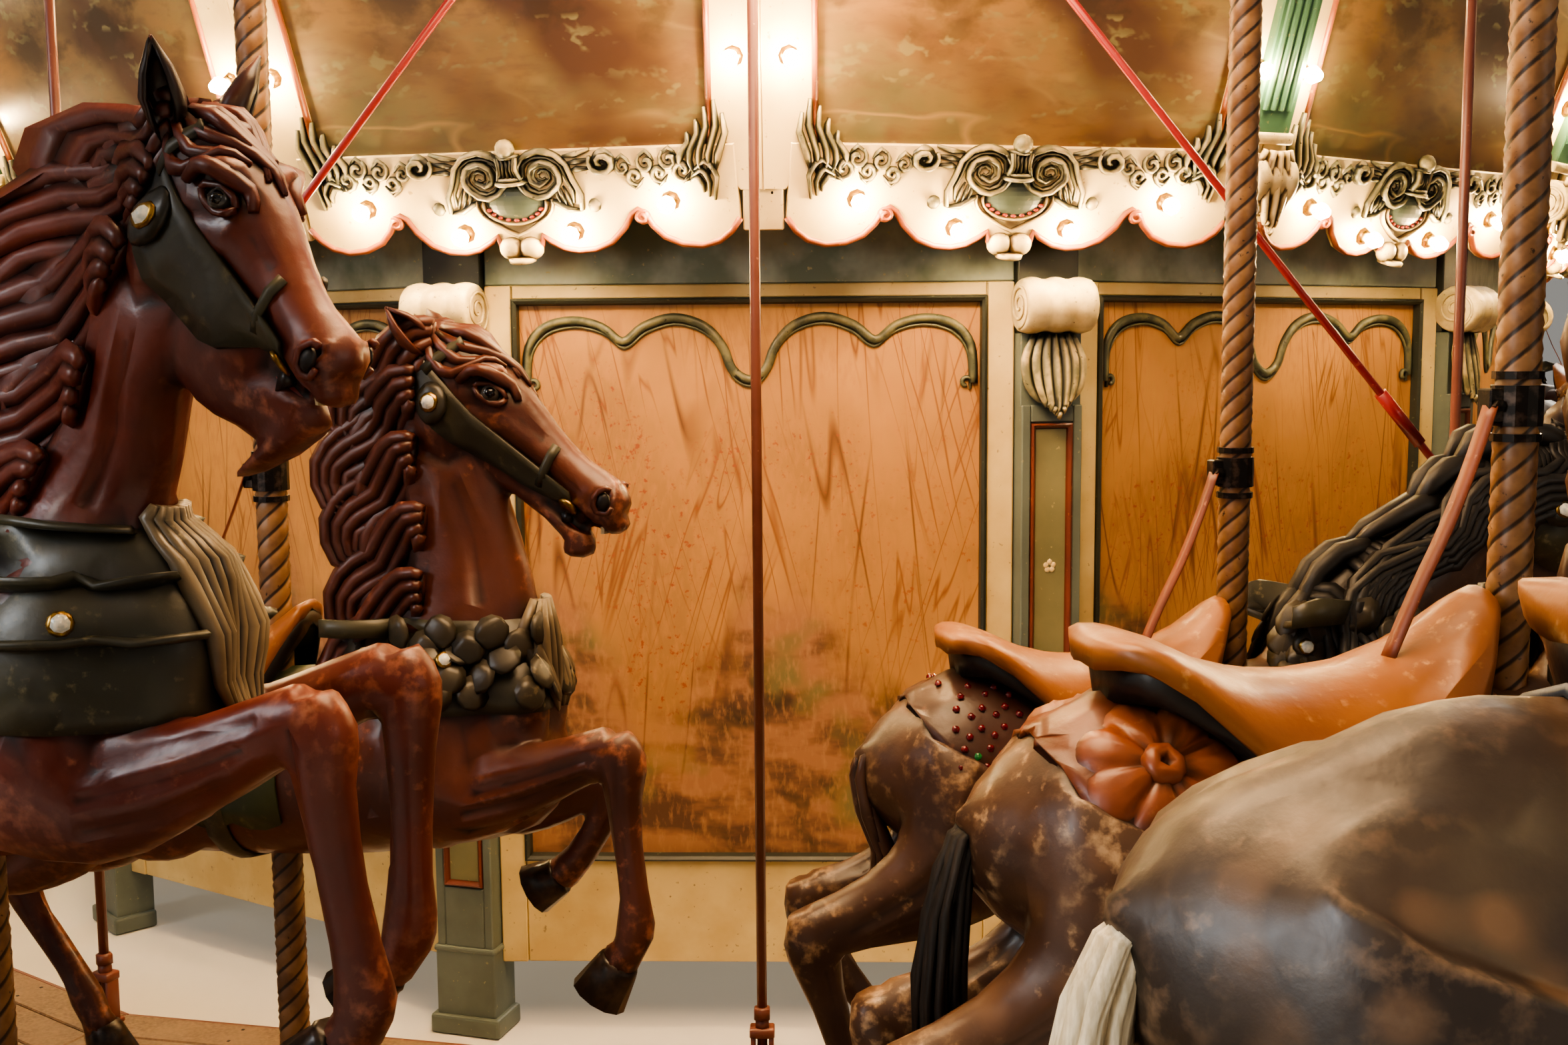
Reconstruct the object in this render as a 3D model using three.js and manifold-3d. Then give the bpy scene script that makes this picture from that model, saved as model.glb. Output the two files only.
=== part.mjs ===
// Fairground carousel: a standing twelve-sided centre housing with its mast, and round it a turning
// frame of sixteen sweeps that carries the cornice, the rounding boards, the platform and the horses.
// Millimetres, +Z up. The axis of rotation is Z, the ground is z = 0 and the front is -Y.
import * as THREE from "three";
import { mergeVertices } from "three/addons/utils/BufferGeometryUtils.js";
import Module from "manifold-3d";

const wasm = await Module();
wasm.setup();

// Driving sizes.
const HOUSING_SIDES = 12;
const HOUSING_FACET = 1600;
const BAYS = 16;
const ROW_RADII = [4430, 5200, 5970];
const ROW_SCALES = [0.92, 0.96, 1.08];
// Height of the horses above the deck and their place along the ring, on even and on odd ranks.
const ROW_LIFTS = [[110, 115], [200, 325], [275, 275]];
const ROW_SHIFTS = [[0, 90], [-20, -80], [-50, -130]];
const PLATFORM_TOP = 350;
const SWEEP_UNDERSIDE = 3400;
const SEAM = 0.3;

// Centre housing.
const HOUSING_CIRCUMRADIUS = HOUSING_FACET / 2 / Math.sin(Math.PI / HOUSING_SIDES);
const POST_OUTER = HOUSING_CIRCUMRADIUS + 10;
const POST_INNER = HOUSING_CIRCUMRADIUS - 110;
const POST_WIDTH = 170;
const POST_PLINTH_OUT = 22;
const PANEL_BOTTOM = 200;
const HOUSING_TOP = 2400;
const PANEL_OUTER = 2960;
const PANEL_THICK = 40;
const HEAD_RING_HEIGHT = 100;
const HEAD_RING_OUTER = 3060;
const HEAD_RING_INNER = 2880;
const SPOKE_WIDTH = 100;

// Mast.
const MAST_FLAT = 150;
const MAST_TOP = 3900;
const MAST_FOOT_FLAT = 480;
const MAST_FOOT_HEIGHT = 90;
const COLLAR_FLAT = 300;
const COLLAR_HEIGHT = 60;
const HUB_CLEARANCE = 5;

// Sweep frame.
const HUB_FLAT = 450;
const HUB_BORE = 169;
const HUB_TOP = 3700;
const SWEEP_WIDTH = 90;
const SWEEP_DEPTH = 180;
const INNER_RING = { inner: 3880, outer: 3960, depth: 140 };
const OUTER_RING = { inner: 6370, outer: 6450, depth: 180 };
const SWEEP_END = 6560;
const DROP_ROD_RADIUS = 11;
const INNER_DROP_ROD_AT = 3990;
const OUTER_DROP_ROD_AT = 6435;
const ROD_FOOT = 54;
const ROD_FOOT_HEIGHT = 160;
const BRACE_RADIUS = 10;
const BRACE_FOOT_HEIGHT = 60;
const BRACE_TOP_AT = 3800;
const BRACE_FOOT_AT = 4050;
const BRACE_SPAN = 1.9;

// Cornice, rounding boards and platform, as apothem and height.
const CORNICE_PROFILE = [
  [3168, 2140],
  [3200, 2262],
  [3610, SWEEP_UNDERSIDE],
  [3565, SWEEP_UNDERSIDE],
  [3160, 2272],
  [3138, 2140],
];
const BOARD_INNER = OUTER_RING.outer + SEAM;
const BOARD_PROFILE = [
  [BOARD_INNER, 2960],
  [BOARD_INNER + 30, 2960],
  [BOARD_INNER + 110, 3760],
  [BOARD_INNER, 3760],
];
const PLATFORM_INNER = 3860;
const PLATFORM_OUTER = 6480;
const PLATFORM_THICK = 100;

// Ranks.
const POLE_RADIUS = 28.5;
const POLE_SIDES = 6;
const LEG_SIDES = 3;
const SHORTEST_EDGE = 40;
const HANGER = { inner: 3890, outer: 6410, width: 80, height: 90 };

const FRONT = -Math.PI / 2;
// The turning frame rests a little past the middle of the housing's front side.
const HOUSING_TURN = THREE.MathUtils.degToRad(0.96);
const HOUSING_FRONT = FRONT - HOUSING_TURN;
const BAY_ANGLE = (2 * Math.PI) / BAYS;

// Turns an indexed triangle list into a closed solid.
function solidFrom(positions, triangles) {
  return new wasm.Manifold(
    new wasm.Mesh({
      numProp: 3,
      vertProperties: new Float32Array(positions),
      triVerts: new Uint32Array(triangles),
    }),
  );
}

function solidOf(geometry) {
  const bare = geometry.clone();
  bare.deleteAttribute("normal");
  bare.deleteAttribute("uv");
  const merged = mergeVertices(bare, 1e-3);
  return solidFrom(merged.attributes.position.array, merged.index.array);
}

function join(solids) {
  return solids.reduce((sum, next) => sum.add(next));
}

function placed(solid, matrix) {
  return solid.transform(matrix.elements);
}

function turned(solid, angle) {
  return placed(solid, new THREE.Matrix4().makeRotationZ(angle));
}

// A closed body through cross-sections that have the same number of corners each.
// The corners run counter-clockwise seen from the far end, looking back along the body.
function loft(sections, outline) {
  const corners = sections[0].length;
  const positions = sections.flat().flatMap((p) => [p.x, p.y, p.z]);
  const caps = THREE.ShapeUtils.triangulateShape(outline, []);
  const last = (sections.length - 1) * corners;
  const triangles = [];
  for (let s = 0; s + 1 < sections.length; s += 1) {
    for (let c = 0; c < corners; c += 1) {
      const a = s * corners + c;
      const b = s * corners + ((c + 1) % corners);
      triangles.push(a, b, b + corners, a, b + corners, a + corners);
    }
  }
  for (const [a, b, c] of caps) {
    triangles.push(a, c, b);
    triangles.push(last + a, last + b, last + c);
  }
  return solidFrom(positions, triangles);
}

// A body with a regular cross-section along a path in the plane of the horse's length and height.
// A path point is [x, y, z, half size across the path in that plane, half width].
function limb(path, sides) {
  const corners = Array.from({ length: sides }, (_, i) => ((i + 0.5) * 2 * Math.PI) / sides);
  const swell = (1 + 1 / Math.cos(Math.PI / sides)) / 2;
  const outline = corners.map((t) => new THREE.Vector2(Math.cos(t), Math.sin(t)).multiplyScalar(swell));
  const sections = path.map(([x, y, z, tall, wide], i) => {
    const before = path[Math.max(i - 1, 0)];
    const after = path[Math.min(i + 1, path.length - 1)];
    const along = new THREE.Vector2(after[0] - before[0], after[2] - before[2]).normalize();
    return outline.map(
      (c) =>
        new THREE.Vector3(x - along.y * tall * c.y, y + wide * c.x, z + along.x * tall * c.y),
    );
  });
  return loft(sections, outline);
}

// A piece of a many-sided ring with the given profile, between two joints of its sides.
// A profile point is [apothem, height], counter-clockwise with the apothem to the right.
function ringPiece(profile, sides, first, count) {
  const step = (2 * Math.PI) / sides;
  const seamAngle = SEAM / 2 / profile[0][0];
  const outline = profile.map(([r, z]) => new THREE.Vector2(r, z));
  const sections = [];
  for (let k = 0; k <= count; k += 1) {
    let angle = FRONT + (first + k) * step;
    if (k === 0) angle += seamAngle;
    if (k === count) angle -= seamAngle;
    const reach = 1 / Math.cos(step / 2);
    sections.push(
      profile.map(
        ([r, z]) => new THREE.Vector3(r * reach * Math.cos(angle), r * reach * Math.sin(angle), z),
      ),
    );
  }
  return loft(sections.reverse(), outline);
}

// A flat-sided prism from a polygon with the given distance from the axis to its flats.
function polygonShape(flat, sides, turn) {
  const corner = flat / Math.cos(Math.PI / sides);
  const points = Array.from({ length: sides }, (_, i) => {
    const angle = turn + ((i + 0.5) * 2 * Math.PI) / sides;
    return new THREE.Vector2(corner * Math.cos(angle), corner * Math.sin(angle));
  });
  return new THREE.Shape(points);
}

function prism(shape, bottom, top) {
  const geometry = new THREE.ExtrudeGeometry(shape, { depth: top - bottom, bevelEnabled: false });
  return solidOf(geometry.translate(0, 0, bottom));
}

// A box that lies along a radius, between two distances from the axis.
function radialBox(inner, outer, width, bottom, top, angle) {
  const geometry = new THREE.BoxGeometry(outer - inner, width, top - bottom);
  geometry.translate((inner + outer) / 2, 0, (bottom + top) / 2);
  return turned(solidOf(geometry), angle);
}

// A round bar between two points.
function bar(from, to, radius, sides) {
  const length = from.distanceTo(to);
  const geometry = new THREE.CylinderGeometry(radius, radius, length, sides);
  const up = new THREE.Vector3(0, 1, 0);
  const way = to.clone().sub(from).normalize();
  geometry.applyQuaternion(new THREE.Quaternion().setFromUnitVectors(up, way));
  const middle = from.clone().add(to).multiplyScalar(0.5);
  geometry.translate(middle.x, middle.y, middle.z);
  return solidOf(geometry);
}

function polar(radius, angle, z) {
  return new THREE.Vector3(radius * Math.cos(angle), radius * Math.sin(angle), z);
}

// Mast with its foot, and the collar that the turning hub sits on.
function centreMast() {
  const collarTop = SWEEP_UNDERSIDE - HUB_CLEARANCE;
  return join([
    prism(polygonShape(MAST_FLAT, 8, -HOUSING_TURN), 0, MAST_TOP),
    prism(polygonShape(MAST_FOOT_FLAT, 8, -HOUSING_TURN), 0, MAST_FOOT_HEIGHT),
    prism(polygonShape(COLLAR_FLAT, 8, -HOUSING_TURN), collarTop - COLLAR_HEIGHT, collarTop),
  ]);
}

// Ring on top of the housing, with four spokes in to the mast.
function housingHeadRing() {
  const top = HOUSING_TOP + HEAD_RING_HEIGHT;
  const shape = polygonShape(HEAD_RING_OUTER, HOUSING_SIDES, HOUSING_FRONT);
  const hole = polygonShape(HEAD_RING_INNER, HOUSING_SIDES, HOUSING_FRONT);
  shape.holes.push(new THREE.Path(hole.getPoints()));
  const spokes = [0, 1, 2, 3].map((q) =>
    radialBox(
      MAST_FLAT + SEAM, HEAD_RING_INNER + 20, SPOKE_WIDTH, HOUSING_TOP, top,
      HOUSING_FRONT + (q * Math.PI) / 2,
    ),
  );
  return join([prism(shape, HOUSING_TOP, top), ...spokes]);
}

// One panel of the housing with the post at its right end.
function housingBay(index) {
  const step = (2 * Math.PI) / HOUSING_SIDES;
  const half = step / 2;
  const side = (apothem) => {
    const along = (apothem - (POST_WIDTH / 2) * Math.sin(half)) / Math.cos(half);
    return along * Math.sin(half) - (POST_WIDTH / 2) * Math.cos(half);
  };
  const back = PANEL_OUTER - PANEL_THICK;
  const fused = POST_WIDTH / 4;
  const outline = new THREE.Shape([
    new THREE.Vector2(PANEL_OUTER, -side(PANEL_OUTER) + SEAM),
    new THREE.Vector2(PANEL_OUTER, side(PANEL_OUTER) + fused),
    new THREE.Vector2(back, side(back) + fused),
    new THREE.Vector2(back, -side(back) + SEAM),
  ]);
  const middle = HOUSING_FRONT + index * step;
  const post = radialBox(POST_INNER, POST_OUTER, POST_WIDTH, 0, HOUSING_TOP, middle + half);
  const plinth = radialBox(
    POST_INNER + 20,
    POST_OUTER + POST_PLINTH_OUT,
    POST_WIDTH + 2 * POST_PLINTH_OUT,
    0,
    PANEL_BOTTOM - 2,
    middle + half,
  );
  return join([turned(prism(outline, PANEL_BOTTOM, HOUSING_TOP), middle), post, plinth]);
}

function hub() {
  const shape = polygonShape(HUB_FLAT, BAYS, FRONT);
  const bore = new THREE.Path();
  bore.absarc(0, 0, HUB_BORE, 0, 2 * Math.PI, true);
  shape.holes.push(new THREE.Path(bore.getPoints(8).slice(0, -1)));
  return prism(shape, SWEEP_UNDERSIDE, HUB_TOP);
}

// The block that holds the foot of a rod on the platform.
function rodFoot(at, angle, height) {
  const half = ROD_FOOT / 2;
  return radialBox(at - half, at + half, ROD_FOOT, PLATFORM_TOP, PLATFORM_TOP + height, angle);
}

// A thin rod from the frame down to its block on the platform.
function dropRod(at, angle) {
  const low = polar(at, angle, PLATFORM_TOP + 10);
  const high = polar(at, angle, SWEEP_UNDERSIDE + 20);
  return bar(low, high, DROP_ROD_RADIUS, 4).add(rodFoot(at, angle, ROD_FOOT_HEIGHT));
}

// One quarter of the turning frame: four sweeps, the two ring beams, the drop rods and a brace pair.
function sweepFrame(quarter) {
  const first = quarter * 4 - 2;
  const joint = (k) => FRONT + k * BAY_ANGLE;
  const rings = [INNER_RING, OUTER_RING].map((ring) => {
    const profile = [
      [ring.inner, SWEEP_UNDERSIDE],
      [ring.outer, SWEEP_UNDERSIDE],
      [ring.outer, SWEEP_UNDERSIDE + ring.depth],
      [ring.inner, SWEEP_UNDERSIDE + ring.depth],
    ];
    return ringPiece(profile, BAYS, first, 4);
  });
  const pieces = [...rings];
  for (let k = first; k < first + 4; k += 1) {
    const top = SWEEP_UNDERSIDE + SWEEP_DEPTH;
    const start = HUB_FLAT + SEAM;
    const sweep = radialBox(start, SWEEP_END, SWEEP_WIDTH, SWEEP_UNDERSIDE, top, joint(k));
    pieces.push(sweep);
    const inset = k === first ? (ROD_FOOT / 2 + SEAM) / INNER_DROP_ROD_AT : 0;
    pieces.push(dropRod(INNER_DROP_ROD_AT, joint(k) + inset));
    pieces.push(dropRod(OUTER_DROP_ROD_AT, joint(k + 0.5)));
  }
  const apex = polar(BRACE_TOP_AT, joint(first + 2), SWEEP_UNDERSIDE + 20);
  for (const way of [-1, 1]) {
    const angle = joint(first + 2 + way * BRACE_SPAN);
    const foot = polar(BRACE_FOOT_AT, angle, PLATFORM_TOP + BRACE_FOOT_HEIGHT / 2);
    pieces.push(bar(foot, apex, BRACE_RADIUS, 4));
    pieces.push(rodFoot(BRACE_FOOT_AT, angle, BRACE_FOOT_HEIGHT));
  }
  const whole = join(pieces);
  const neighbour = radialBox(
    HUB_FLAT, SWEEP_END + 60, SWEEP_WIDTH + 2 * SEAM,
    SWEEP_UNDERSIDE - 1, SWEEP_UNDERSIDE + SWEEP_DEPTH + 1, joint(first + 4),
  );
  return whole.subtract(neighbour);
}

function platformProfile() {
  return [
    [PLATFORM_INNER, PLATFORM_TOP - PLATFORM_THICK],
    [PLATFORM_OUTER, PLATFORM_TOP - PLATFORM_THICK],
    [PLATFORM_OUTER, PLATFORM_TOP],
    [PLATFORM_INNER, PLATFORM_TOP],
  ];
}

// Neck and head of the horses: held up, leaning forwards, and stretched out low.
const HORSE_POSES = [
  {
    neck: [[250, 0, 820, 175, 85], [265, 0, 1530, 75, 50]],
    head: [[190, 0, 1540, 60, 50], [395, 0, 1430, 92, 60], [615, 0, 1270, 48, 40]],
  },
  {
    neck: [[250, 0, 820, 175, 85], [405, -38, 1460, 78, 50]],
    head: [[398, -35, 1505, 48, 40], [530, -63, 1390, 74, 48], [686, -96, 1241, 38, 32]],
  },
  {
    neck: [[250, 0, 820, 175, 85], [700, 0, 1300, 80, 55]],
    head: [[690, 0, 1345, 60, 50], [780, 0, 1170, 92, 60], [895, 0, 925, 48, 40]],
  },
];

// A carved horse in plain form, heading along +X, with its pole's axis at the origin.
function horse(pose) {
  const body = [
    [-735, 0, 740, 70, 70],
    [-490, 0, 740, 212, 165],
    [240, 0, 735, 195, 145],
    [420, 0, 790, 95, 75],
  ];
  const tail = [
    [-690, 0, 790, 50, 40],
    [-790, 0, 400, 38, 34],
  ];
  const legs = [
    [[300, -85, 690, 100, 52], [655, -105, 850, 44, 38], [590, -110, 375, 36, 32]],
    [[280, 85, 690, 100, 52], [590, 105, 760, 44, 38], [430, 110, 480, 38, 32]],
    [[-530, -95, 700, 135, 55], [-835, -110, 500, 52, 36], [-740, -115, 70, 40, 36]],
    [[-500, 95, 700, 135, 55], [-765, 110, 470, 52, 36], [-630, 115, 70, 40, 36]],
  ];
  const limbs = [pose.neck, pose.head, tail].map((path) => limb(path, 4));
  limbs.push(...legs.map((path) => limb(path, LEG_SIDES)));
  return join([limb(body, 6), ...limbs]).simplify(SHORTEST_EDGE);
}

// Which pose the horse of a rank and row has, by the design it is painted in.
function poseOf(index, row) {
  const front = [[2, 3, 4], [0, 1, 4]];
  let design = (index * 2 + row * 3 + Math.floor(index / 5)) % 5;
  if (index === 0) design = front[0][row];
  if (index === BAYS - 1) design = front[1][row];
  return [0, 1, 2, 0, 0][design];
}

// One rank: three horses side by side on their poles, hung from one beam.
function rank(index, horses) {
  const angle = FRONT + (index + 0.5) * BAY_ANGLE;
  const beamBottom = SWEEP_UNDERSIDE - HANGER.height;
  const beam = radialBox(
    HANGER.inner, HANGER.outer, HANGER.width, beamBottom, SWEEP_UNDERSIDE, 0,
  );
  const pieces = [beam];
  ROW_RADII.forEach((radius, row) => {
    const scale = ROW_SCALES[row];
    const lift = ROW_LIFTS[row][index % 2];
    const matrix = new THREE.Matrix4()
      .makeTranslation(radius, ROW_SHIFTS[row][index % 2], PLATFORM_TOP + lift)
      .multiply(new THREE.Matrix4().makeRotationZ(Math.PI / 2))
      .multiply(new THREE.Matrix4().makeScale(scale, scale, scale));
    pieces.push(placed(horses[poseOf(index, row)], matrix));
    const foot = new THREE.Vector3(radius, 0, PLATFORM_TOP);
    pieces.push(bar(foot, new THREE.Vector3(radius, 0, beamBottom + 20), POLE_RADIUS, POLE_SIDES));
  });
  return turned(join(pieces), angle);
}

function meshOf(solid, name, colour) {
  const data = solid.getMesh();
  const geometry = new THREE.BufferGeometry();
  geometry.setAttribute("position", new THREE.BufferAttribute(data.vertProperties, 3));
  geometry.setIndex(new THREE.BufferAttribute(data.triVerts, 1));
  const material = new THREE.MeshStandardMaterial({ color: colour, roughness: 0.7 });
  const mesh = new THREE.Mesh(geometry, material);
  mesh.name = name;
  return mesh;
}

const COLOURS = {
  timber: "#6e4a35",
  housing: "#b3a880",
  cornice: "#b98d4e",
  boards: "#c9a76a",
  platform: "#8a6f55",
  horse: "#6a3528",
};

function numbered(name, index) {
  return name + "_" + String(index + 1).padStart(2, "0");
}

function carousel() {
  const group = new THREE.Group();
  const add = (solid, name, colour) => group.add(meshOf(solid, name, colour));
  add(centreMast(), "centre_mast", COLOURS.timber);
  add(housingHeadRing(), "housing_head_ring", COLOURS.timber);
  for (let i = 0; i < HOUSING_SIDES; i += 1) {
    add(housingBay(i), numbered("housing_bay", i), COLOURS.housing);
  }
  add(hub(), "sweep_hub", COLOURS.timber);
  for (let quarter = 0; quarter < 4; quarter += 1) {
    const first = quarter * 4 - 2;
    add(sweepFrame(quarter), "sweep_frame_" + (quarter + 1), COLOURS.timber);
    const boards = ringPiece(BOARD_PROFILE, BAYS, first, 4);
    add(boards, "rounding_boards_" + (quarter + 1), COLOURS.boards);
    const deck = ringPiece(platformProfile(), BAYS, first, 4);
    add(deck, "platform_" + (quarter + 1), COLOURS.platform);
  }
  for (let halfIndex = 0; halfIndex < 2; halfIndex += 1) {
    const cornice = ringPiece(CORNICE_PROFILE, BAYS, halfIndex * 8 - 4, 8);
    add(cornice, "inner_cornice_" + (halfIndex + 1), COLOURS.cornice);
  }
  const horses = HORSE_POSES.map(horse);
  for (let i = 0; i < BAYS; i += 1) {
    add(rank(i, horses), numbered("horse_rank", i), COLOURS.horse);
  }
  return group;
}

const group = carousel();
export default group;
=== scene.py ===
import math
import random

import bmesh
import bpy
from bpy.props import FloatProperty, FloatVectorProperty, PointerProperty
from bpy.types import Operator, Panel, PropertyGroup
from mathutils import Matrix, Vector
from mathutils.bvhtree import BVHTree


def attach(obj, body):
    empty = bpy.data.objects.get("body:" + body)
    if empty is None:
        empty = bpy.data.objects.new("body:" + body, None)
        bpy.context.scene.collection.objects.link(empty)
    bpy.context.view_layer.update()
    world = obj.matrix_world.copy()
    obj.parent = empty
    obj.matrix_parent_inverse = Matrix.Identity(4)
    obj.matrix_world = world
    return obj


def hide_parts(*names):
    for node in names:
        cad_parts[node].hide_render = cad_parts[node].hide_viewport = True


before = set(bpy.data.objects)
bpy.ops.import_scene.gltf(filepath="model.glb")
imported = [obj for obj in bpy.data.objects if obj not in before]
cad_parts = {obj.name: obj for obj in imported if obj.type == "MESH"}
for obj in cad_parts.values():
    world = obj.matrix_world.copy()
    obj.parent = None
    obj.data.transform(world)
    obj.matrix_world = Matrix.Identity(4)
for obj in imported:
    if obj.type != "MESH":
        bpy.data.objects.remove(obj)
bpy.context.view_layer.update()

bl_info = {
    "name": "Fairground carousel",
    "version": (1, 0, 0),
    "blender": (4, 5, 0),
    "location": "3D View > Sidebar > Carousel",
    "description": "Builds the visible pieces of a three-row fairground carousel on its frame",
    "category": "Object",
}

# Sizes that the frame fixes, in metres.
HOUSING_SIDES = 12
BAYS = 16
ROW_RADII = (4.43, 5.20, 5.97)
ROW_SCALES = (0.92, 0.96, 1.08)
# Height of the horses above the deck and their place along the ring, on even and on odd ranks.
ROW_LIFTS = ((0.110, 0.115), (0.200, 0.325), (0.275, 0.275))
ROW_SHIFTS = ((0.0, 0.090), (-0.020, -0.080), (-0.050, -0.130))
PLATFORM_TOP = 0.35
SWEEP_UNDERSIDE = 3.4
HANGER_UNDERSIDE = 3.31
FRONT = -math.pi / 2
HOUSING_FRONT = FRONT - math.radians(0.96)
BAY_ANGLE = 2 * math.pi / BAYS
SIDE_ANGLE = 2 * math.pi / HOUSING_SIDES
HALF_BAY = math.tan(BAY_ANGLE / 2)
TURNING = "turntable"
STANDING = "centre"

# The joints of the cornice that have lost their pilasters.
BARE_JOINTS = (0, BAYS - 1)
# Roughness of every noise pattern: how strongly its finer layers count.
NOISE_ROUGHNESS = 0.55


# Small tools.


def mm(rows):
    """Rows of millimetres, however deeply nested, in metres."""
    return tuple(mm(row) for row in rows) if isinstance(rows, tuple) else rows / 1000


def linear(text):
    """The linear colour of an sRGB hex value."""
    parts = [int(text[i : i + 2], 16) / 255 for i in (1, 3, 5)]
    return tuple(p / 12.92 if p <= 0.04045 else ((p + 0.055) / 1.055) ** 2.4 for p in parts)


def rgba(colour):
    """A colour with alpha, from a hex value or from a setting."""
    return (*(linear(colour) if isinstance(colour, str) else colour), 1.0)


def add(tree, kind, attrs=None, values=None, links=None):
    """Adds a node, sets its attributes and input values, and links its inputs."""
    made = tree.nodes.new(kind)
    for key, value in (attrs or {}).items():
        setattr(made, key, value)
    for key, value in (values or {}).items():
        made.inputs[key].default_value = value
    for key, socket in (links or {}).items():
        tree.links.new(socket, made.inputs[key])
    return made


def grey_ramp(tree, factor, low, high):
    """Turns a value into 0 below low and 1 above high."""
    made = add(
        tree,
        "ShaderNodeMapRange",
        values={"From Min": low, "From Max": high, "To Min": 0.0, "To Max": 1.0},
        links={"Value": factor},
    )
    return made.outputs["Result"]


def mixed(tree, factor, first, second):
    """Mixes two colours, each a socket, a hex value or a setting, by a socket or a number."""
    made = add(tree, "ShaderNodeMix", {"data_type": "RGBA"})
    for key, value in (("Factor", factor), ("A", first), ("B", second)):
        at = {"Factor": 0, "A": 6, "B": 7}[key]
        if isinstance(value, bpy.types.NodeSocket):
            tree.links.new(value, made.inputs[at])
        else:
            made.inputs[at].default_value = value if key == "Factor" else rgba(value)
    return made.outputs[2]


def noise_at(tree, size_mm, detail, stretch=(1.0, 1.0, 1.0)):
    """Noise whose features are about size_mm across, drawn out by stretch along each axis."""
    where = add(tree, "ShaderNodeTexCoord").outputs["Object"]
    scale = 1000.0 / size_mm
    placed = add(
        tree,
        "ShaderNodeMapping",
        values={"Scale": tuple(scale / s for s in stretch)},
        links={"Vector": where},
    )
    made = add(
        tree,
        "ShaderNodeTexNoise",
        values={"Scale": 1.0, "Detail": detail, "Roughness": NOISE_ROUGHNESS},
        links={"Vector": placed.outputs["Vector"]},
    )
    return made.outputs["Fac"]


def cells_at(tree, size_mm):
    """Pattern of soft cells that are about size_mm across."""
    where = add(tree, "ShaderNodeTexCoord").outputs["Object"]
    made = add(
        tree,
        "ShaderNodeTexVoronoi",
        {"feature": "SMOOTH_F1"},
        {"Scale": 1000.0 / size_mm},
        {"Vector": where},
    )
    return made.outputs["Distance"]


def new_material(name):
    """A node material with only its surface shader, made anew if the name is already there."""
    material = bpy.data.materials.get(name) or bpy.data.materials.new(name)
    material.use_nodes = True
    tree = material.node_tree
    tree.nodes.clear()
    shader = add(tree, "ShaderNodeBsdfPrincipled")
    out = add(tree, "ShaderNodeOutputMaterial")
    tree.links.new(shader.outputs["BSDF"], out.inputs["Surface"])
    return material, tree, shader


def surface(tree, shader, colour, roughness, others=None):
    """Sets the shader's colour, a socket or a hex value, its roughness, and others by their names."""
    if isinstance(colour, bpy.types.NodeSocket):
        tree.links.new(colour, shader.inputs["Base Color"])
    else:
        shader.inputs["Base Color"].default_value = rgba(colour)
    for name, value in {"Roughness": roughness, **(others or {})}.items():
        shader.inputs[name].default_value = value


def bump(tree, shader, height, depth_mm, strength):
    """Gives the surface relief of a depth from a height pattern."""
    made = add(
        tree,
        "ShaderNodeBump",
        values={"Strength": strength, "Distance": depth_mm / 1000.0},
        links={"Height": height},
    )
    tree.links.new(made.outputs["Normal"], shader.inputs["Normal"])


def attribute(tree, name):
    """A number that is stored on the mesh."""
    return add(tree, "ShaderNodeAttribute", {"attribute_name": name}).outputs["Fac"]


def aged_paint(name, colour, shade, bare, gloss):
    """Old brushed paint on wood: two tones, with small chips down to a bare tone."""
    material, tree, shader = new_material(name)
    broad = noise_at(tree, 190, 4)
    fine = noise_at(tree, 16, 5)
    base = mixed(tree, grey_ramp(tree, broad, 0.38, 0.66), colour, shade)
    base = mixed(tree, grey_ramp(tree, fine, 0.66, 0.71), base, bare)
    surface(tree, shader, base, gloss, {"Coat Roughness": 0.18})
    bump(tree, shader, fine, 0.7, 0.35)
    return material


# Mesh tools.


def axes(first, second, third, origin):
    """Matrix whose columns are three directions and a place."""
    made = Matrix.Identity(4)
    made.col[0][:3], made.col[1][:3], made.col[2][:3] = first, second, third
    made.translation = origin
    return made


def ring_frame(centre, along, up, wide, tall):
    """Matrix that turns a unit circle into an ellipse across the direction along."""
    along = Vector(along).normalized()
    side = Vector(up).cross(along)
    if side.length < 1e-6:
        side = Vector((0, 1, 0))
    side.normalize()
    return axes(side * wide, along.cross(side).normalized() * tall, along, centre)


def loft(bm, frames, sides):
    """A closed body through the given ring frames, made by drawing the edge of a circle along them."""
    made = bmesh.ops.create_circle(bm, cap_ends=False, segments=sides, radius=1.0, matrix=frames[0])
    ring = made["verts"]
    edges = list({e for v in ring for e in v.link_edges})
    first = edges
    everything = list(ring)
    for before, after in zip(frames, frames[1:]):
        drawn = bmesh.ops.extrude_edge_only(bm, edges=edges)["geom"]
        ring = [g for g in drawn if isinstance(g, bmesh.types.BMVert)]
        edges = [g for g in drawn if isinstance(g, bmesh.types.BMEdge)]
        fresh = set(ring)
        edges = [e for e in edges if e.verts[0] in fresh and e.verts[1] in fresh]
        bmesh.ops.transform(bm, matrix=after @ before.inverted(), verts=ring)
        everything += ring
    for loop in (first, edges):
        bmesh.ops.contextual_create(bm, geom=loop)
    return everything


def bridged(bm, loops, closed=False):
    """Skins over rings of edges, one to the next, and from the last to the first if closed."""
    for first, second in zip(loops, loops[1:] + loops[:1] if closed else loops[1:]):
        bmesh.ops.bridge_loops(bm, edges=first + second)


def raised(bm, corners, way):
    """A face through the corners, drawn out along a way; gives its first and its new points."""
    verts = [bm.verts.new(corner) for corner in corners]
    drawn = bmesh.ops.extrude_face_region(bm, geom=[bm.faces.new(verts)])["geom"]
    far = [g for g in drawn if isinstance(g, bmesh.types.BMVert)]
    bmesh.ops.translate(bm, vec=way, verts=far)
    return verts, far


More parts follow.
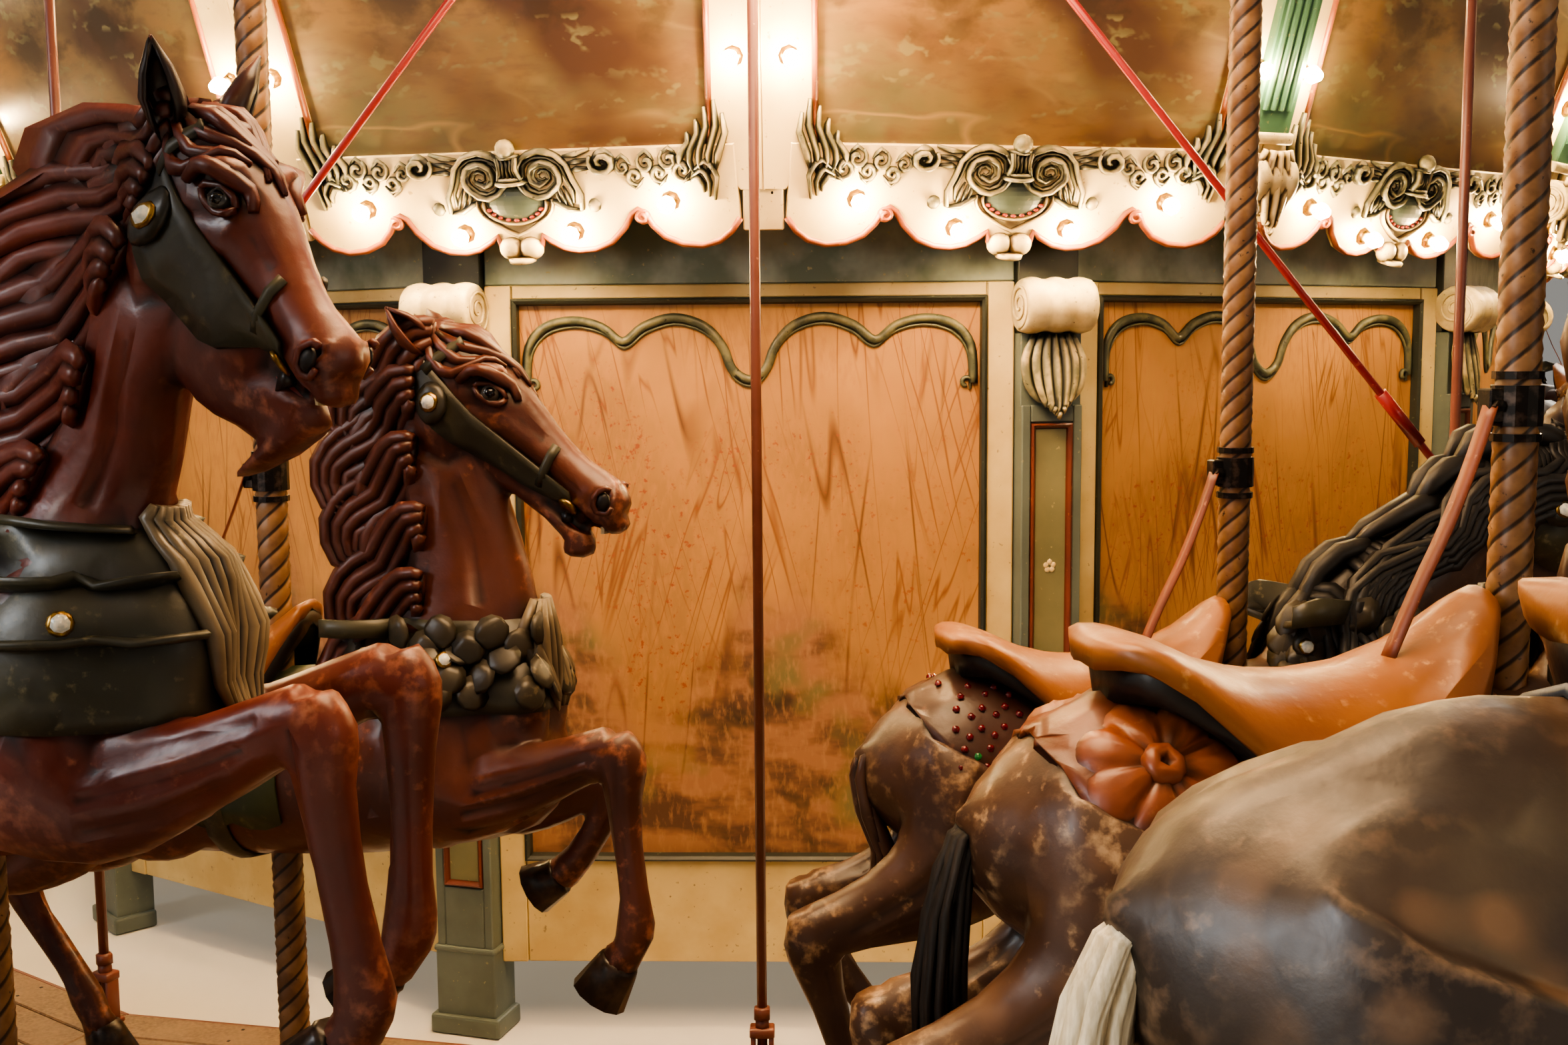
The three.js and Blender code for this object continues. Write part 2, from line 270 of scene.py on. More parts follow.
def rounded(bm, edges, offset, segments=1):
    """Rounds the given edges."""
    return bmesh.ops.bevel(
        bm, geom=edges, offset=offset, offset_type="OFFSET", segments=segments,
        profile=0.5, affect="EDGES", material=-1,
    )


def band(bm, rows, sides, turn):
    """A closed many-sided hoop round the axis, through rows of (distance to a side, height)."""
    loops = []
    for reach, height in rows:
        ring = bmesh.ops.create_circle(
            bm, cap_ends=False, segments=sides, radius=reach / math.cos(math.pi / sides),
            matrix=Matrix.Translation((0, 0, height)) @ Matrix.Rotation(turn, 4, "Z"),
        )["verts"]
        loops.append(list({e for v in ring for e in v.link_edges}))
    bridged(bm, loops, closed=True)


def smooth_path(points, steps):
    """Catmull-Rom points through rows of numbers, steps to a span."""
    rows = [points[0]] + list(points) + [points[-1]]
    found = []
    for i in range(1, len(rows) - 2):
        p0, p1, p2, p3 = rows[i - 1 : i + 3]
        for s in range(steps):
            t = s / steps
            found.append(
                tuple(
                    0.5
                    * (
                        2 * b
                        + (c - a) * t
                        + (2 * a - 5 * b + 4 * c - d) * t * t
                        + (3 * b - a - 3 * c + d) * t**3
                    )
                    for a, b, c, d in zip(p0, p1, p2, p3)
                )
            )
    found.append(tuple(points[-1]))
    return found


def tube(bm, points, up, sides, steps):
    """A body along a path; each point is (x, y, z, half width, half height)."""
    path = smooth_path(points, steps)
    frames = []
    for i, row in enumerate(path):
        before = Vector(path[max(i - 1, 0)][:3])
        after = Vector(path[min(i + 1, len(path) - 1)][:3])
        along = after - before
        frames.append(ring_frame(row[:3], along, up, max(row[3], 1e-4), max(row[4], 1e-4)))
    return loft(bm, frames, sides)


def box(bm, low, high, bevel, segments=1, matrix=None):
    """A block between two corners, with its edges rounded if asked."""
    low, high = Vector(low), Vector(high)
    made = bmesh.ops.create_cube(bm, size=1.0)["verts"]
    bmesh.ops.scale(bm, vec=high - low, verts=made)
    bmesh.ops.translate(bm, vec=(low + high) / 2, verts=made)
    if bevel > 0:
        edges = list({e for v in made for e in v.link_edges})
        out = rounded(bm, edges, bevel, segments)
        made = list({v for f in out["faces"] for v in f.verts} | {v for v in made if v.is_valid})
    if matrix is not None:
        bmesh.ops.transform(bm, matrix=matrix, verts=made)
    return made


def ball(bm, centre, radius, across, rows, squash=(1, 1, 1)):
    """A ball, or an egg shape where it is squashed along the axes."""
    matrix = Matrix.Translation(centre) @ Matrix.Diagonal((*squash, 1))
    return bmesh.ops.create_uvsphere(
        bm, u_segments=across, v_segments=rows, radius=radius, matrix=matrix
    )["verts"]


def facing(spot, way):
    """Stands what was made up the Z axis at a spot, pointing the given way."""
    turn = Vector((0, 0, 1)).rotation_difference(Vector(way)).to_matrix().to_4x4()
    return Matrix.Translation(spot) @ turn


def lathe(bm, profile, centre, axis=(0, 0, 1), steps=6):
    """A turned piece: profile rows are (radius, height) and the ends are on the axis."""
    verts = [bm.verts.new((r, 0, z)) for r, z in profile]
    edges = [bm.edges.new(pair) for pair in zip(verts, verts[1:])]
    out = bmesh.ops.spin(
        bm, geom=verts + edges, cent=(0, 0, 0), axis=(0, 0, 1), angle=2 * math.pi,
        steps=steps, use_merge=True, use_duplicate=False,
    )
    last = {g for g in out["geom_last"] if isinstance(g, bmesh.types.BMVert)}
    made = list({v for e in edges for v in e.verts} | last)
    seen = set(made)
    stack = list(made)
    while stack:
        for e in stack.pop().link_edges:
            for v in e.verts:
                if v not in seen:
                    seen.add(v)
                    stack.append(v)
    made = list(seen)
    bmesh.ops.remove_doubles(bm, verts=made, dist=1e-6)
    made = [v for v in made if v.is_valid]
    bmesh.ops.transform(bm, matrix=facing(centre, axis), verts=made)
    return made


def mesh_of(bm, name, material, smooth=True):
    """Closes a bmesh into a mesh with outward faces."""
    bmesh.ops.recalc_face_normals(bm, faces=bm.faces[:])
    mesh = bpy.data.meshes.new(name)
    bm.to_mesh(mesh)
    bm.free()
    for polygon in mesh.polygons:
        polygon.use_smooth = smooth
    mesh.materials.append(material)
    return mesh


# How strongly the bend of a surface counts as hollow, and how often that is evened out.
CAVITY_GAIN = 0.9
CAVITY_ROUNDS = 2


def store(mesh, name, values):
    """Stores one number for each point of a mesh."""
    mesh.attributes.new(name, "FLOAT", "POINT").data.foreach_set("value", values)
    return mesh


def mark_cavities(mesh):
    """Stores how hollow each point is: half on a flat, more in a groove and less on a ridge."""
    bm = bmesh.new()
    bm.from_mesh(mesh)
    bm.verts.ensure_lookup_table()
    bm.normal_update()
    values = []
    for v in bm.verts:
        if not v.link_edges:
            values.append(0.5)
            continue
        total = 0.0
        for e in v.link_edges:
            way = e.other_vert(v).co - v.co
            length = max(way.length, 1e-6)
            total += way.dot(v.normal) / length
        values.append(0.5 + CAVITY_GAIN * total / len(v.link_edges))
    for _ in range(CAVITY_ROUNDS):
        values = [
            0.5 * values[v.index]
            + 0.5 * sum(values[e.other_vert(v).index] for e in v.link_edges) / max(len(v.link_edges), 1)
            for v in bm.verts
        ]
    bm.free()
    return store(mesh, "cavity", [min(max(value, 0.0), 1.0) for value in values])


# Rings of rays about the outward direction: (degrees from it, how many).
RAY_RINGS = ((38, 4), (68, 6))


# The paints of carvings and horses darken with this value, as painted shade.
def mark_shut(mesh, reach):
    """Stores how shut in each point is, by the share of rays about its outward direction that are stopped."""
    tree = BVHTree.FromPolygons([v.co for v in mesh.vertices], [p.vertices for p in mesh.polygons])
    ways = [Vector((0, 0, 1))]
    for tilt, count in RAY_RINGS:
        for i in range(count):
            turn, lean = 2 * math.pi * i / count, math.radians(tilt)
            across = math.sin(lean)
            ways.append(Vector((across * math.cos(turn), across * math.sin(turn), math.cos(lean))))
    upright = Vector((0, 0, 1))
    values = []
    for v in mesh.vertices:
        turn = upright.rotation_difference(v.normal)
        start = v.co + v.normal * 0.0012
        stopped = 0.0
        for way in ways:
            far = tree.ray_cast(start, turn @ way, reach)[3]
            if far is not None:
                stopped += 1.0 - 0.5 * far / reach
        values.append(stopped / len(ways))
    return store(mesh, "shut", values)


def piece(mesh, name, body, replaces=()):
    """Puts a finished mesh into the scene as a piece that rides on a body."""
    obj = bpy.data.objects.new(name, mesh)
    bpy.context.scene.collection.objects.link(obj)
    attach(obj, body)
    if replaces:
        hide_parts(*replaces)
    return obj


def joined(parts, name):
    """One mesh from several (mesh, matrix) pairs, with their materials and attributes."""
    objects = []
    for mesh, matrix in parts:
        copy = mesh.copy()
        copy.transform(matrix)
        if matrix.determinant() < 0:
            copy.flip_normals()
        obj = bpy.data.objects.new("part", copy)
        bpy.context.scene.collection.objects.link(obj)
        objects.append(obj)
    with bpy.context.temp_override(
        active_object=objects[0], selected_objects=objects, selected_editable_objects=objects
    ):
        bpy.ops.object.join()
    mesh = objects[0].data
    bpy.data.objects.remove(objects[0])
    mesh.name = name
    return mesh


def polar(radius, angle, z):
    """The point at a radius, direction and height."""
    return Vector((radius * math.cos(angle), radius * math.sin(angle), z))


def around(angle):
    """Turns what was made facing the front to face the given direction from the axis."""
    return Matrix.Rotation(angle - FRONT, 4, "Z")


def build_groups(name, count, suffix, bay, cover=None):
    """The turning bays as count pieces; cover gives the mesh over the joint before each bay."""
    per = BAYS // count
    for group in range(count):
        first = group * per - per // 2
        placed = []
        for k in range(first, first + per):
            placed.append((bay, around(FRONT + (k + 0.5) * BAY_ANGLE)))
            if cover:
                placed.append((cover(k), around(FRONT + k * BAY_ANGLE)))
        node = f"{name}_{group + 1}"
        piece(joined(placed, node + suffix), node + suffix, TURNING, [node])


# What a user can change, kept with the scene.


def paint(name, text, colour):
    """A colour setting, given by its sRGB hex value."""
    return FloatVectorProperty(
        name=name, description=text, subtype="COLOR", size=3, min=0.0, max=1.0, default=linear(colour)
    )


def measure(name, text, metres):
    """A length setting."""
    return FloatProperty(name=name, description=text, unit="LENGTH", min=0.001, precision=4, default=metres)


class CarouselHousingSettings(PropertyGroup):
    """Paint and ornament of the centre housing."""

    frame_paint: paint("Frame paint", "Cream oil paint on the boards round each picture", "#d2bc86")
    header_paint: paint("Header paint", "Grey-green paint on the boards above the pictures", "#a8b0a2")
    post_paint: paint("Post paint", "Dull green paint on the posts", "#606a63")
    moulding_paint: paint("Moulding paint", "Red-brown paint on mouldings and skirtings", "#6a3526")
    picture_paint: paint("Picture ground", "Gold ochre ground of the painted scenery", "#b88850")
    bead_width: measure("Bead width", "Width of the carved bead over each picture", 0.029)
    scroll_radius: measure("Scroll radius", "Radius of the rolled scroll at the head of a post", 0.074)
    scroll_half: measure("Scroll half length", "Half the length of that scroll", 0.098)
    leaf_length: measure("Leaf length", "Length of the carved leaf under the scroll", 0.215)


class CarouselCorniceSettings(PropertyGroup):
    """Paint, carving and lamps of the inner cornice and the rounding boards."""

    # Painted light: a lighter cream that stands for the glow of the lamps on the boards beside them.
    lit_board_paint: paint("Board paint", "Clean cream paint beside the lamps", "#e2cfa0")
    edge_paint: paint("Edge paint", "Red-brown paint on the rolled edges", "#9a5a3c")
    carving_paint: paint("Carving paint", "Grey-green paint on the carved scrolls", "#6f6d54")
    shield_paint: paint("Shield paint", "Grey paint on the domed shields", "#4a564e")
    picture_paint: paint("Picture ground", "Browned ground of the painted scenery", "#836640")
    pilaster_paint: paint("Pilaster paint", "Green paint on the fluted pilasters", "#4c765f")
    bulb_radius: measure("Bulb radius", "Radius of a lamp", 0.022)
    bulb_strength: FloatProperty(name="Bulb strength", description="How brightly the lamps glow", min=0.0,
                                 default=420.0)


class CarouselFrameSettings(PropertyGroup):
    """Timber and rods of the turning frame."""

    timber_stain: paint("Timber stain", "Dark stain on sweeps, hangers and ring beams", "#5b4232")
    rod_paint: paint("Rod paint", "Brown enamel on the hanging rods", "#7a4a3e")
    brace_paint: paint("Brace paint", "Red enamel on the slanting rods", "#86262a")
    rod_radius: measure("Rod radius", "Radius of a hanging rod", 0.011)
    brace_radius: measure("Brace radius", "Radius of a slanting rod", 0.0095)


class CarouselPlatformSettings(PropertyGroup):
    """Boards of the platform."""

    deck_stain: paint("Deck stain", "Worn stain on the deck boards", "#7d6650")
    plank_width: measure("Plank width", "Width of one deck board", 0.110)


class CarouselPoleSettings(PropertyGroup):
    """The horses' poles and the straps on them."""

    pole_paint: paint("Pole paint", "Brown-gold enamel on the twisted poles", "#6f5036")
    strap_colour: paint("Strap leather", "Orange-brown dressing on the straps", "#7c3d22")
    pole_radius: measure("Pole radius", "Radius of a pole", 0.0285)
    twist_pitch: measure("Twist pitch", "Length of pole in which a groove goes round once", 0.145)
    strap_width: measure("Strap width", "Width of a strap", 0.026)


class CarouselHorseSettings(PropertyGroup):
    """Body and tack paints of the five kinds of horse."""

    red_brown: paint("Red-brown", "Body of the red-brown horses", "#48251b")
    mahogany: paint("Mahogany", "Body of the mahogany horses", "#4e2017")
    dark_brown: paint("Dark brown", "Body of the dark brown horses", "#33211a")
    cream_brown: paint("Cream-brown", "Body of the worn cream-brown horses", "#3f2a1e")
    dapple_grey: paint("Dapple grey", "Body of the dapple grey horses", "#2b2018")
    saddle_paint: paint("Saddle paint", "Tan enamel on the saddles", "#7c491f")
    harness_paint: paint("Harness paint", "Olive enamel on the carved straps", "#2c2b20")
    jewel_radius: measure("Jewel radius", "Radius of the glass jewel on a bridle", 0.015)


def settings(name):
    """The settings of one group of pieces."""
    return getattr(bpy.context.scene, "carousel_" + name)


# Materials of the housing, the cornice and the frame.


def make_materials():
    """All finishes by a short name, in the colours of the settings."""
    m = {}
    housing, cornice, woodwork = settings("housing"), settings("cornice"), settings("frame")
    # Oil paint on softwood boards, brushed on and yellowed: warm cream with dull patches and nail specks.
    m["cream"] = aged_paint("cream_oil_paint", housing.frame_paint, "#bca26c", "#8d7a56", gloss=0.5)
    # The same cream, made lighter as painted light for the boards lit by the bulbs beside them, and a little
    # glossier.
    m["cream_bright"] = aged_paint("cream_strip_paint_painted_light", cornice.lit_board_paint, "#d0b988", "#a98f62",
                                   gloss=0.38)
    # Distemper-like grey-green on the top boards, chalky and matt.
    m["grey_green"] = aged_paint("grey_green_paint", housing.header_paint, "#6e7a6a", "#ada47e", gloss=0.6)
    # Post paint: dull olive grey, hand brushed.
    m["post_green"] = aged_paint("post_green_paint", housing.post_paint, "#4f5852", "#868266", gloss=0.5)
    m["field_olive"] = aged_paint("olive_field_paint", "#7f7c5c", "#6c6c50", "#a0966c", gloss=0.5)
    # Dark red-brown moulding paint, slightly glossy from handling.
    m["red_brown"] = aged_paint("red_brown_moulding_paint", housing.moulding_paint, "#52281e", "#8d5a3c",
                                gloss=0.38)
    m["dark_green"] = aged_paint("dark_green_paint", "#2b2f28", "#20251f", "#565a44", gloss=0.45)
    # Carved pine with grey-green paint and a worn cream on the ridges; the dark in the hollows is painted
    # shade.
    m["carved"] = carved_paint("carved_scroll_paint", cornice.carving_paint, "#b8a67c", "#24261e")
    m["carved_cream"] = carved_paint("carved_cream_paint", "#c2ae80", "#dccb9c", "#5a4a32")
    m["bead_green"] = carved_paint("bead_green_paint", "#3f4436", "#6f6c50", "#1a1c17")
    m["shell_red"] = aged_paint("edge_red_paint", cornice.edge_paint, "#82452f", "#c08a5c", gloss=0.4)
    m["medallion"] = aged_paint("medallion_grey_paint", cornice.shield_paint, "#3d4842", "#77735c",
                                gloss=0.4)
    m["dash_red"] = aged_paint("dash_red_paint", "#b0463c", "#96382f", "#c98062", gloss=0.4)
    m["pilaster_green"] = aged_paint("pilaster_green_paint", cornice.pilaster_paint, "#3d6450", "#7f8a64",
                                     gloss=0.45)
    m["timber"] = timber("dark_stained_timber", woodwork.timber_stain, "#3c2b21")
    m["deck"] = timber("worn_deck_boards", settings("platform").deck_stain, "#5b4836")
    m["iron"] = bare_iron("blackened_iron")
    m["rod"] = aged_paint("rod_brown_enamel", woodwork.rod_paint, "#65392f", "#9a6e5c", gloss=0.35)
    m["red_rod"] = aged_paint("red_rod_enamel", woodwork.brace_paint, "#6f1f22", "#a04a44", gloss=0.3)
    m["pole"] = carved_paint("pole_brown_gold_enamel", settings("poles").pole_paint, "#8a6846", "#2c1e14",
                             gloss=0.42)
    # Harness leather with an orange-brown dressing, scuffed along the edges.
    m["strap_leather"] = aged_paint("strap_orange_leather", settings("poles").strap_colour, "#5e2d1a",
                                    "#9a6240", gloss=0.45)
    m["glow"] = glowing_bulb("lit_frosted_bulb")
    m["brass"] = bare_brass("bulb_cap_brass")
    m["scene"] = golden_scene("golden_scenery_paint")
    m["sky_board"] = dusk_scene("dusk_scenery_paint")
    return m


def carved_paint(name, body, ridge, hollow, gloss=0.42):
    """Paint on carving, worn to a cream on the open ridges, with painted shade: it darkens to the body tone
    and then to the hollow tone as a point is more shut in, and in the grooves.
    """
    material, tree, shader = new_material(name)
    cavity = attribute(tree, "cavity")
    fine = noise_at(tree, 12, 4)
    tone = mixed(tree, grey_ramp(tree, noise_at(tree, 55, 4), 0.42, 0.60), ridge, body)
    # Painted shade: from the ridge tone to the body tone, then to the dark hollow tone, as more rays about a
    # point are stopped and in the grooves.
    base = mixed(tree, grey_ramp(tree, attribute(tree, "shut"), 0.06, 0.24), tone, body)
    base = mixed(tree, grey_ramp(tree, attribute(tree, "shut"), 0.16, 0.46), base, hollow)
    base = mixed(tree, grey_ramp(tree, cavity, 0.53, 0.66), base, hollow)
    base = mixed(tree, grey_ramp(tree, fine, 0.66, 0.72), base, hollow)
    surface(tree, shader, base, gloss)
    bump(tree, shader, fine, 0.6, 0.3)
    return material


def timber(name, light, dark):
    """Sawn timber under old stain: fine grain and scuffed patches."""
    material, tree, shader = new_material(name)
    grain = noise_at(tree, 9, 4)
    wide = noise_at(tree, 220, 3)
    base = mixed(tree, grey_ramp(tree, grain, 0.35, 0.7), dark, light)
    base = mixed(tree, grey_ramp(tree, wide, 0.45, 0.75), base, light)
    surface(tree, shader, base, 0.6)
    bump(tree, shader, grain, 1.0, 0.4)
    return material


def bare_iron(name):
    """Forged iron, blackened and slightly oily."""
    material, tree, shader = new_material(name)
    wear = grey_ramp(tree, noise_at(tree, 18, 4), 0.5, 0.7)
    base = mixed(tree, wear, "#1f1d1c", "#4b403a")
    surface(tree, shader, base, 0.42, {"Metallic": 0.8})
    bump(tree, shader, noise_at(tree, 6, 3), 0.4, 0.3)
    return material


def bare_brass(name):
    """Pressed brass, tarnished to brown in patches."""
    material, tree, shader = new_material(name)
    wear = grey_ramp(tree, noise_at(tree, 10, 3), 0.4, 0.7)
    surface(tree, shader, mixed(tree, wear, "#b08d4a", "#6f5630"), 0.35, {"Metallic": 1.0})
    return material


def glowing_bulb(name):
    """Frosted glass lamp, lit: a warm white that is brighter than the paint round it."""
    material, tree, shader = new_material(name)
    glow = {"Emission Color": rgba("#ffd79a"), "Emission Strength": settings("cornice").bulb_strength}
    surface(tree, shader, "#fff1cf", 0.35, glow)
    return material


def contour(tree, value, level, width):
    """Thin wandering lines where a value passes a level."""
    off = add(tree, "ShaderNodeMath", {"operation": "SUBTRACT"}, {1: level}, {0: value})
    size = add(tree, "ShaderNodeMath", {"operation": "ABSOLUTE"}, None, {0: off.outputs[0]})
    return grey_ramp(tree, size.outputs[0], width, 0.0)


def times(tree, first, second):
    """The product of two values."""
    return add(tree, "ShaderNodeMath", {"operation": "MULTIPLY"}, None, {0: first, 1: second}).outputs[0]


# Height of a picture that its stored height, from 0 to 1, stands for.
PICTURE_TALL = 1.538


def drawn(tree, wide, tall, lean=0.0, seed=0.0, detail=3.0):
    """Noise in the plane of a picture, its features wide by tall in metres and leaning as they rise."""
    up = add(tree, "ShaderNodeMath", {"operation": "MULTIPLY"}, {1: PICTURE_TALL / tall},
             {0: attribute(tree, "tall")})
    slant = add(tree, "ShaderNodeMath", {"operation": "MULTIPLY_ADD"}, {1: lean * PICTURE_TALL},
                {0: attribute(tree, "tall"), 2: attribute(tree, "across")})
    along = add(tree, "ShaderNodeMath", {"operation": "MULTIPLY"}, {1: 1.0 / wide}, {0: slant.outputs[0]})
    which = add(tree, "ShaderNodeMath", {"operation": "MULTIPLY_ADD"}, {1: 9.0, 2: seed},
                {0: add(tree, "ShaderNodeObjectInfo").outputs["Random"]})
    spot = add(tree, "ShaderNodeCombineXYZ", None, None,
               {"X": along.outputs[0], "Y": up.outputs[0], "Z": which.outputs[0]})
    values = {"Scale": 1.0, "Detail": detail, "Roughness": NOISE_ROUGHNESS}
    made = add(tree, "ShaderNodeTexNoise", None, values, {"Vector": spot.outputs["Vector"]})
    return made.outputs["Fac"]


def golden_scene(name):
    """Thin oil paint over gold ochre: bare saplings in haze above brown banks, all from layered noise."""
    material, tree, shader = new_material(name)
    tall = attribute(tree, "tall")
    haze = drawn(tree, 0.50, 0.60, detail=4)
    strokes = noise_at(tree, 14, 4, stretch=(1.0, 1.0, 3.0))
    daubs = drawn(tree, 0.24, 0.10, seed=3.0, detail=5)
    base = mixed(tree, grey_ramp(tree, haze, 0.35, 0.62), settings("housing").picture_paint, "#946c40")
    base = mixed(tree, grey_ramp(tree, strokes, 0.45, 0.80), base, "#a87848")
    twigs = (
        (0.045, 0.9, 0.25, 11.0, 0.020), (0.050, 0.8, -0.30, 23.0, 0.020), (0.070, 1.4, 0.05, 37.0, 0.014),
        (0.16, 2.4, -0.08, 41.0, 0.012), (0.20, 2.4, 0.12, 53.0, 0.012),
    )
    for i, (wide, high, lean, seed, line) in enumerate(twigs):
        where = grey_ramp(tree, drawn(tree, 0.30, 0.55, seed=seed + 5.0, detail=1), 0.46, 0.60)
        mark = times(tree, contour(tree, drawn(tree, wide, high, lean, seed, 1.0), 0.50, line), where)
        top = grey_ramp(tree, tall, 1.0, 0.80) if i > 2 else grey_ramp(tree, tall, 0.22, 0.48)
        base = mixed(tree, times(tree, mark, top), base, "#5f3a20" if i > 2 else "#7a4c28")
    leaves = times(tree, grey_ramp(tree, noise_at(tree, 15, 3), 0.60, 0.68),
                   grey_ramp(tree, haze, 0.50, 0.62))
    base = mixed(tree, leaves, base, "#8a4826")
    land = mixed(tree, grey_ramp(tree, daubs, 0.38, 0.56), "#573c2c", "#94694a")
    land = mixed(tree, grey_ramp(tree, drawn(tree, 0.20, 0.24, 0.4, 61.0, 4.0), 0.55, 0.66), land, "#3a2c1b")
    land = mixed(tree, grey_ramp(tree, drawn(tree, 0.34, 0.30, -0.3, 67.0), 0.54, 0.66), land, "#6d6440")
    land = mixed(tree, grey_ramp(tree, strokes, 0.50, 0.85), land, "#a67c58")
    edge = add(tree, "ShaderNodeMath", {"operation": "MULTIPLY_ADD"}, {1: 1.3, 2: -0.65},
               {0: drawn(tree, 0.46, 0.9, 0.2, 71.0, 3.0)})
    line = add(tree, "ShaderNodeMath", {"operation": "ADD"}, None, {0: tall, 1: edge.outputs[0]})
    base = mixed(tree, grey_ramp(tree, line.outputs[0], 0.27, 0.42), land, base)
    surface(tree, shader, base, 0.5)
    bump(tree, shader, strokes, 0.9, 0.5)
    return material


def dusk_scene(name):
    """Oil paint on the cornice boards, browned by varnish: fields and low trees from layered noise."""
    material, tree, shader = new_material(name)
    tall = attribute(tree, "tall")
    haze = drawn(tree, 0.55, 0.60, detail=4)
    strokes = noise_at(tree, 22, 4, stretch=(3.0, 3.0, 1.0))
    base = mixed(tree, grey_ramp(tree, haze, 0.38, 0.62), settings("cornice").picture_paint, "#5f5b42")
    base = mixed(tree, grey_ramp(tree, strokes, 0.5, 0.85), base, "#66503c")
    track = contour(tree, drawn(tree, 0.45, 0.24, 0.6, 7.0, 2.0), 0.50, 0.030)
    base = mixed(tree, times(tree, track, grey_ramp(tree, haze, 0.40, 0.55)), base, "#8a754f")
    warm = grey_ramp(tree, drawn(tree, 0.60, 0.70, 0.3, 13.0), 0.52, 0.66)
    base = mixed(tree, warm, base, "#50392b")
    wood = times(tree, grey_ramp(tree, drawn(tree, 0.22, 0.26, 0.0, 19.0, 5.0), 0.52, 0.60),
                 grey_ramp(tree, tall, 0.05, 0.5))
    base = mixed(tree, wood, base, "#33281d")
    stones = times(tree, grey_ramp(tree, drawn(tree, 0.05, 0.05, 0.0, 29.0, 2.0), 0.54, 0.62),
                   contour(tree, drawn(tree, 0.9, 0.20, 0.0, 31.0, 1.0), 0.5, 0.06))
    base = mixed(tree, stones, base, "#77704f")
    surface(tree, shader, base, 0.38, {"Coat Weight": 0.15})
    bump(tree, shader, strokes, 0.8, 0.4)
    return material


# Pieces shared by the housing and the cornice.


def store_heights(mesh, low, high):
    """Stores each point's height on its picture, from 0 at the foot to 1 at the top, and its place across."""
    store(mesh, "tall", [(v.co.z - low) / (high - low) for v in mesh.vertices])
    return store(mesh, "across", [v.co.x for v in mesh.vertices])


def ridge(bm, points, width, height, sides, steps, plane_y, taper=0.35):
    """A raised carved line on a board that faces -Y; points are (x, z) and it swells in the middle."""
    count = len(points)
    rows = []
    for i, (x, z) in enumerate(points):
        t = i / (count - 1)
        swell = taper + (1 - taper) * math.sin(math.pi * min(max(t, 0.02), 0.98)) ** 0.6
        rows.append((x, plane_y, z, width * swell / 2, height * swell))
    return tube(bm, rows, up=(0, -1, 0), sides=sides, steps=steps)


def spiral_points(centre, start, turns, first, last, count):
    """Points (x, z) of a spiral about a centre, from the outer radius to the inner one."""
    found = []
    for i in range(count + 1):
        t = i / count
        radius = first + (last - first) * t
        angle = start + turns * 2 * math.pi * t
        found.append((centre[0] + radius * math.cos(angle), centre[1] + radius * math.sin(angle)))
    return found


def moulding(bm, corners, section, plane_y):
    """A mitred moulding round a closed outline of (x, z) corners; section rows are (inward, out)."""
    count = len(corners)
    loops = []
    middle = Vector((sum(c[0] for c in corners) / count, sum(c[1] for c in corners) / count))
    for inward, out in section:
        loop = []
        for i, corner in enumerate(corners):
            here = Vector(corner)
            before = (Vector(corners[i - 1]) - here).normalized()
            after = (Vector(corners[(i + 1) % count]) - here).normalized()
            bisector = (before + after)
            if bisector.length < 1e-6:
                bisector = Vector((-before.y, before.x))
            bisector.normalize()
            if bisector.dot(middle - here) < 0:
                bisector = -bisector
            sine = abs(before.x * bisector.y - before.y * bisector.x)
            at = here + bisector * (inward / max(sine, 0.2))
            loop.append(bm.verts.new((at.x, plane_y - out, at.y)))
        edges = [bm.edges.new((loop[i], loop[(i + 1) % count])) for i in range(count)]
        loops.append(edges)
    bridged(bm, loops, closed=True)


def rectangle(x0, z0, x1, z1):
    """The corners of an upright rectangle."""
    return [(x0, z0), (x1, z0), (x1, z1), (x0, z1)]


# The centre housing.

PANEL_FACE = -2.96
PANEL_HALF = 0.703
PICTURE = (-0.632, 0.492, 0.632, 2.03)
HOUSING_FOOT = 0.2
HOUSING_TOP = 2.4
POST_FACE = -3.1
POST_HALF = 0.085
# The bead along the top of a picture: (x, z) of its left half, from the side to the middle.
BEAD_HALF = mm((
    (-597, 1800), (-590, 1900), (-545, 1955), (-470, 1972), (-395, 1955), (-337, 1915),
    (-280, 1955), (-200, 1978), (-120, 1955), (-70, 1900), (-45, 1840), (0, 1812),
))


def board(bm, x0, x1, z0, z1, face, thick, bevel=0.003):
    """A flat board that faces -Y with its front at the given distance."""
    return box(bm, (x0, face, z0), (x1, face + thick, z1), bevel)


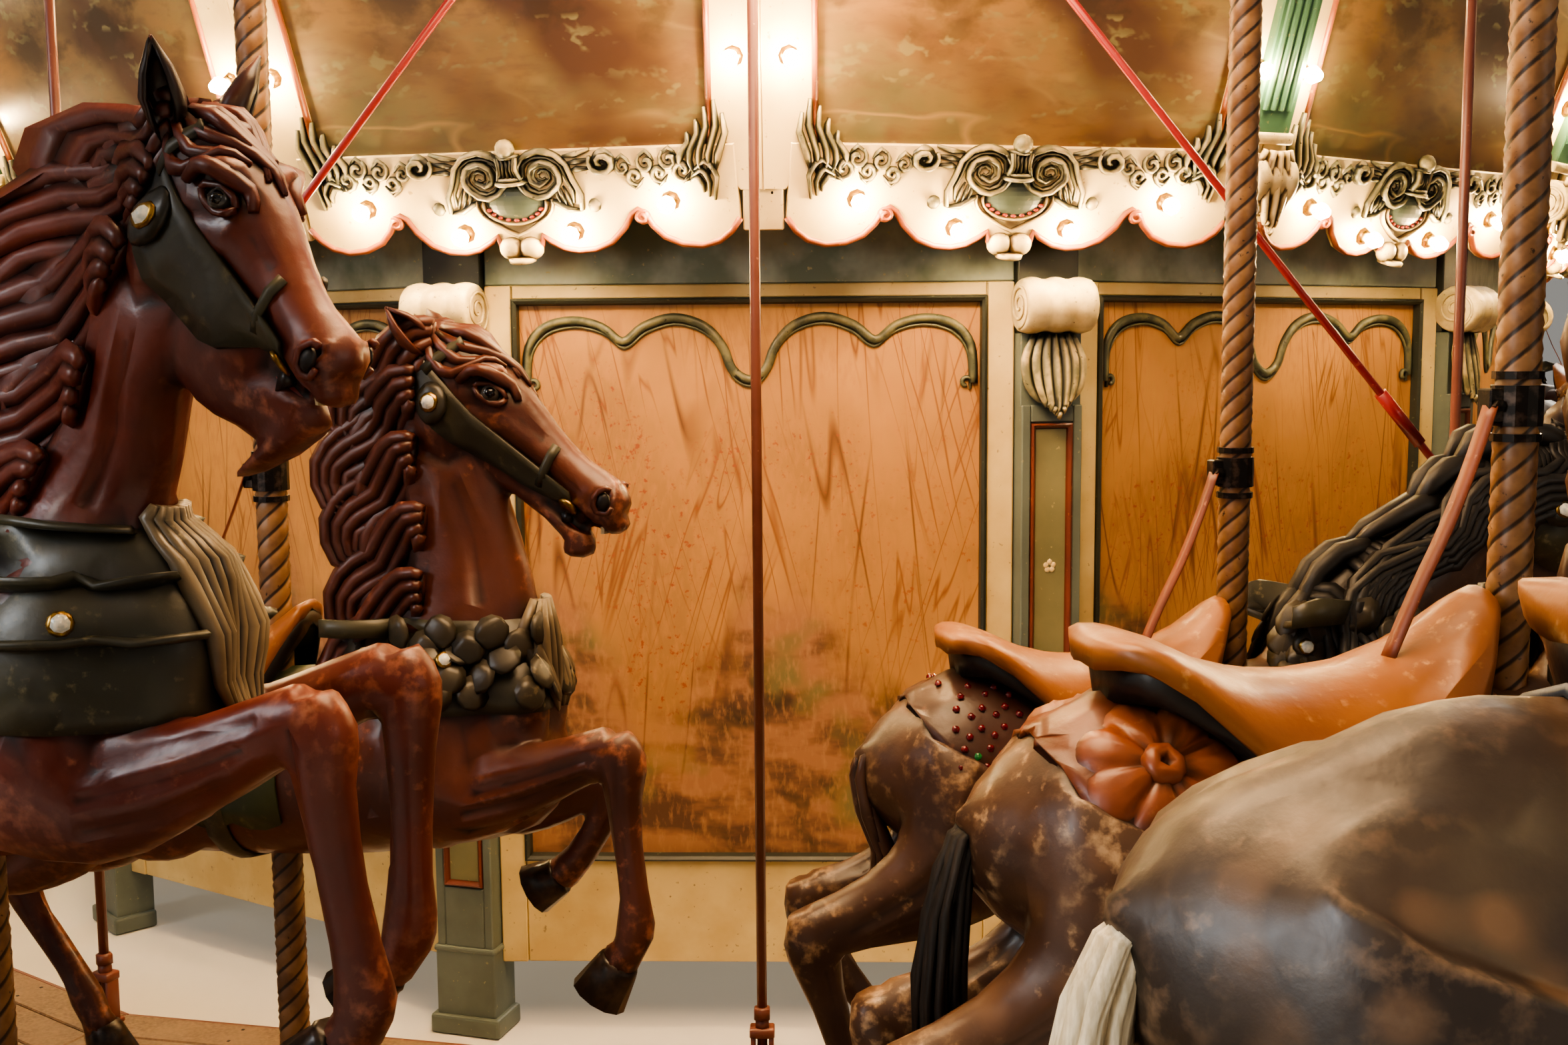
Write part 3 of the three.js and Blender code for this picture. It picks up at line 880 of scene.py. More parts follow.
def panel_parts(m):
    """One side of the housing as (mesh, matrix) pairs, made at the front."""
    at = Matrix.Identity(4)
    parts = []
    x0, z0, x1, z1 = PICTURE
    bm = bmesh.new()
    for side in (-1, 1):
        low, high = sorted((side * x1, side * PANEL_HALF))
        board(bm, low, high, HOUSING_FOOT, z1 + 0.035, PANEL_FACE - 0.010, 0.035)
    board(bm, x0 + 0.001, x1 - 0.001, HOUSING_FOOT, z0, PANEL_FACE - 0.006, 0.03)
    board(bm, x0 + 0.001, x1 - 0.001, z1, z1 + 0.035, PANEL_FACE - 0.006, 0.03)
    board(bm, -PANEL_HALF, PANEL_HALF, HOUSING_FOOT, HOUSING_TOP, PANEL_FACE + 0.022, 0.018)
    parts.append((mesh_of(bm, "panel_boards", m["cream"], smooth=False), at))
    bm = bmesh.new()
    board(bm, -PANEL_HALF, PANEL_HALF, z1 + 0.037, HOUSING_TOP, PANEL_FACE - 0.003, 0.025)
    parts.append((mesh_of(bm, "panel_top_board", m["grey_green"], smooth=False), at))
    bm = bmesh.new()
    board(bm, x0, x1, z0, z1, PANEL_FACE + 0.008, 0.014, bevel=0.0)
    picture = mesh_of(bm, "panel_picture", m["scene"], smooth=False)
    parts.append((store_heights(picture, z0, z1), at))
    bm = bmesh.new()
    section = ((0.0, -0.006), (0.0, 0.018), (0.006, 0.022), (0.014, 0.016), (0.018, -0.006))
    moulding(bm, rectangle(x0, z0, x1, z1), section, PANEL_FACE)
    parts.append((mesh_of(bm, "panel_moulding", m["dark_green"], smooth=False), at))
    bm = bmesh.new()
    whole = list(BEAD_HALF) + [(-x, z) for x, z in reversed(BEAD_HALF[:-1])]
    for offset, width, high in ((0.0, settings("housing").bead_width, 0.014), (0.017, 0.010, 0.008)):
        shifted = [(x * (1 - offset * 0.8), z - offset) for x, z in whole]
        ridge(bm, shifted, width, high, sides=6, steps=4, taper=0.9, plane_y=PANEL_FACE + 0.006)
    for side in (-1, 1):
        tip = spiral_points((side * 0.578, 1.80), math.pi / 2 * (1 - side), side * 0.8, 0.018, 0.006, 6)
        ridge(bm, tip, 0.014, 0.010, sides=6, steps=2, taper=0.8, plane_y=PANEL_FACE + 0.006)
    bead = mark_cavities(mesh_of(bm, "panel_bead", m["bead_green"]))
    parts.append((bead, at))
    return parts


def drum(bm, centre, radius, half):
    """A rolled scroll lying along X, with three rounded rolls and a spiral on each end."""
    rows = [(0.0, -half), (radius * 0.86, -half)]
    per = 2 * half / 3
    for roll in range(3):
        start = -half + roll * per
        for t in (0.08, 0.3, 0.5, 0.7, 0.92):
            rise = math.sin(math.pi * t) ** 0.5
            rows.append((radius * (0.86 + 0.14 * rise), start + per * t))
    rows += [(radius * 0.86, half), (0.0, half)]
    lathe(bm, rows, centre, axis=(1, 0, 0), steps=20)
    for side in (-1, 1):
        path = []
        for x, z in spiral_points((0, 0), -math.pi / 2, -2.1 * side, radius * 0.80, radius * 0.12, 22):
            path.append((centre[0] + side * half, centre[1] - side * x * side, centre[2] + z, 0.0045, 0.006))
        tube(bm, path, up=(side, 0, 0), sides=5, steps=2)


def acanthus(bm, top, height, width, out, plane_y, lobes=7):
    """A carved leaf that hangs from a point: ribs that spread, swell and curl in at the tip."""
    for i in range(lobes):
        t = 2 * i / (lobes - 1) - 1
        lift = out * (1 - 0.45 * t * t)
        rows = [
            (top[0] + t * width * across, plane_y - lift * away, top[1] - height * down, width * wide,
             lift * thick)
            for across, away, down, wide, thick in (
                (0.30, 0.35, 0.0, 0.07, 0.30), (0.46, 0.60, 0.30, 0.10, 0.34), (0.42, 0.85, 0.62, 0.09, 0.32),
                (0.24, 1.05, 0.98 - 0.18 * abs(t), 0.06, 0.22),
                (0.22, 1.30, 0.94 - 0.18 * abs(t), 0.03, 0.12),
            )
        ]
        tube(bm, rows, up=(0, -1, 0), sides=6, steps=3)


def post_parts(m):
    """One post of the housing as (mesh, matrix) pairs, made at the front."""
    at = Matrix.Identity(4)
    parts = []
    half, face = POST_HALF, POST_FACE
    sizes = settings("housing")
    bm = bmesh.new()
    box(bm, (-half, face + 0.012, 0.24), (half, face + 0.118, 1.93), 0.002)
    for side in (-1, 1):
        low, high = sorted((side * 0.060, side * half))
        board(bm, low, high, 0.25, 1.74, face, 0.02)
    board(bm, -0.0595, 0.0595, 0.25, 0.42, face, 0.02)
    board(bm, -0.0595, 0.0595, 1.695, 1.74, face, 0.02)
    box(bm, (-half - 0.004, face - 0.004, 0.0), (half + 0.004, face + 0.12, 0.245), 0.004, 2)
    box(bm, (-half - 0.020, face - 0.018, 0.0), (half + 0.020, face + 0.121, 0.055), 0.008, 2)
    box(bm, (-half - 0.009, face - 0.008, 0.235), (half + 0.009, face + 0.12, 0.252), 0.006, 2)
    parts.append((mesh_of(bm, "post_core", m["post_green"], smooth=False), at))
    bm = bmesh.new()
    box(bm, (-half, face + 0.035, 1.93), (half, face + 0.118, HOUSING_TOP), 0.003)
    parts.append((mesh_of(bm, "post_head", m["dark_green"], smooth=False), at))
    bm = bmesh.new()
    moulding(bm, rectangle(-0.058, 0.425, 0.058, 1.692),
             ((0.0, 0.0), (0.0, 0.014), (0.005, 0.017), (0.012, 0.010), (0.015, 0.0)), face + 0.012)
    parts.append((mesh_of(bm, "post_moulding", m["red_brown"], smooth=False), at))
    bm = bmesh.new()
    board(bm, -0.043, 0.043, 0.44, 1.677, face + 0.008, 0.006, bevel=0.0)
    parts.append((mesh_of(bm, "post_field", m["field_olive"], smooth=False), at))
    bm = bmesh.new()
    for i in range(5):
        angle = math.pi / 2 + i * 2 * math.pi / 5
        ball(bm, (0.011 * math.cos(angle), face + 0.0075, 1.31 + 0.011 * math.sin(angle)), 0.008, 8, 6,
             (1, 0.25, 1))
    # The flower takes the lighter cream that is painted light.
    parts.append((mesh_of(bm, "post_flower", m["cream_bright"]), at))
    bm = bmesh.new()
    acanthus(bm, (0.0, 1.925), sizes.leaf_length, 0.165, 0.050, face + 0.012)
    parts.append((mark_cavities(mesh_of(bm, "post_leaf", m["carved"])), at))
    bm = bmesh.new()
    drum(bm, (0.0, face - 0.008, 2.0), sizes.scroll_radius, sizes.scroll_half)
    parts.append((mark_cavities(mesh_of(bm, "post_scroll", m["carved_cream"])), at))
    return parts


def build_housing(m):
    """The twelve sides and posts of the housing, and its carried-over ring and mast."""
    panel = mark_shut(joined(panel_parts(m), "panel_template"), 0.04)
    post = mark_shut(joined(post_parts(m), "post_template"), 0.05)
    for i in range(HOUSING_SIDES):
        middle = HOUSING_FRONT + i * SIDE_ANGLE
        name = f"housing_bay_{i + 1:02d}"
        mesh = joined(
            [(panel, around(middle)), (post, around(middle + SIDE_ANGLE / 2))], name + "_carved"
        )
        piece(mesh, name + "_carved", STANDING, [name])
    bpy.data.meshes.remove(panel)
    bpy.data.meshes.remove(post)
    build_mast_bands(m)
    for name in ("centre_mast", "housing_head_ring"):
        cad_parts[name].data.materials.clear()
        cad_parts[name].data.materials.append(m["timber"])


# Heights of the bands on the mast.
MAST_BANDS = (0.35, 1.2, 2.2, 3.0, 3.8)


def build_mast_bands(m):
    """Iron bands round the mast, and bolts on its foot."""
    bm = bmesh.new()
    for z in MAST_BANDS:
        rows = ((0.150, z - 0.03), (0.156, z - 0.03), (0.158, z), (0.156, z + 0.03), (0.150, z + 0.03))
        band(bm, rows, 8, HOUSING_FRONT - FRONT + math.pi / 8)
    for i in range(8):
        spot = polar(0.40, HOUSING_FRONT + i * math.pi / 4 + math.pi / 8, 0.09)
        lathe(bm, ((0, 0.022), (0.012, 0.020), (0.018, 0.012), (0.020, 0.0), (0.034, 0.0)), spot)
    piece(mesh_of(bm, "mast_iron_bands", m["iron"], smooth=False), "mast_iron_bands", STANDING)


# The inner cornice.

CORNICE_FOOT = (3.2, 2.262)
CORNICE_HEAD = (3.61, 3.4)
CORNICE_RUN = math.dist(CORNICE_FOOT, CORNICE_HEAD)
CORNICE_LEAN = math.atan2(CORNICE_HEAD[0] - CORNICE_FOOT[0], CORNICE_HEAD[1] - CORNICE_FOOT[1])
STRIP_WIDE = 0.13
# The lamps up each joint of the cornice, and (x, height) of those in its skirt.
LAMP_HEIGHTS = (2.58, 2.92, 3.26)
SKIRT_LAMPS = ((0.147, 2.196), (0.405, 2.262))
# Lower edge of the scalloped skirt as (share of half a bay, height), from the middle outwards.
SCALLOP = (
    (0.0, 2.142), (0.05, 2.144), (0.085, 2.158), (0.097, 2.182), (0.125, 2.168), (0.18, 2.150),
    (0.24, 2.143), (0.31, 2.146), (0.38, 2.162), (0.44, 2.196), (0.475, 2.228), (0.50, 2.238),
    (0.53, 2.228), (0.555, 2.200), (0.60, 2.172), (0.67, 2.154), (0.75, 2.149), (0.82, 2.160),
    (0.87, 2.182), (0.907, 2.211),
)


def slope_matrix(foot, lean):
    """Stands a flat face that was made at z = 0 upwards on a leaning face at the front."""
    return Matrix.Translation((0, -foot[0], foot[1])) @ Matrix.Rotation(lean, 4, "X")


def up_slope(z):
    """Distance up the cornice's face for a height."""
    return (z - CORNICE_FOOT[1]) / math.cos(CORNICE_LEAN)


def half_wide(s):
    """Half the width of a cornice bay at a distance up its face."""
    return (CORNICE_FOOT[0] + s * math.sin(CORNICE_LEAN)) * HALF_BAY


def plate(bm, outline, front, back, bevel=0.0):
    """A flat board from an outline of (x, z) points, its face at y = front."""
    verts, _ = raised(bm, [(x, front, z) for x, z in outline], (0, back - front, 0))
    if bevel > 0:
        rim = [e for e in bm.edges if e.is_valid and all(abs(v.co.y - front) < 1e-7 for v in e.verts)]
        rim = [e for e in rim if len(e.link_faces) == 2 and set(e.verts) <= set(verts)]
        rounded(bm, rim, bevel)


def mirrored_outline(half_points):
    """Closes an outline given for x >= 0, from the middle outwards, over the other side."""
    return half_points + [(-x, z) for x, z in reversed(half_points) if x > 1e-6]


def c_scroll(bm, centre, size, side, turns, wide, start, squash=0.86, plane_y=0.0):
    """An ear-shaped scroll that rolls inwards; side is 1 for the right half and -1 for the left."""
    path = []
    for x, z in spiral_points((0, 0), start, turns, size, size * 0.16, 22):
        path.append((centre[0] + side * x, centre[1] + z * squash))
    ridge(bm, path, wide, wide * 0.95, sides=7, steps=2, taper=0.45, plane_y=plane_y)
    ball(bm, (path[-1][0], plane_y, path[-1][1]), size * 0.16, 8, 6, (1, 0.9, 1))


def frond(bm, root, tip, wide, bow, lobes, plane_y=0.0):
    """A carved spray: a bowed stem with leaf lobes that turn out from it, longest in the middle."""
    root, tip = Vector(root), Vector(tip)
    way = tip - root
    across = Vector((-way.y, way.x)).normalized()
    length = way.length
    stem = []
    for i in range(6):
        t = i / 5
        stem.append(tuple(root + way * t + across * (bow * math.sin(math.pi * t))))
    ridge(bm, stem, wide * 0.34, wide * 0.3, sides=6, steps=2, taper=0.3, plane_y=plane_y)
    for i in range(lobes):
        t = (i + 0.5) / lobes
        at = root + way * t + across * (bow * math.sin(math.pi * t))
        reach = wide * (0.55 + 0.45 * math.sin(math.pi * t))
        for turn in (-1, 1):
            out = across * (turn * reach) + way / length * reach * 0.75
            curl = way / length * reach * 0.35
            points = [tuple(at), tuple(at + out * 0.55 + curl * 0.1), tuple(at + out + curl)]
            ridge(bm, points, wide * 0.36, wide * 0.26, sides=5, steps=3, taper=0.25, plane_y=plane_y)


def shield(bm_field, bm_rim, bm_dash, centre, wide, tall):
    """A domed medallion in a cradle that comes to a point, with a row of dashes along its lower edge."""
    cx, cz = centre
    ball(bm_field, (cx, -0.010, cz), 1.0, 20, 12, (wide * 0.47, 0.022, tall * 0.47))
    for grow, width in ((1.0, 0.014), (1.20, 0.012)):
        rows = []
        for i in range(15):
            angle = math.radians(170 + 200 * i / 14)
            point = max(0.0, 1.0 - abs(i - 7) / 2.5) * 0.22 * tall * (grow > 1.1)
            z = cz + math.sin(angle) * tall * 0.5 * grow - point
            rows.append((cx + math.cos(angle) * wide * 0.5 * grow, z))
        ridge(bm_rim, rows, width, 0.016, sides=6, steps=1, taper=0.6, plane_y=-0.014)
    for i in range(9):
        angle = math.radians(200 + 140 * i / 8)
        spot = (cx + math.cos(angle) * wide * 0.44, -0.022, cz + math.sin(angle) * tall * 0.42)
        ball(bm_dash, spot, 0.0085, 6, 4, (1.0, 0.6, 0.62))


def bulb_parts(glow, cap, spot, out):
    """One small lamp: a turned cap on the board and a bulb that points out of it."""
    radius = settings("cornice").bulb_radius
    out = Vector(out).normalized()
    holder = ((0.0, 0.0), (1.15, 0.0), (0.95, 0.012), (0.6, 0.020), (0.0, 0.020))
    glass = ((0.5, 0.018), (0.98, 0.034), (1.0, 0.046), (0.55, 0.064), (0.0, 0.068))
    for bm, section in ((cap, holder), (glow, glass)):
        lathe(bm, [(radius * share, height) for share, height in section], spot, out, steps=8)


def skirt_outline():
    """Right half of the skirt, from the middle of its lower edge round to the middle of its top."""
    foot_half = CORNICE_FOOT[0] * HALF_BAY
    low = [(share * foot_half, up_slope(z)) for share, z in SCALLOP]
    edge = (0.907 * foot_half, 0.02)
    return low + [edge, (edge[0], 0.135), (0.0, 0.135)]


# The ear scroll as one line that rolls in, (outwards, up) from its centre, and the line of its tail.
EAR = mm((
    (88, -88), (92, -52), (74, -12), (60, 28), (28, 54), (-16, 60), (-56, 43), (-71, 4), (-56, -36),
    (-20, -54), (16, -42), (40, -14), (33, 20), (2, 36), (-32, 22), (-38, -8), (-14, -24),
    (10, -12),
))
EAR_TAIL = mm((
    (88, -88), (58, -86), (28, -68), (-2, -58),
))
# Curls of the leaves between the volute and the corner: (outwards, height, size, way it rolls).
LEAF_CURLS = (
    (0.292, 2.344, 0.020, 1), (0.322, 2.322, 0.023, -1), (0.352, 2.352, 0.024, 1), (0.384, 2.328, 0.024, -1),
    (0.412, 2.358, 0.026, 1), (0.444, 2.334, 0.028, -1),
)
# The corner spray: ridges that rise beside the picture, and ridges that curl down below it.
CORNER_RISE = mm((
    (455, 2330, 446, 2374, 462, 2418), (474, 2325, 470, 2382, 488, 2446),
    (492, 2322, 494, 2386, 512, 2474), (510, 2322, 518, 2382, 536, 2488),
    (526, 2330, 540, 2374, 554, 2458),
))
CORNER_DROP = mm((
    (470, 2330, 502, 2352, 528, 2320, 520, 2262), (466, 2318, 492, 2332, 510, 2306, 506, 2270),
    (462, 2306, 480, 2316, 494, 2298, 494, 2280),
))


# Triangles kept in the carving of a cornice bay, of a rounding board and of a corner cover.
CARVING_TRIANGLES, BOARD_TRIANGLES, COVER_TRIANGLES = 6000, 3000, 900


def cornice_carving(bm):
    """The carved ornament of one bay: crown, ears, volutes, leaves and corner sprays."""
    z = up_slope
    ball(bm, (0.0, -0.032, z(2.398)), 0.025, 12, 8)
    for i in range(7):
        x = 0.024 * math.sin(math.radians(-78 + 26 * i))
        rows = [(x * 1.25, -0.030, z(2.326), 0.0056, 0.012), (x * 0.90, -0.036, z(2.350), 0.0052, 0.012),
                (x * 1.10, -0.034, z(2.378), 0.0054, 0.010)]
        tube(bm, rows, up=(0, -1, 0), sides=5, steps=2)
    for height, radius in ((2.318, 0.042), (2.328, 0.036), (2.379, 0.030)):
        lathe(bm, ((0.0, -0.005), (radius, -0.004), (radius * 1.04, 0.0), (radius, 0.004), (0.0, 0.005)),
              (0.0, -0.018, z(height)), (0, 0, 1), steps=12)
    for side in (-1, 1):
        cx, cz = 0.086, z(2.330)
        ball(bm, (side * cx, 0.000, cz), 1.0, 16, 8, (0.062, 0.012, 0.054))
        for grow, width in ((1.0, 0.018), (0.79, 0.012), (0.40, 0.010)):
            ear = [(side * (cx + x * grow), cz + up * grow) for x, up in EAR]
            ridge(bm, ear, width, width, sides=7, steps=2, taper=0.6, plane_y=-0.013)
        ridge(bm, [(side * (cx + x), cz + up) for x, up in EAR_TAIL], 0.018, 0.016, sides=6, steps=2,
              plane_y=-0.012)
        for shift in (0.012, 0.026, 0.040):
            points = [(side * (cx + 0.078 - shift), cz - 0.078 + shift * 0.1),
                      (side * (cx + 0.070 - shift), cz - 0.052),
                      (side * (cx + 0.056 - shift * 0.8), cz - 0.026)]
            ridge(bm, points, 0.011, 0.012, sides=5, steps=2, plane_y=-0.014)
        ball(bm, (side * (cx + 0.122), -0.006, cz - 0.078), 0.019, 10, 8)
        vx, vz = side * 0.243, z(2.358)
        ball(bm, (vx, -0.008, vz), 1.0, 14, 8, (0.034, 0.016, 0.034))
        c_scroll(bm, (vx, vz), 0.037, side, turns=1.35, wide=0.017, start=2.6, plane_y=-0.020)
        for low in (0.0, 0.017, 0.034):
            points = [(side * (0.140 + low * 0.5), z(2.374 - low)), (side * 0.175, z(2.378 - low)),
                      (side * 0.212, z(2.388 - low * 1.3))]
            ridge(bm, points, 0.016, 0.014, sides=6, steps=3, plane_y=-0.012)
        for x, height, size, roll in LEAF_CURLS:
            c_scroll(bm, (side * x, z(height)), size, side * roll, turns=1.15, wide=size * 0.62,
                     start=roll * 2.2, squash=1.0, plane_y=-0.012)
            points = [(side * (x - 0.024), z(height + roll * 0.006)), (side * x, z(height + roll * 0.027)),
                      (side * (x + 0.022), z(height + roll * 0.004))]
            ridge(bm, points, 0.013, 0.014, sides=5, steps=2, plane_y=-0.010)
        for x0, z0, x1, z1, x2, z2 in CORNER_RISE:
            points = [(side * x0, z(z0)), (side * (x1 - 0.006), z((z0 + z1) / 2)), (side * x1, z(z1)),
                      (side * ((x1 + x2) / 2 + 0.012), z((z1 + z2) / 2)), (side * x2, z(z2))]
            ridge(bm, points, 0.021, 0.022, sides=6, steps=2, taper=0.3, plane_y=-0.012)
        for row in CORNER_DROP:
            points = [(side * x, z(height)) for x, height in zip(row[0::2], row[1::2])]
            ridge(bm, points, 0.016, 0.020, sides=6, steps=3, taper=0.35, plane_y=-0.012)


def cornice_parts(m):
    """One bay of the cornice as (mesh, matrix) pairs, made flat and stood up on the slope."""
    at = slope_matrix(CORNICE_FOOT, CORNICE_LEAN)
    parts = []
    top = CORNICE_RUN
    outline = mirrored_outline(skirt_outline())
    bm = bmesh.new()
    plate(bm, outline, -0.012, 0.006, bevel=0.003)
    for side in (-1, 1):
        inner_low, inner_high = half_wide(0.135) - STRIP_WIDE * 1.05, half_wide(top) - STRIP_WIDE
        strip = [
            (side * (half_wide(0.02) - STRIP_WIDE * 0.42), 0.02), (side * (half_wide(0.02) - 0.0005), 0.02),
            (side * (half_wide(top) - 0.0005), top - 0.045), (side * inner_high, top - 0.045),
            (side * inner_low, 0.130),
        ]
        if side < 0:
            strip.reverse()
        plate(bm, strip, -0.009, 0.006, bevel=0.002)
    # The skirt and joint strips take the lighter cream, painted light from the lamps on them.
    parts.append((mesh_of(bm, "cornice_boards", m["cream_bright"], smooth=False), at))
    bm = bmesh.new()
    outline = [(-half_wide(0.12), 0.12), (half_wide(0.12), 0.12), (half_wide(top), top),
               (-half_wide(top), top)]
    plate(bm, outline, 0.002, 0.036)
    parts.append((mesh_of(bm, "cornice_back_boards", m["timber"], smooth=False), at))
    bm = bmesh.new()
    low, high = half_wide(0.125) - STRIP_WIDE, half_wide(top) - STRIP_WIDE
    plate(bm, [(-low, 0.125), (low, 0.125), (high, top - 0.05), (-high, top - 0.05)], -0.001, 0.004)
    field = mesh_of(bm, "cornice_picture", m["sky_board"], smooth=False)
    parts.append((store_heights(field, 0.125, top), at))
    bm = bmesh.new()
    for side in (-1, 1):
        edge = [(side * (low + 0.002), -0.009, 0.14, 0.008, 0.010),
                (side * (high + 0.002), -0.009, top - 0.045, 0.008, 0.010)]
        tube(bm, edge, up=(0, -1, 0), sides=8, steps=1)
    lip = [(x, -0.011, s + 0.006, 0.009, 0.010) for x, s in reversed(skirt_outline()[: len(SCALLOP)])]
    lip = [(-x, y, s, a, b) for x, y, s, a, b in lip[:-1]] + list(reversed(lip))
    tube(bm, lip, up=(0, -1, 0), sides=6, steps=1)
    for side in (-1, 1):
        x, s = side * 0.500 * CORNICE_FOOT[0] * HALF_BAY, up_slope(2.232)
        ball(bm, (x + side * 0.012, -0.012, s - 0.006), 1.0, 12, 8, (0.020, 0.012, 0.020))
        c_scroll(bm, (x + side * 0.012, s - 0.006), 0.020, side, turns=1.2, wide=0.009, start=1.0,
                 plane_y=-0.020)
    parts.append((mesh_of(bm, "cornice_edge_bead", m["shell_red"]), at))
    bm = bmesh.new()
    box(bm, (-half_wide(top), -0.022, top - 0.045), (half_wide(top), 0.036, top - 0.003), 0.006, 2)
    box(bm, (-half_wide(top) + 0.004, -0.012, top - 0.062), (half_wide(top) - 0.004, 0.006, top - 0.045),
        0.003)
    parts.append((mesh_of(bm, "cornice_crown", m["red_brown"], smooth=False), at))
    bm = bmesh.new()
    cornice_carving(bm)
    carving = thinned(mesh_of(bm, "cornice_carving", m["carved"]), CARVING_TRIANGLES)
    parts.append((mark_cavities(carving), at))
    field_bm, rim_bm, dash_bm = bmesh.new(), bmesh.new(), bmesh.new()
    shield(field_bm, rim_bm, dash_bm, (0.0, up_slope(2.266)), 0.168, 0.098)
    for side in (-1, 1):
        ball(rim_bm, (side * 0.026, -0.016, up_slope(2.158)), 1.0, 12, 8, (0.034, 0.024, 0.030))
    knob = ((0.0, 0.004), (0.026, 0.004), (0.036, 0.0), (0.034, -0.010), (0.026, -0.010),
            (0.020, -0.002), (0.0, -0.002))
    lathe(rim_bm, knob, (0.0, -0.020, up_slope(2.136)), steps=12)
    parts.append((mesh_of(field_bm, "cornice_shield", m["medallion"], smooth=False), at))
    parts.append((mark_cavities(mesh_of(rim_bm, "cornice_shield_rim", m["carved_cream"])), at))
    parts.append((mesh_of(dash_bm, "cornice_shield_dashes", m["dash_red"]), at))
    glow, cap = bmesh.new(), bmesh.new()
    for side in (-1, 1):
        for x, z in SKIRT_LAMPS:
            bulb_parts(glow, cap, (side * x, -0.012, up_slope(z)), (0, -1, 0))
        for z in LAMP_HEIGHTS:
            s = up_slope(z)
            bulb_parts(glow, cap, (side * (half_wide(s) - STRIP_WIDE / 2), -0.009, s), (0, -1, 0))
    parts.append((mesh_of(glow, "cornice_bulbs", m["glow"]), at))
    parts.append((mesh_of(cap, "cornice_bulb_caps", m["brass"]), at))
    return parts


def joint_lean():
    """Lean of the edge between two cornice bays, seen along the joint."""
    reach = 1 / math.cos(BAY_ANGLE / 2)
    run = (CORNICE_HEAD[0] - CORNICE_FOOT[0]) * reach
    return CORNICE_FOOT[0] * reach, math.atan2(run, CORNICE_HEAD[1] - CORNICE_FOOT[1])


def pilaster_parts(m):
    """The fluted pilaster over a joint of the cornice, with its rolled foot."""
    reach, lean = joint_lean()
    at = slope_matrix((reach, CORNICE_FOOT[1]), lean)
    top = (CORNICE_HEAD[1] - CORNICE_FOOT[1]) / math.cos(lean)
    parts = []
    bm = bmesh.new()
    box(bm, (-0.058, -0.026, 0.17), (0.058, 0.010, top - 0.050), 0.004)
    for x in (-0.036, -0.012, 0.012, 0.036):
        rows = [(x, -0.026, 0.24, 0.008, 0.007), (x, -0.026, top - 0.12, 0.009, 0.007)]
        tube(bm, rows, up=(0, -1, 0), sides=8, steps=1)
    box(bm, (-0.068, -0.036, top - 0.075), (0.068, 0.012, top - 0.048), 0.006, 2)
    parts.append((mesh_of(bm, "pilaster_shaft", m["pilaster_green"], smooth=False), at))
    bm = bmesh.new()
    box(bm, (-0.070, -0.034, 0.155), (0.070, 0.012, 0.185), 0.006, 2)
    drum(bm, (0.0, -0.045, 0.070), 0.066, 0.062)
    acanthus(bm, (0.0, 0.150), 0.20, 0.12, 0.050, -0.060, lobes=5)
    parts.append((mark_cavities(mesh_of(bm, "pilaster_scroll", m["carved_cream"])), at))
    return parts


def joint_strip_parts(m):
    """The plain strip under a joint that has lost its pilaster, with old nail holes left in it."""
    reach, lean = joint_lean()
    at = slope_matrix((reach, CORNICE_FOOT[1]), lean)
    bm = bmesh.new()
    box(bm, (-0.050, 0.000, -0.085), (0.050, 0.020, 0.055), 0.004)
    # The strip takes the lighter cream, painted light.
    parts = [(mesh_of(bm, "joint_strip", m["cream_bright"], smooth=False), at)]
    bm = bmesh.new()
    for x, s in ((-0.02, -0.04), (0.022, 0.01), (-0.012, 0.035)):
        ball(bm, (x, 0.0, s), 0.004, 6, 4, (1, 0.4, 1))
    parts.append((mesh_of(bm, "joint_strip_nails", m["iron"]), at))
    return parts


def build_cornice(m):
    """The whole turning cornice, in two halves of eight bays."""
    bay = mark_shut(joined(cornice_parts(m), "cornice_bay_template"), 0.05)
    pilaster = mark_shut(joined(pilaster_parts(m), "pilaster_template"), 0.05)
    strip = joined(joint_strip_parts(m), "joint_strip_template")

    def cover(k):
        return strip if k % BAYS in BARE_JOINTS else pilaster

    build_groups("inner_cornice", 2, "_carved", bay, cover)


# The rounding boards.

BOARD_FOOT = (6.466, 2.965)
BOARD_HEAD = (6.535, 3.755)
BOARD_LEAN = math.atan2(BOARD_HEAD[0] - BOARD_FOOT[0], BOARD_HEAD[1] - BOARD_FOOT[1])


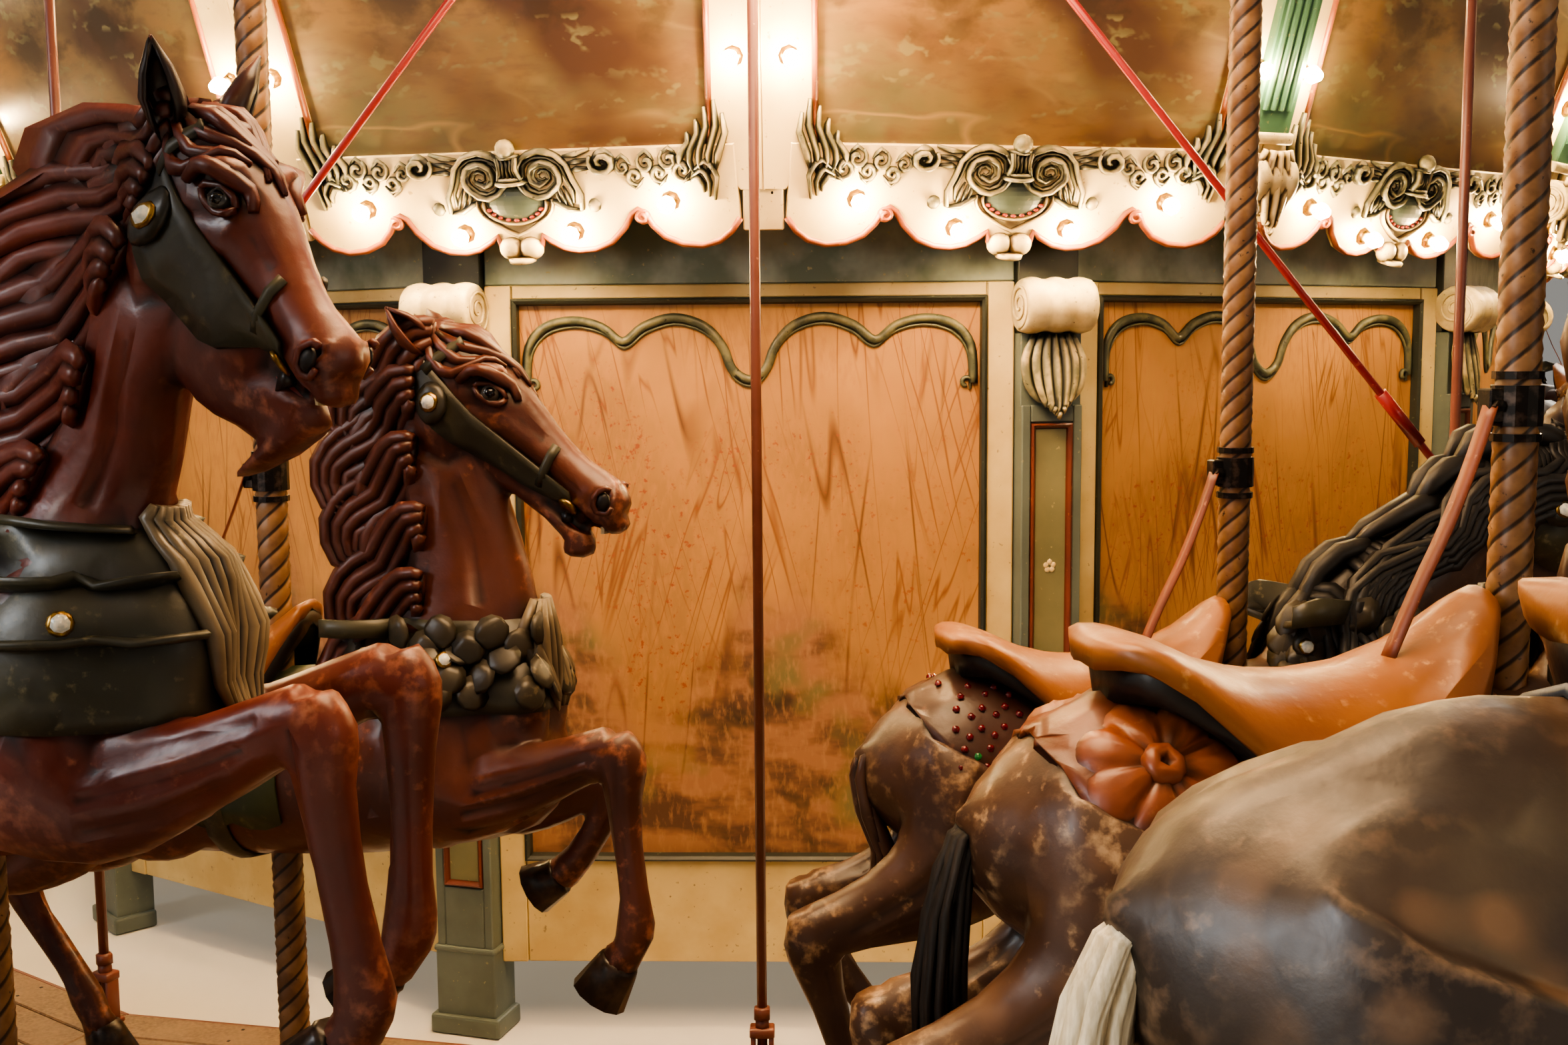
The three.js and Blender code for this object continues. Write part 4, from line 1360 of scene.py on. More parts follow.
def board_parts(m):
    """One rounding board as (mesh, matrix) pairs, in the cornice's manner."""
    at = slope_matrix(BOARD_FOOT, BOARD_LEAN)
    tall = math.dist(BOARD_FOOT, BOARD_HEAD)
    parts = []
    low, high = BOARD_FOOT[0] * HALF_BAY - 0.001, BOARD_HEAD[0] * HALF_BAY - 0.001
    bm = bmesh.new()
    half = [
        (0.0, 0.0), (0.10, 0.004), (0.20, 0.022), (0.30, 0.052), (0.36, 0.058), (0.42, 0.044), (0.52, 0.016),
        (0.66, 0.004), (0.80, 0.012), (0.92, 0.040), (1.04, 0.072), (1.12, 0.076), (low, 0.060),
        (high, tall - 0.09), (0.0, tall - 0.09),
    ]
    plate(bm, mirrored_outline(half), 0.0, 0.024, bevel=0.003)
    parts.append((mesh_of(bm, "board_ground", m["cream"], smooth=False), at))
    bm = bmesh.new()
    frame_low, frame_high = 0.17, tall - 0.16
    corners = [(-low + 0.17, frame_low), (low - 0.17, frame_low), (high - 0.17, frame_high),
               (-high + 0.17, frame_high)]
    plate(bm, corners, -0.003, 0.004)
    field = mesh_of(bm, "board_picture", m["sky_board"], smooth=False)
    parts.append((store_heights(field, frame_low, tall), at))
    bm = bmesh.new()
    moulding(bm, corners, ((-0.012, 0.0), (-0.012, 0.012), (-0.004, 0.018), (0.006, 0.008), (0.006, 0.0)),
             0.001)
    lip = [(x, 0.0, s, 0.007, 0.009) for x, s in half[:12]]
    lip = [(-x, y, s, a, b) for x, y, s, a, b in reversed(lip[1:])] + lip
    tube(bm, lip, up=(0, -1, 0), sides=6, steps=1)
    box(bm, (-high, -0.020, tall - 0.09), (high, 0.03, tall - 0.002), 0.010, 2)
    parts.append((mesh_of(bm, "board_mouldings", m["red_brown"], smooth=False), at))
    bm = bmesh.new()
    for side in (-1, 1):
        c_scroll(bm, (side * 0.15, 0.13), 0.085, side, turns=1.5, wide=0.036, start=2.4)
        c_scroll(bm, (side * 0.40, 0.125), 0.055, side, turns=1.35, wide=0.028, start=-2.6)
        frond(bm, (side * 0.24, 0.155), (side * 0.37, 0.155), 0.045, side * 0.018, 3)
        frond(bm, (side * 0.47, 0.118), (side * 0.86, 0.108), 0.060, side * 0.03, 6)
        c_scroll(bm, (side * 0.93, 0.125), 0.052, -side, turns=1.35, wide=0.026, start=-2.2)
        frond(bm, (side * 1.00, 0.14), (side * 1.10, 0.40), 0.060, side * -0.02, 5)
        frond(bm, (side * 0.05, tall - 0.13), (side * 0.34, tall - 0.125), 0.05, side * 0.012, 4)
    ball(bm, (0.0, -0.01, 0.235), 0.024, 12, 8)
    parts.append((mark_cavities(thinned(mesh_of(bm, "board_carving", m["carved"]), BOARD_TRIANGLES)), at))
    field_bm, rim_bm, dash_bm = bmesh.new(), bmesh.new(), bmesh.new()
    shield(field_bm, rim_bm, dash_bm, (0.0, 0.125), 0.20, 0.12)
    parts.append((mesh_of(field_bm, "board_shield", m["medallion"], smooth=False), at))
    parts.append((mark_cavities(mesh_of(rim_bm, "board_shield_rim", m["carved_cream"])), at))
    parts.append((mesh_of(dash_bm, "board_shield_dashes", m["dash_red"]), at))
    glow, cap = bmesh.new(), bmesh.new()
    for i in range(9):
        bulb_parts(glow, cap, ((i - 4) * 0.255, -0.006, tall - 0.046), (0, -1, 0))
    for side in (-1, 1):
        for x in (0.36, 1.04):
            bulb_parts(glow, cap, (side * x, 0.0, 0.095), (0, -1, 0))
    parts.append((mesh_of(glow, "board_bulbs", m["glow"]), at))
    parts.append((mesh_of(cap, "board_bulb_caps", m["brass"]), at))
    back = bmesh.new()
    box(back, (-low + 0.02, 0.024, 0.09), (low - 0.02, 0.034, 0.15), 0.002)
    box(back, (-high + 0.04, 0.024, tall - 0.16), (high - 0.04, 0.075, tall - 0.10), 0.002)
    for x in (-1.0, -0.5, 0.0, 0.5, 1.0):
        box(back, (x - 0.03, 0.024, 0.08), (x + 0.03, 0.034, tall - 0.10), 0.002)
    parts.append((mesh_of(back, "board_battens", m["timber"], smooth=False), at))
    return parts


def corner_cover_parts(m):
    """The carved cover over the joint of two rounding boards."""
    reach = 1 / math.cos(BAY_ANGLE / 2)
    lean = math.atan2((BOARD_HEAD[0] - BOARD_FOOT[0]) * reach, BOARD_HEAD[1] - BOARD_FOOT[1])
    at = slope_matrix((BOARD_FOOT[0] * reach - 0.002, BOARD_FOOT[1]), lean)
    bm = bmesh.new()
    box(bm, (-0.055, -0.012, 0.05), (0.055, 0.02, 0.74), 0.005)
    frond(bm, (0.0, 0.30), (0.0, 0.62), 0.055, 0.0, 5, 0.012)
    for side in (-1, 1):
        c_scroll(bm, (side * 0.022, 0.17), 0.030, side, turns=1.3, wide=0.014, start=-2.0, plane_y=-0.004)
    return [(mark_cavities(thinned(mesh_of(bm, "corner_cover", m["carved_cream"]), COVER_TRIANGLES)), at)]


def build_boards(m):
    """The sixteen rounding boards, in four quarters."""
    board_mesh = mark_shut(joined(board_parts(m), "board_template"), 0.06)
    cover = mark_shut(joined(corner_cover_parts(m), "corner_cover_template"), 0.05)
    build_groups("rounding_boards", 4, "_carved", board_mesh, lambda k: cover)


# The turning frame, the platform and the poles.

INNER_RING = (3.88, 3.96, 0.14)
OUTER_RING = (6.37, 6.45, 0.18)
SWEEP_START = 0.4503
SWEEP_END = 6.56
SWEEP_WIDE = 0.09
SWEEP_TALL = 0.18
INNER_ROD_AT = 3.99
OUTER_ROD_AT = 6.435
# The iron straps along a sweep, and the section of one of their bolts as (radius, height).
STRAP_PLACES = (0.62, 2.2, 3.8, 5.1, 6.2)
BOLT = ((0.0, 0.012), (0.009, 0.010), (0.011, 0.0), (0.0, 0.0))
BRACE_TOP_AT = 3.8
BRACE_FOOT_AT = 4.05
BRACE_SPAN = 1.9
PLATFORM_INNER = 3.86
PLATFORM_OUTER = 6.48
PLATFORM_LOW = 0.25
PLANK_THICK = 0.028
PLANK_SEED = 5
JOIST_PLACES = (-0.45, 0.0, 0.45)


def rod_between(bm, start, end, radius, sides=10):
    """A straight round rod between two points."""
    start, end = Vector(start), Vector(end)
    up = (0, 0, 1) if abs((end - start).normalized().z) < 0.9 else (1, 0, 0)
    frames = [ring_frame(start, end - start, up, radius, radius),
              ring_frame(end, end - start, up, radius, radius)]
    return loft(bm, frames, sides)


def radial(angle):
    """Turns what was made along +X to lie along the given direction."""
    return Matrix.Rotation(angle, 4, "Z")


def sweep_parts(m):
    """One sweep along +X with its drop rods, as (mesh, matrix) pairs."""
    at = Matrix.Identity(4)
    parts = []
    bm = bmesh.new()
    low, high = SWEEP_UNDERSIDE, SWEEP_UNDERSIDE + SWEEP_TALL
    box(bm, (SWEEP_START, -SWEEP_WIDE / 2, low), (SWEEP_END, SWEEP_WIDE / 2, high), 0.008, 2)
    parts.append((mesh_of(bm, "sweep_beam", m["timber"], smooth=False), at))
    bm = bmesh.new()
    for x in STRAP_PLACES:
        box(bm, (x, -0.049, low + 0.004), (x + 0.05, 0.049, high - 0.004), 0.002)
        for side in (-1, 1):
            for z in (0.05, 0.13):
                lathe(bm, BOLT, (x + 0.025, side * 0.049, low + z), (0, side, 0))
    parts.append((mesh_of(bm, "sweep_straps", m["iron"], smooth=False), at))
    bm = bmesh.new()
    drop_rod(bm, INNER_ROD_AT)
    drop_rod(bm, OUTER_ROD_AT, BAY_ANGLE / 2)
    parts.append((mesh_of(bm, "drop_rods", m["rod"]), at))
    return parts


def drop_rod(bm, radius, angle=0.0):
    """A thin hanging rod with turned collars near its head and its foot, and the forked bracket at its foot.
    """
    spot = lambda z: polar(radius, angle, z)
    rod_between(bm, spot(PLATFORM_TOP + 0.02), spot(SWEEP_UNDERSIDE + 0.01), settings("frame").rod_radius)
    for z, r in ((PLATFORM_TOP + 0.155, 0.019), (PLATFORM_TOP + 0.13, 0.016),
                 (SWEEP_UNDERSIDE - 0.03, 0.020)):
        lathe(bm, ((0.0, -0.012), (r, -0.012), (r, 0.010), (r * 0.7, 0.014), (0.0, 0.014)), spot(z))
    turn = Matrix.Translation(spot(PLATFORM_TOP)) @ Matrix.Rotation(angle, 4, "Z")
    box(bm, (-0.027, -0.027, 0.0), (0.027, 0.027, 0.010), 0.002, 1, turn)
    for side in (-1, 1):
        low, high = sorted((side * 0.014, side * 0.024))
        box(bm, (-0.018, low, 0.008), (0.018, high, 0.115), 0.003, 1, turn)
    box(bm, (-0.020, -0.026, 0.105), (0.020, 0.026, 0.125), 0.003, 1, turn)


def ring_beam(bm, ring, k):
    """One straight length of a ring beam in bay k."""
    inner, outer, depth = ring
    low, high = inner * HALF_BAY, outer * HALF_BAY
    corners = ((-low, -inner, 0), (low, -inner, 0), (high, -outer, 0), (-high, -outer, 0))
    verts, up = raised(bm, corners, (0, 0, depth))
    everything = verts + up
    bmesh.ops.translate(bm, vec=(0, 0, SWEEP_UNDERSIDE), verts=everything)
    bmesh.ops.transform(bm, matrix=around(FRONT + (k + 0.5) * BAY_ANGLE), verts=everything)


def build_frame(m):
    """The four quarters of the sweep frame, and its hub."""
    sweep = joined(sweep_parts(m), "sweep_template")
    for quarter in range(4):
        first = quarter * 4 - 2
        placed = [(sweep, radial(FRONT + k * BAY_ANGLE)) for k in range(first, first + 4)]
        rings, rods = bmesh.new(), bmesh.new()
        for k in range(first, first + 4):
            ring_beam(rings, INNER_RING, k)
            ring_beam(rings, OUTER_RING, k)
        apex = polar(BRACE_TOP_AT, FRONT + (first + 2) * BAY_ANGLE, SWEEP_UNDERSIDE + 0.01)
        for way in (-1, 1):
            angle = FRONT + (first + 2 + way * BRACE_SPAN) * BAY_ANGLE
            foot = polar(BRACE_FOOT_AT, angle, PLATFORM_TOP + 0.03)
            rod_between(rods, foot, apex, settings("frame").brace_radius)
            buckle = foot.lerp(apex, 0.42)
            rod_between(rods, buckle, foot.lerp(apex, 0.46), 0.017, 6)
            turn = Matrix.Translation(foot) @ Matrix.Rotation(angle, 4, "Z")
            box(rods, (-0.027, -0.027, -0.03), (0.027, 0.027, -0.020), 0.002, 1, turn)
            box(rods, (-0.016, -0.016, -0.022), (0.016, 0.016, 0.022), 0.005, 1, turn)
        beams = mesh_of(rings, "ring_beams", m["timber"], smooth=False)
        at = Matrix.Identity(4)
        placed += [(beams, at), (mesh_of(rods, "brace_rods", m["red_rod"]), at)]
        name = f"sweep_frame_{quarter + 1}"
        piece(joined(placed, name + "_timber"), name + "_timber", TURNING, [name])
    build_hub_bands(m)
    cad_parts["sweep_hub"].data.materials.clear()
    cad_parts["sweep_hub"].data.materials.append(m["timber"])


def build_hub_bands(m):
    """Iron hoops round the hub, with a bolt over each sweep's end."""
    bm = bmesh.new()
    for z in (SWEEP_UNDERSIDE + 0.03, SWEEP_UNDERSIDE + 0.24):
        rows = ((0.4495, z), (0.4545, z + 0.002), (0.4545, z + 0.038), (0.4495, z + 0.04))
        band(bm, rows, BAYS, FRONT + BAY_ANGLE / 2)
    for k in range(BAYS):
        lathe(bm, ((0.0, 0.016), (0.014, 0.014), (0.018, 0.0), (0.0, 0.0)),
              polar(0.36, FRONT + k * BAY_ANGLE, 3.7))
    piece(mesh_of(bm, "hub_iron_hoops", m["iron"], smooth=False), "hub_iron_hoops", TURNING)


def platform_bay_parts(m):
    """One bay of the platform at the front: planks along its edge, joists and a skirting board."""
    at = Matrix.Identity(4)
    bm = bmesh.new()
    count = round((PLATFORM_OUTER - PLATFORM_INNER) / settings("platform").plank_width)
    wide = (PLATFORM_OUTER - PLATFORM_INNER) / count
    chance = random.Random(PLANK_SEED)
    for i in range(count):
        near, far = PLATFORM_INNER + i * wide + 0.0015, PLATFORM_INNER + (i + 1) * wide - 0.0015
        drop = chance.uniform(0.0, 0.0015)
        outline = [(-near * HALF_BAY + 0.001, -near), (near * HALF_BAY - 0.001, -near),
                   (far * HALF_BAY - 0.001, -far), (-far * HALF_BAY + 0.001, -far)]
        corners = [(x, y, PLATFORM_TOP - PLANK_THICK) for x, y in outline]
        _, up = raised(bm, corners, (0, 0, PLANK_THICK - drop))
        rim = list({e for v in up for e in v.link_edges if set(e.verts) <= set(up)})
        rounded(bm, rim, 0.003)
    parts = [(mesh_of(bm, "deck_planks", m["deck"], smooth=False), at)]
    bm = bmesh.new()
    for y in (3.90, 4.80, 5.60, 6.40):
        reach = y * HALF_BAY - 0.03
        box(bm, (-reach, -y - 0.03, PLATFORM_LOW), (reach, -y + 0.03, PLATFORM_TOP - 0.029), 0.004)
    for x in JOIST_PLACES:
        box(bm, (x - 0.035, -6.40, PLATFORM_LOW + 0.01), (x + 0.035, -3.90, PLATFORM_TOP - 0.030), 0.004)
    parts.append((mesh_of(bm, "deck_joists", m["timber"], smooth=False), at))
    bm = bmesh.new()
    reach = PLATFORM_OUTER * HALF_BAY
    box(bm, (-reach, -PLATFORM_OUTER - 0.018, PLATFORM_LOW),
        (reach, -PLATFORM_OUTER + 0.004, PLATFORM_TOP - 0.002), 0.004)
    inner = PLATFORM_INNER * HALF_BAY
    box(bm, (-inner, -PLATFORM_INNER - 0.002, PLATFORM_LOW),
        (inner, -PLATFORM_INNER + 0.012, PLATFORM_TOP - 0.004), 0.003)
    parts.append((mesh_of(bm, "deck_skirting", m["red_brown"], smooth=False), at))
    bm = bmesh.new()
    nail = Matrix.Diagonal((0.006, 0.006, 0.003, 1))
    for x in JOIST_PLACES:
        for i in range(count):
            y = PLATFORM_INNER + (i + 0.5) * wide
            if abs(x) + 0.02 < y * HALF_BAY:
                for side in (-0.03, 0.03):
                    spot = Matrix.Translation((x, -y + side, PLATFORM_TOP - 0.0015))
                    bmesh.ops.create_cube(bm, size=1.0, matrix=spot @ nail)
    parts.append((mesh_of(bm, "deck_nails", m["iron"], smooth=False), at))
    return parts


def build_platform(m):
    """The sixteen bays of the platform, in four quarters."""
    bay = joined(platform_bay_parts(m), "deck_bay_template")
    build_groups("platform", 4, "_deck", bay)


POLE_SIDES = 12
# Sections of the socket under a pole and of the one over it, as (radius, height).
POLE_FOOT = mm((
    (0, 0), (45, 0), (45, 10), (34, 22), (30, 40), (30, 82), (33, 88), (30, 96), (24, 98),
))
POLE_HEAD = mm((
    (24, -78), (30, -76), (33, -66), (30, -56), (30, -12), (50, -8), (50, 0), (0, 0),
))


def twisted_pole_parts(m):
    """A pole cut with four fine spiral grooves, made at the origin from the platform up to the hanger."""
    low, high = PLATFORM_TOP, HANGER_UNDERSIDE + 0.002
    sizes = settings("poles")
    bm = bmesh.new()
    steps = round((high - low - 0.16) / 0.011)
    frames = []
    profile = []
    for i in range(POLE_SIDES):
        angle = 2 * math.pi * i / POLE_SIDES
        radius = sizes.pole_radius * (0.90 if i % 3 == 0 else 1.0)
        shift = (0.0, -0.22, 0.22)[i % 3]
        profile.append((radius * math.cos(angle + shift), radius * math.sin(angle + shift)))
    for i in range(steps + 1):
        z = low + 0.09 + (high - low - 0.16) * i / steps
        turn = 2 * math.pi * z / sizes.twist_pitch
        frames.append(Matrix.Translation((0, 0, z)) @ Matrix.Rotation(turn, 4, "Z"))
    ring = [bm.verts.new((frames[0] @ Vector((x, y, 0))).to_tuple()) for x, y in profile]
    edges = [bm.edges.new((ring[i], ring[(i + 1) % POLE_SIDES])) for i in range(POLE_SIDES)]
    for before, after in zip(frames, frames[1:]):
        fresh_parts = bmesh.ops.extrude_edge_only(bm, edges=edges)["geom"]
        ring = [g for g in fresh_parts if isinstance(g, bmesh.types.BMVert)]
        fresh = set(ring)
        edges = [g for g in fresh_parts if isinstance(g, bmesh.types.BMEdge) and set(g.verts) <= fresh]
        bmesh.ops.transform(bm, matrix=after @ before.inverted(), verts=ring)
    lathe(bm, POLE_FOOT, (0, 0, low), steps=16)
    lathe(bm, POLE_HEAD, (0, 0, high), steps=16)
    pole = mesh_of(bm, "twisted_pole", m["pole"])
    edge = sizes.pole_radius * 0.92
    # Painted shade: the grooves are marked as hollows, so the pole's paint turns dark in them.
    store(pole, "cavity", [0.75 if math.hypot(v.co.x, v.co.y) < edge else 0.45 for v in pole.vertices])
    return [(pole, Matrix.Identity(4))]


# The two ranks that stand in the photograph keep all their cuts; a pole further off is thinned to this.
NEAR_RANKS = (0, BAYS - 1)
FAR_POLE_TRIANGLES = 1700
# Height of a pole's clamp above the foot of a horse's own frame, before the row's scale.
CLAMP_HEIGHT = 1.31
# The line of the strap from the clamp down to the saddle.
POLE_STRAP = mm((
    (-44, -10, 0), (-66, -14, -60), (-105, -20, -150), (-150, -26, -235), (-190, -30, -322),
))


def clamp_parts(m):
    """The iron clamp on a pole with its two loops, and the strap down to the saddle, at the origin."""
    at = Matrix.Identity(4)
    bm = bmesh.new()
    lathe(bm, ((0.026, -0.026), (0.0325, -0.026), (0.0325, 0.026), (0.026, 0.026)), (0, 0, 0), steps=14)
    for z in (-0.046, 0.034):
        lathe(bm, ((0.027, z), (0.0318, z), (0.0318, z + 0.010), (0.027, z + 0.010)), (0, 0, 0), steps=14)
    box(bm, (-0.048, -0.014, -0.022), (-0.026, 0.014, 0.022), 0.002)
    lathe(bm, ((0.0, 0.008), (0.008, 0.006), (0.009, 0.0), (0.0, 0.0)), (-0.037, -0.014, 0), (0, -1, 0))
    parts = [(mesh_of(bm, "pole_clamp", m["iron"], smooth=False), at)]
    bm = bmesh.new()
    spots = [Vector(row) for row in smooth_path(POLE_STRAP, 3)]
    out, half = Vector((-0.90, -0.30, 0.25)), settings("poles").strap_width / 2
    ribbon(bm, [(spot, out, half, 0.0018) for spot in spots])
    parts.append((mesh_of(bm, "pole_strap", m["strap_leather"]), at))
    return parts


def hanger_parts(m):
    """The beam over one rank, made along +X, with an iron plate over each pole."""
    at = Matrix.Identity(4)
    bm = bmesh.new()
    box(bm, (3.89, -0.04, HANGER_UNDERSIDE), (6.41, 0.04, SWEEP_UNDERSIDE), 0.006, 2)
    parts = [(mesh_of(bm, "hanger_beam", m["timber"], smooth=False), at)]
    bm = bmesh.new()
    for radius in ROW_RADII:
        box(bm, (radius - 0.075, -0.043, HANGER_UNDERSIDE - 0.006),
            (radius + 0.075, 0.043, HANGER_UNDERSIDE + 0.002), 0.002)
        for x in (-0.058, 0.058):
            for y in (-0.026, 0.026):
                lathe(bm, ((0.0, 0.0), (0.009, 0.0), (0.008, -0.008), (0.0, -0.009)),
                      (radius + x, y, HANGER_UNDERSIDE - 0.006))
    parts.append((mesh_of(bm, "hanger_plates", m["iron"], smooth=False), at))
    return parts


def build_poles(m):
    """The beam and the three poles of each rank."""
    hanger = joined(hanger_parts(m), "hanger_template")
    pole = joined(twisted_pole_parts(m), "pole_template")
    far_pole = thinned(pole, FAR_POLE_TRIANGLES)
    clamp = joined(clamp_parts(m), "clamp_template")
    for i in range(BAYS):
        turn = radial(FRONT + (i + 0.5) * BAY_ANGLE)
        placed = [(hanger, turn)]
        for row, radius in enumerate(ROW_RADII):
            stand = turn @ Matrix.Translation((radius, 0, 0)) @ Matrix.Rotation(math.pi / 2, 4, "Z")
            height = PLATFORM_TOP + ROW_LIFTS[row][i % 2] + CLAMP_HEIGHT * ROW_SCALES[row]
            placed += [(pole if i in NEAR_RANKS else far_pole, stand),
                       (clamp, stand @ Matrix.Translation((0, 0, height)))]
        name = f"rank_{i + 1:02d}_poles"
        piece(joined(placed, name), name, TURNING)


# The carved horses. A horse is made at the origin, facing +X, with its pole on the Z axis, and its
# right flank is at -Y. Rows are (x, z, half height, half width).

TORSO = mm((
    (-745, 745, 45, 45), (-705, 748, 98, 95), (-630, 752, 158, 140), (-530, 750, 202, 168),
    (-430, 748, 204, 172), (-300, 736, 184, 166), (-100, 738, 182, 162), (100, 758, 188, 164),
    (280, 796, 198, 156), (395, 820, 185, 125), (460, 845, 110, 80),
))
NECK = mm((
    (235, 800, 225, 130), (275, 930, 195, 112), (300, 1060, 152, 88), (292, 1190, 124, 72),
    (268, 1310, 108, 63), (240, 1410, 94, 56), (222, 1490, 72, 48),
))
HEAD = mm((
    (195, 1548, 50, 42), (262, 1512, 84, 62), (335, 1462, 94, 68), (405, 1404, 80, 58),
    (470, 1350, 60, 46), (530, 1304, 50, 42), (585, 1266, 52, 46), (618, 1240, 34, 34),
))
JAW = mm((
    (360, 1370, 55, 40), (425, 1310, 36, 35), (485, 1252, 24, 30), (532, 1206, 24, 29),
    (556, 1184, 18, 22),
))
# Legs, each as an upper and a lower part: (y, rows).
HIGH_FORELEGS = mm((
    (-100, (
        (240, 750, 135, 75), (350, 728, 96, 66), (465, 760, 66, 52), (562, 798, 50, 43),
        (626, 818, 50, 44),
    )),
    (-104, (
        (630, 848, 30, 34), (646, 802, 46, 42), (646, 735, 36, 34), (652, 650, 29, 27),
        (662, 560, 28, 28), (664, 490, 38, 33), (650, 445, 33, 30), (628, 418, 40, 36),
    )),
    (100, (
        (240, 740, 130, 72), (340, 672, 95, 62), (450, 680, 64, 50), (548, 730, 50, 44),
    )),
    (104, (
        (580, 745, 35, 36), (560, 690, 44, 40), (530, 620, 31, 29), (488, 552, 31, 29),
        (460, 522, 35, 32), (440, 500, 36, 33),
    )),
))
LOW_FORELEGS = mm((
    (-100, (
        (240, 740, 140, 75), (350, 700, 100, 66), (480, 735, 66, 52), (585, 785, 50, 43),
        (652, 808, 50, 44),
    )),
    (-104, (
        (654, 838, 32, 34), (668, 790, 48, 42), (670, 720, 40, 36), (684, 620, 34, 30),
        (704, 520, 33, 30), (714, 450, 42, 36), (702, 410, 36, 32), (680, 392, 42, 38),
    )),
    (100, (
        (240, 740, 130, 72), (345, 700, 95, 62), (470, 738, 64, 50), (590, 795, 50, 44),
        (668, 824, 50, 44),
    )),
    (104, (
        (672, 855, 30, 34), (688, 808, 46, 42), (686, 730, 38, 34), (684, 640, 32, 29),
        (680, 540, 32, 29), (676, 465, 40, 35), (660, 424, 34, 31), (640, 406, 40, 36),
    )),
))
HINDLEGS = mm((
    (-105, (
        (-490, 770, 195, 92), (-560, 645, 160, 86), (-645, 565, 108, 66), (-755, 520, 68, 50),
        (-850, 494, 55, 44),
    )),
    (-108, (
        (-884, 532, 28, 29), (-866, 472, 52, 42), (-838, 370, 36, 32), (-800, 250, 30, 28),
        (-768, 168, 38, 34), (-744, 122, 34, 31), (-732, 95, 42, 38),
    )),
    (105, (
        (-450, 770, 188, 90), (-515, 645, 152, 84), (-590, 545, 102, 63), (-710, 500, 65, 48),
        (-810, 482, 55, 44),
    )),
    (108, (
        (-846, 516, 28, 29), (-826, 458, 50, 42), (-776, 350, 35, 31), (-694, 230, 30, 28),
        (-656, 160, 37, 33), (-634, 112, 34, 31), (-622, 88, 41, 38),
    )),
))
# Rounded masses: (x, y, z, three radii), made on both sides where y is not 0.
MASSES = mm((
    (270, 92, 800, 130, 70, 190), (400, 50, 870, 85, 70, 120), (-560, 85, 750, 145, 85, 165),
    (-330, 90, 640, 140, 60, 90), (285, 36, 1425, 80, 36, 80), (372, 44, 1508, 46, 26, 22),
    (598, 30, 1276, 28, 24, 30), (400, 46, 1436, 34, 18, 24), (440, 38, 1398, 34, 14, 18),
    (535, 0, 1180, 34, 32, 20), (606, 0, 1226, 28, 38, 20), (300, 0, 1566, 75, 42, 20),
))
# Hollows and grooves cut after the body is one skin: (points of (x, z), width, depth, least |y|).
GROOVES = mm((
    (((345, 1390), (300, 1340), (245, 1365), (222, 1440)), 11, 9, 20),
    (((606, 1286), (588, 1268)), 12, 26, 18), (((345, 1496), (372, 1492), (404, 1474)), 12, 10, 20),
    (((340, 1455), (385, 1448), (425, 1440), (480, 1385)), 8, 7, 20),
    (((400, 1385), (470, 1335), (540, 1285)), 12, 9, 20),
    (((400, 1350), (480, 1290), (560, 1232)), 7, 8, 15),
    (((580, 1215), (540, 1222), (480, 1268)), 8, 14, 10),
    (((310, 1300), (350, 1200), (365, 1090)), 14, 9, 30),
    (((240, 1280), (260, 1180), (245, 1080)), 14, 7, 30),
    (((380, 742), (480, 772), (590, 810)), 8, 9, 70),
    (((360, 704), (470, 732), (575, 772)), 8, 9, 70),
    (((640, 800), (646, 690), (658, 560)), 7, 7, 70),
    (((360, 660), (450, 680), (540, 722)), 7, 7, 70),
    (((140, 960), (180, 850), (160, 700)), 18, 10, 100),
    (((400, 960), (350, 860), (370, 740)), 15, 9, 70),
    (((-420, 880), (-390, 760), (-440, 640)), 20, 10, 120),
    (((-600, 640), (-690, 560), (-800, 500)), 10, 9, 70),
    (((-540, 600), (-650, 520), (-760, 478)), 9, 8, 70),
    (((-845, 430), (-808, 280), (-772, 180)), 7, 7, 70),
    (((-768, 410), (-720, 280), (-664, 180)), 7, 7, 70),
))
HOOVES = mm((
    (-104, (628, 415), (590, 352), 46), (106, (436, 500), (385, 470), 44),
    (-108, (-730, 95), (-710, 30), 48), (108, (-620, 90), (-595, 28), 47),
))


def side_frame(x, y, z, along, wide, tall):
    """Ring frame whose width lies along Y, for a body part in the plane of the horse's side."""
    along = Vector(along).normalized()
    side = Vector((0, 1, 0))
    return axes(side * wide, along.cross(side).normalized() * tall, along, (x, y, z))


def limb(bm, rows, sides, y=0.0):
    """A body part along rows of (x, z, half height, half width)."""
    path = smooth_path(rows, 3)
    frames = []
    for i, (x, z, tall, wide) in enumerate(path):
        before, after = path[max(i - 1, 0)], path[min(i + 1, len(path) - 1)]
        along = (after[0] - before[0], 0, after[1] - before[1])
        frames.append(side_frame(x, y, z, along, max(wide, 0.004), max(tall, 0.004)))
    return loft(bm, frames, sides)


def evaluated(mesh, build):
    """The mesh after the modifiers that build() adds to a passing object."""
    obj = bpy.data.objects.new("passing", mesh)
    bpy.context.scene.collection.objects.link(obj)
    build(obj)
    bpy.context.view_layer.update()
    graph = bpy.context.evaluated_depsgraph_get()
    made = bpy.data.meshes.new_from_object(obj.evaluated_get(graph), depsgraph=graph)
    bpy.data.objects.remove(obj)
    return made


def one_skin(mesh, voxel, rounds):
    """Fuses overlapping bodies into one smooth skin."""

    def build(obj):
        remesh = obj.modifiers.new("fuse", "REMESH")
        remesh.mode = "VOXEL"
        remesh.voxel_size = voxel
        smooth = obj.modifiers.new("soften", "SMOOTH")
        smooth.factor = 0.5
        smooth.iterations = rounds

    return evaluated(mesh, build)


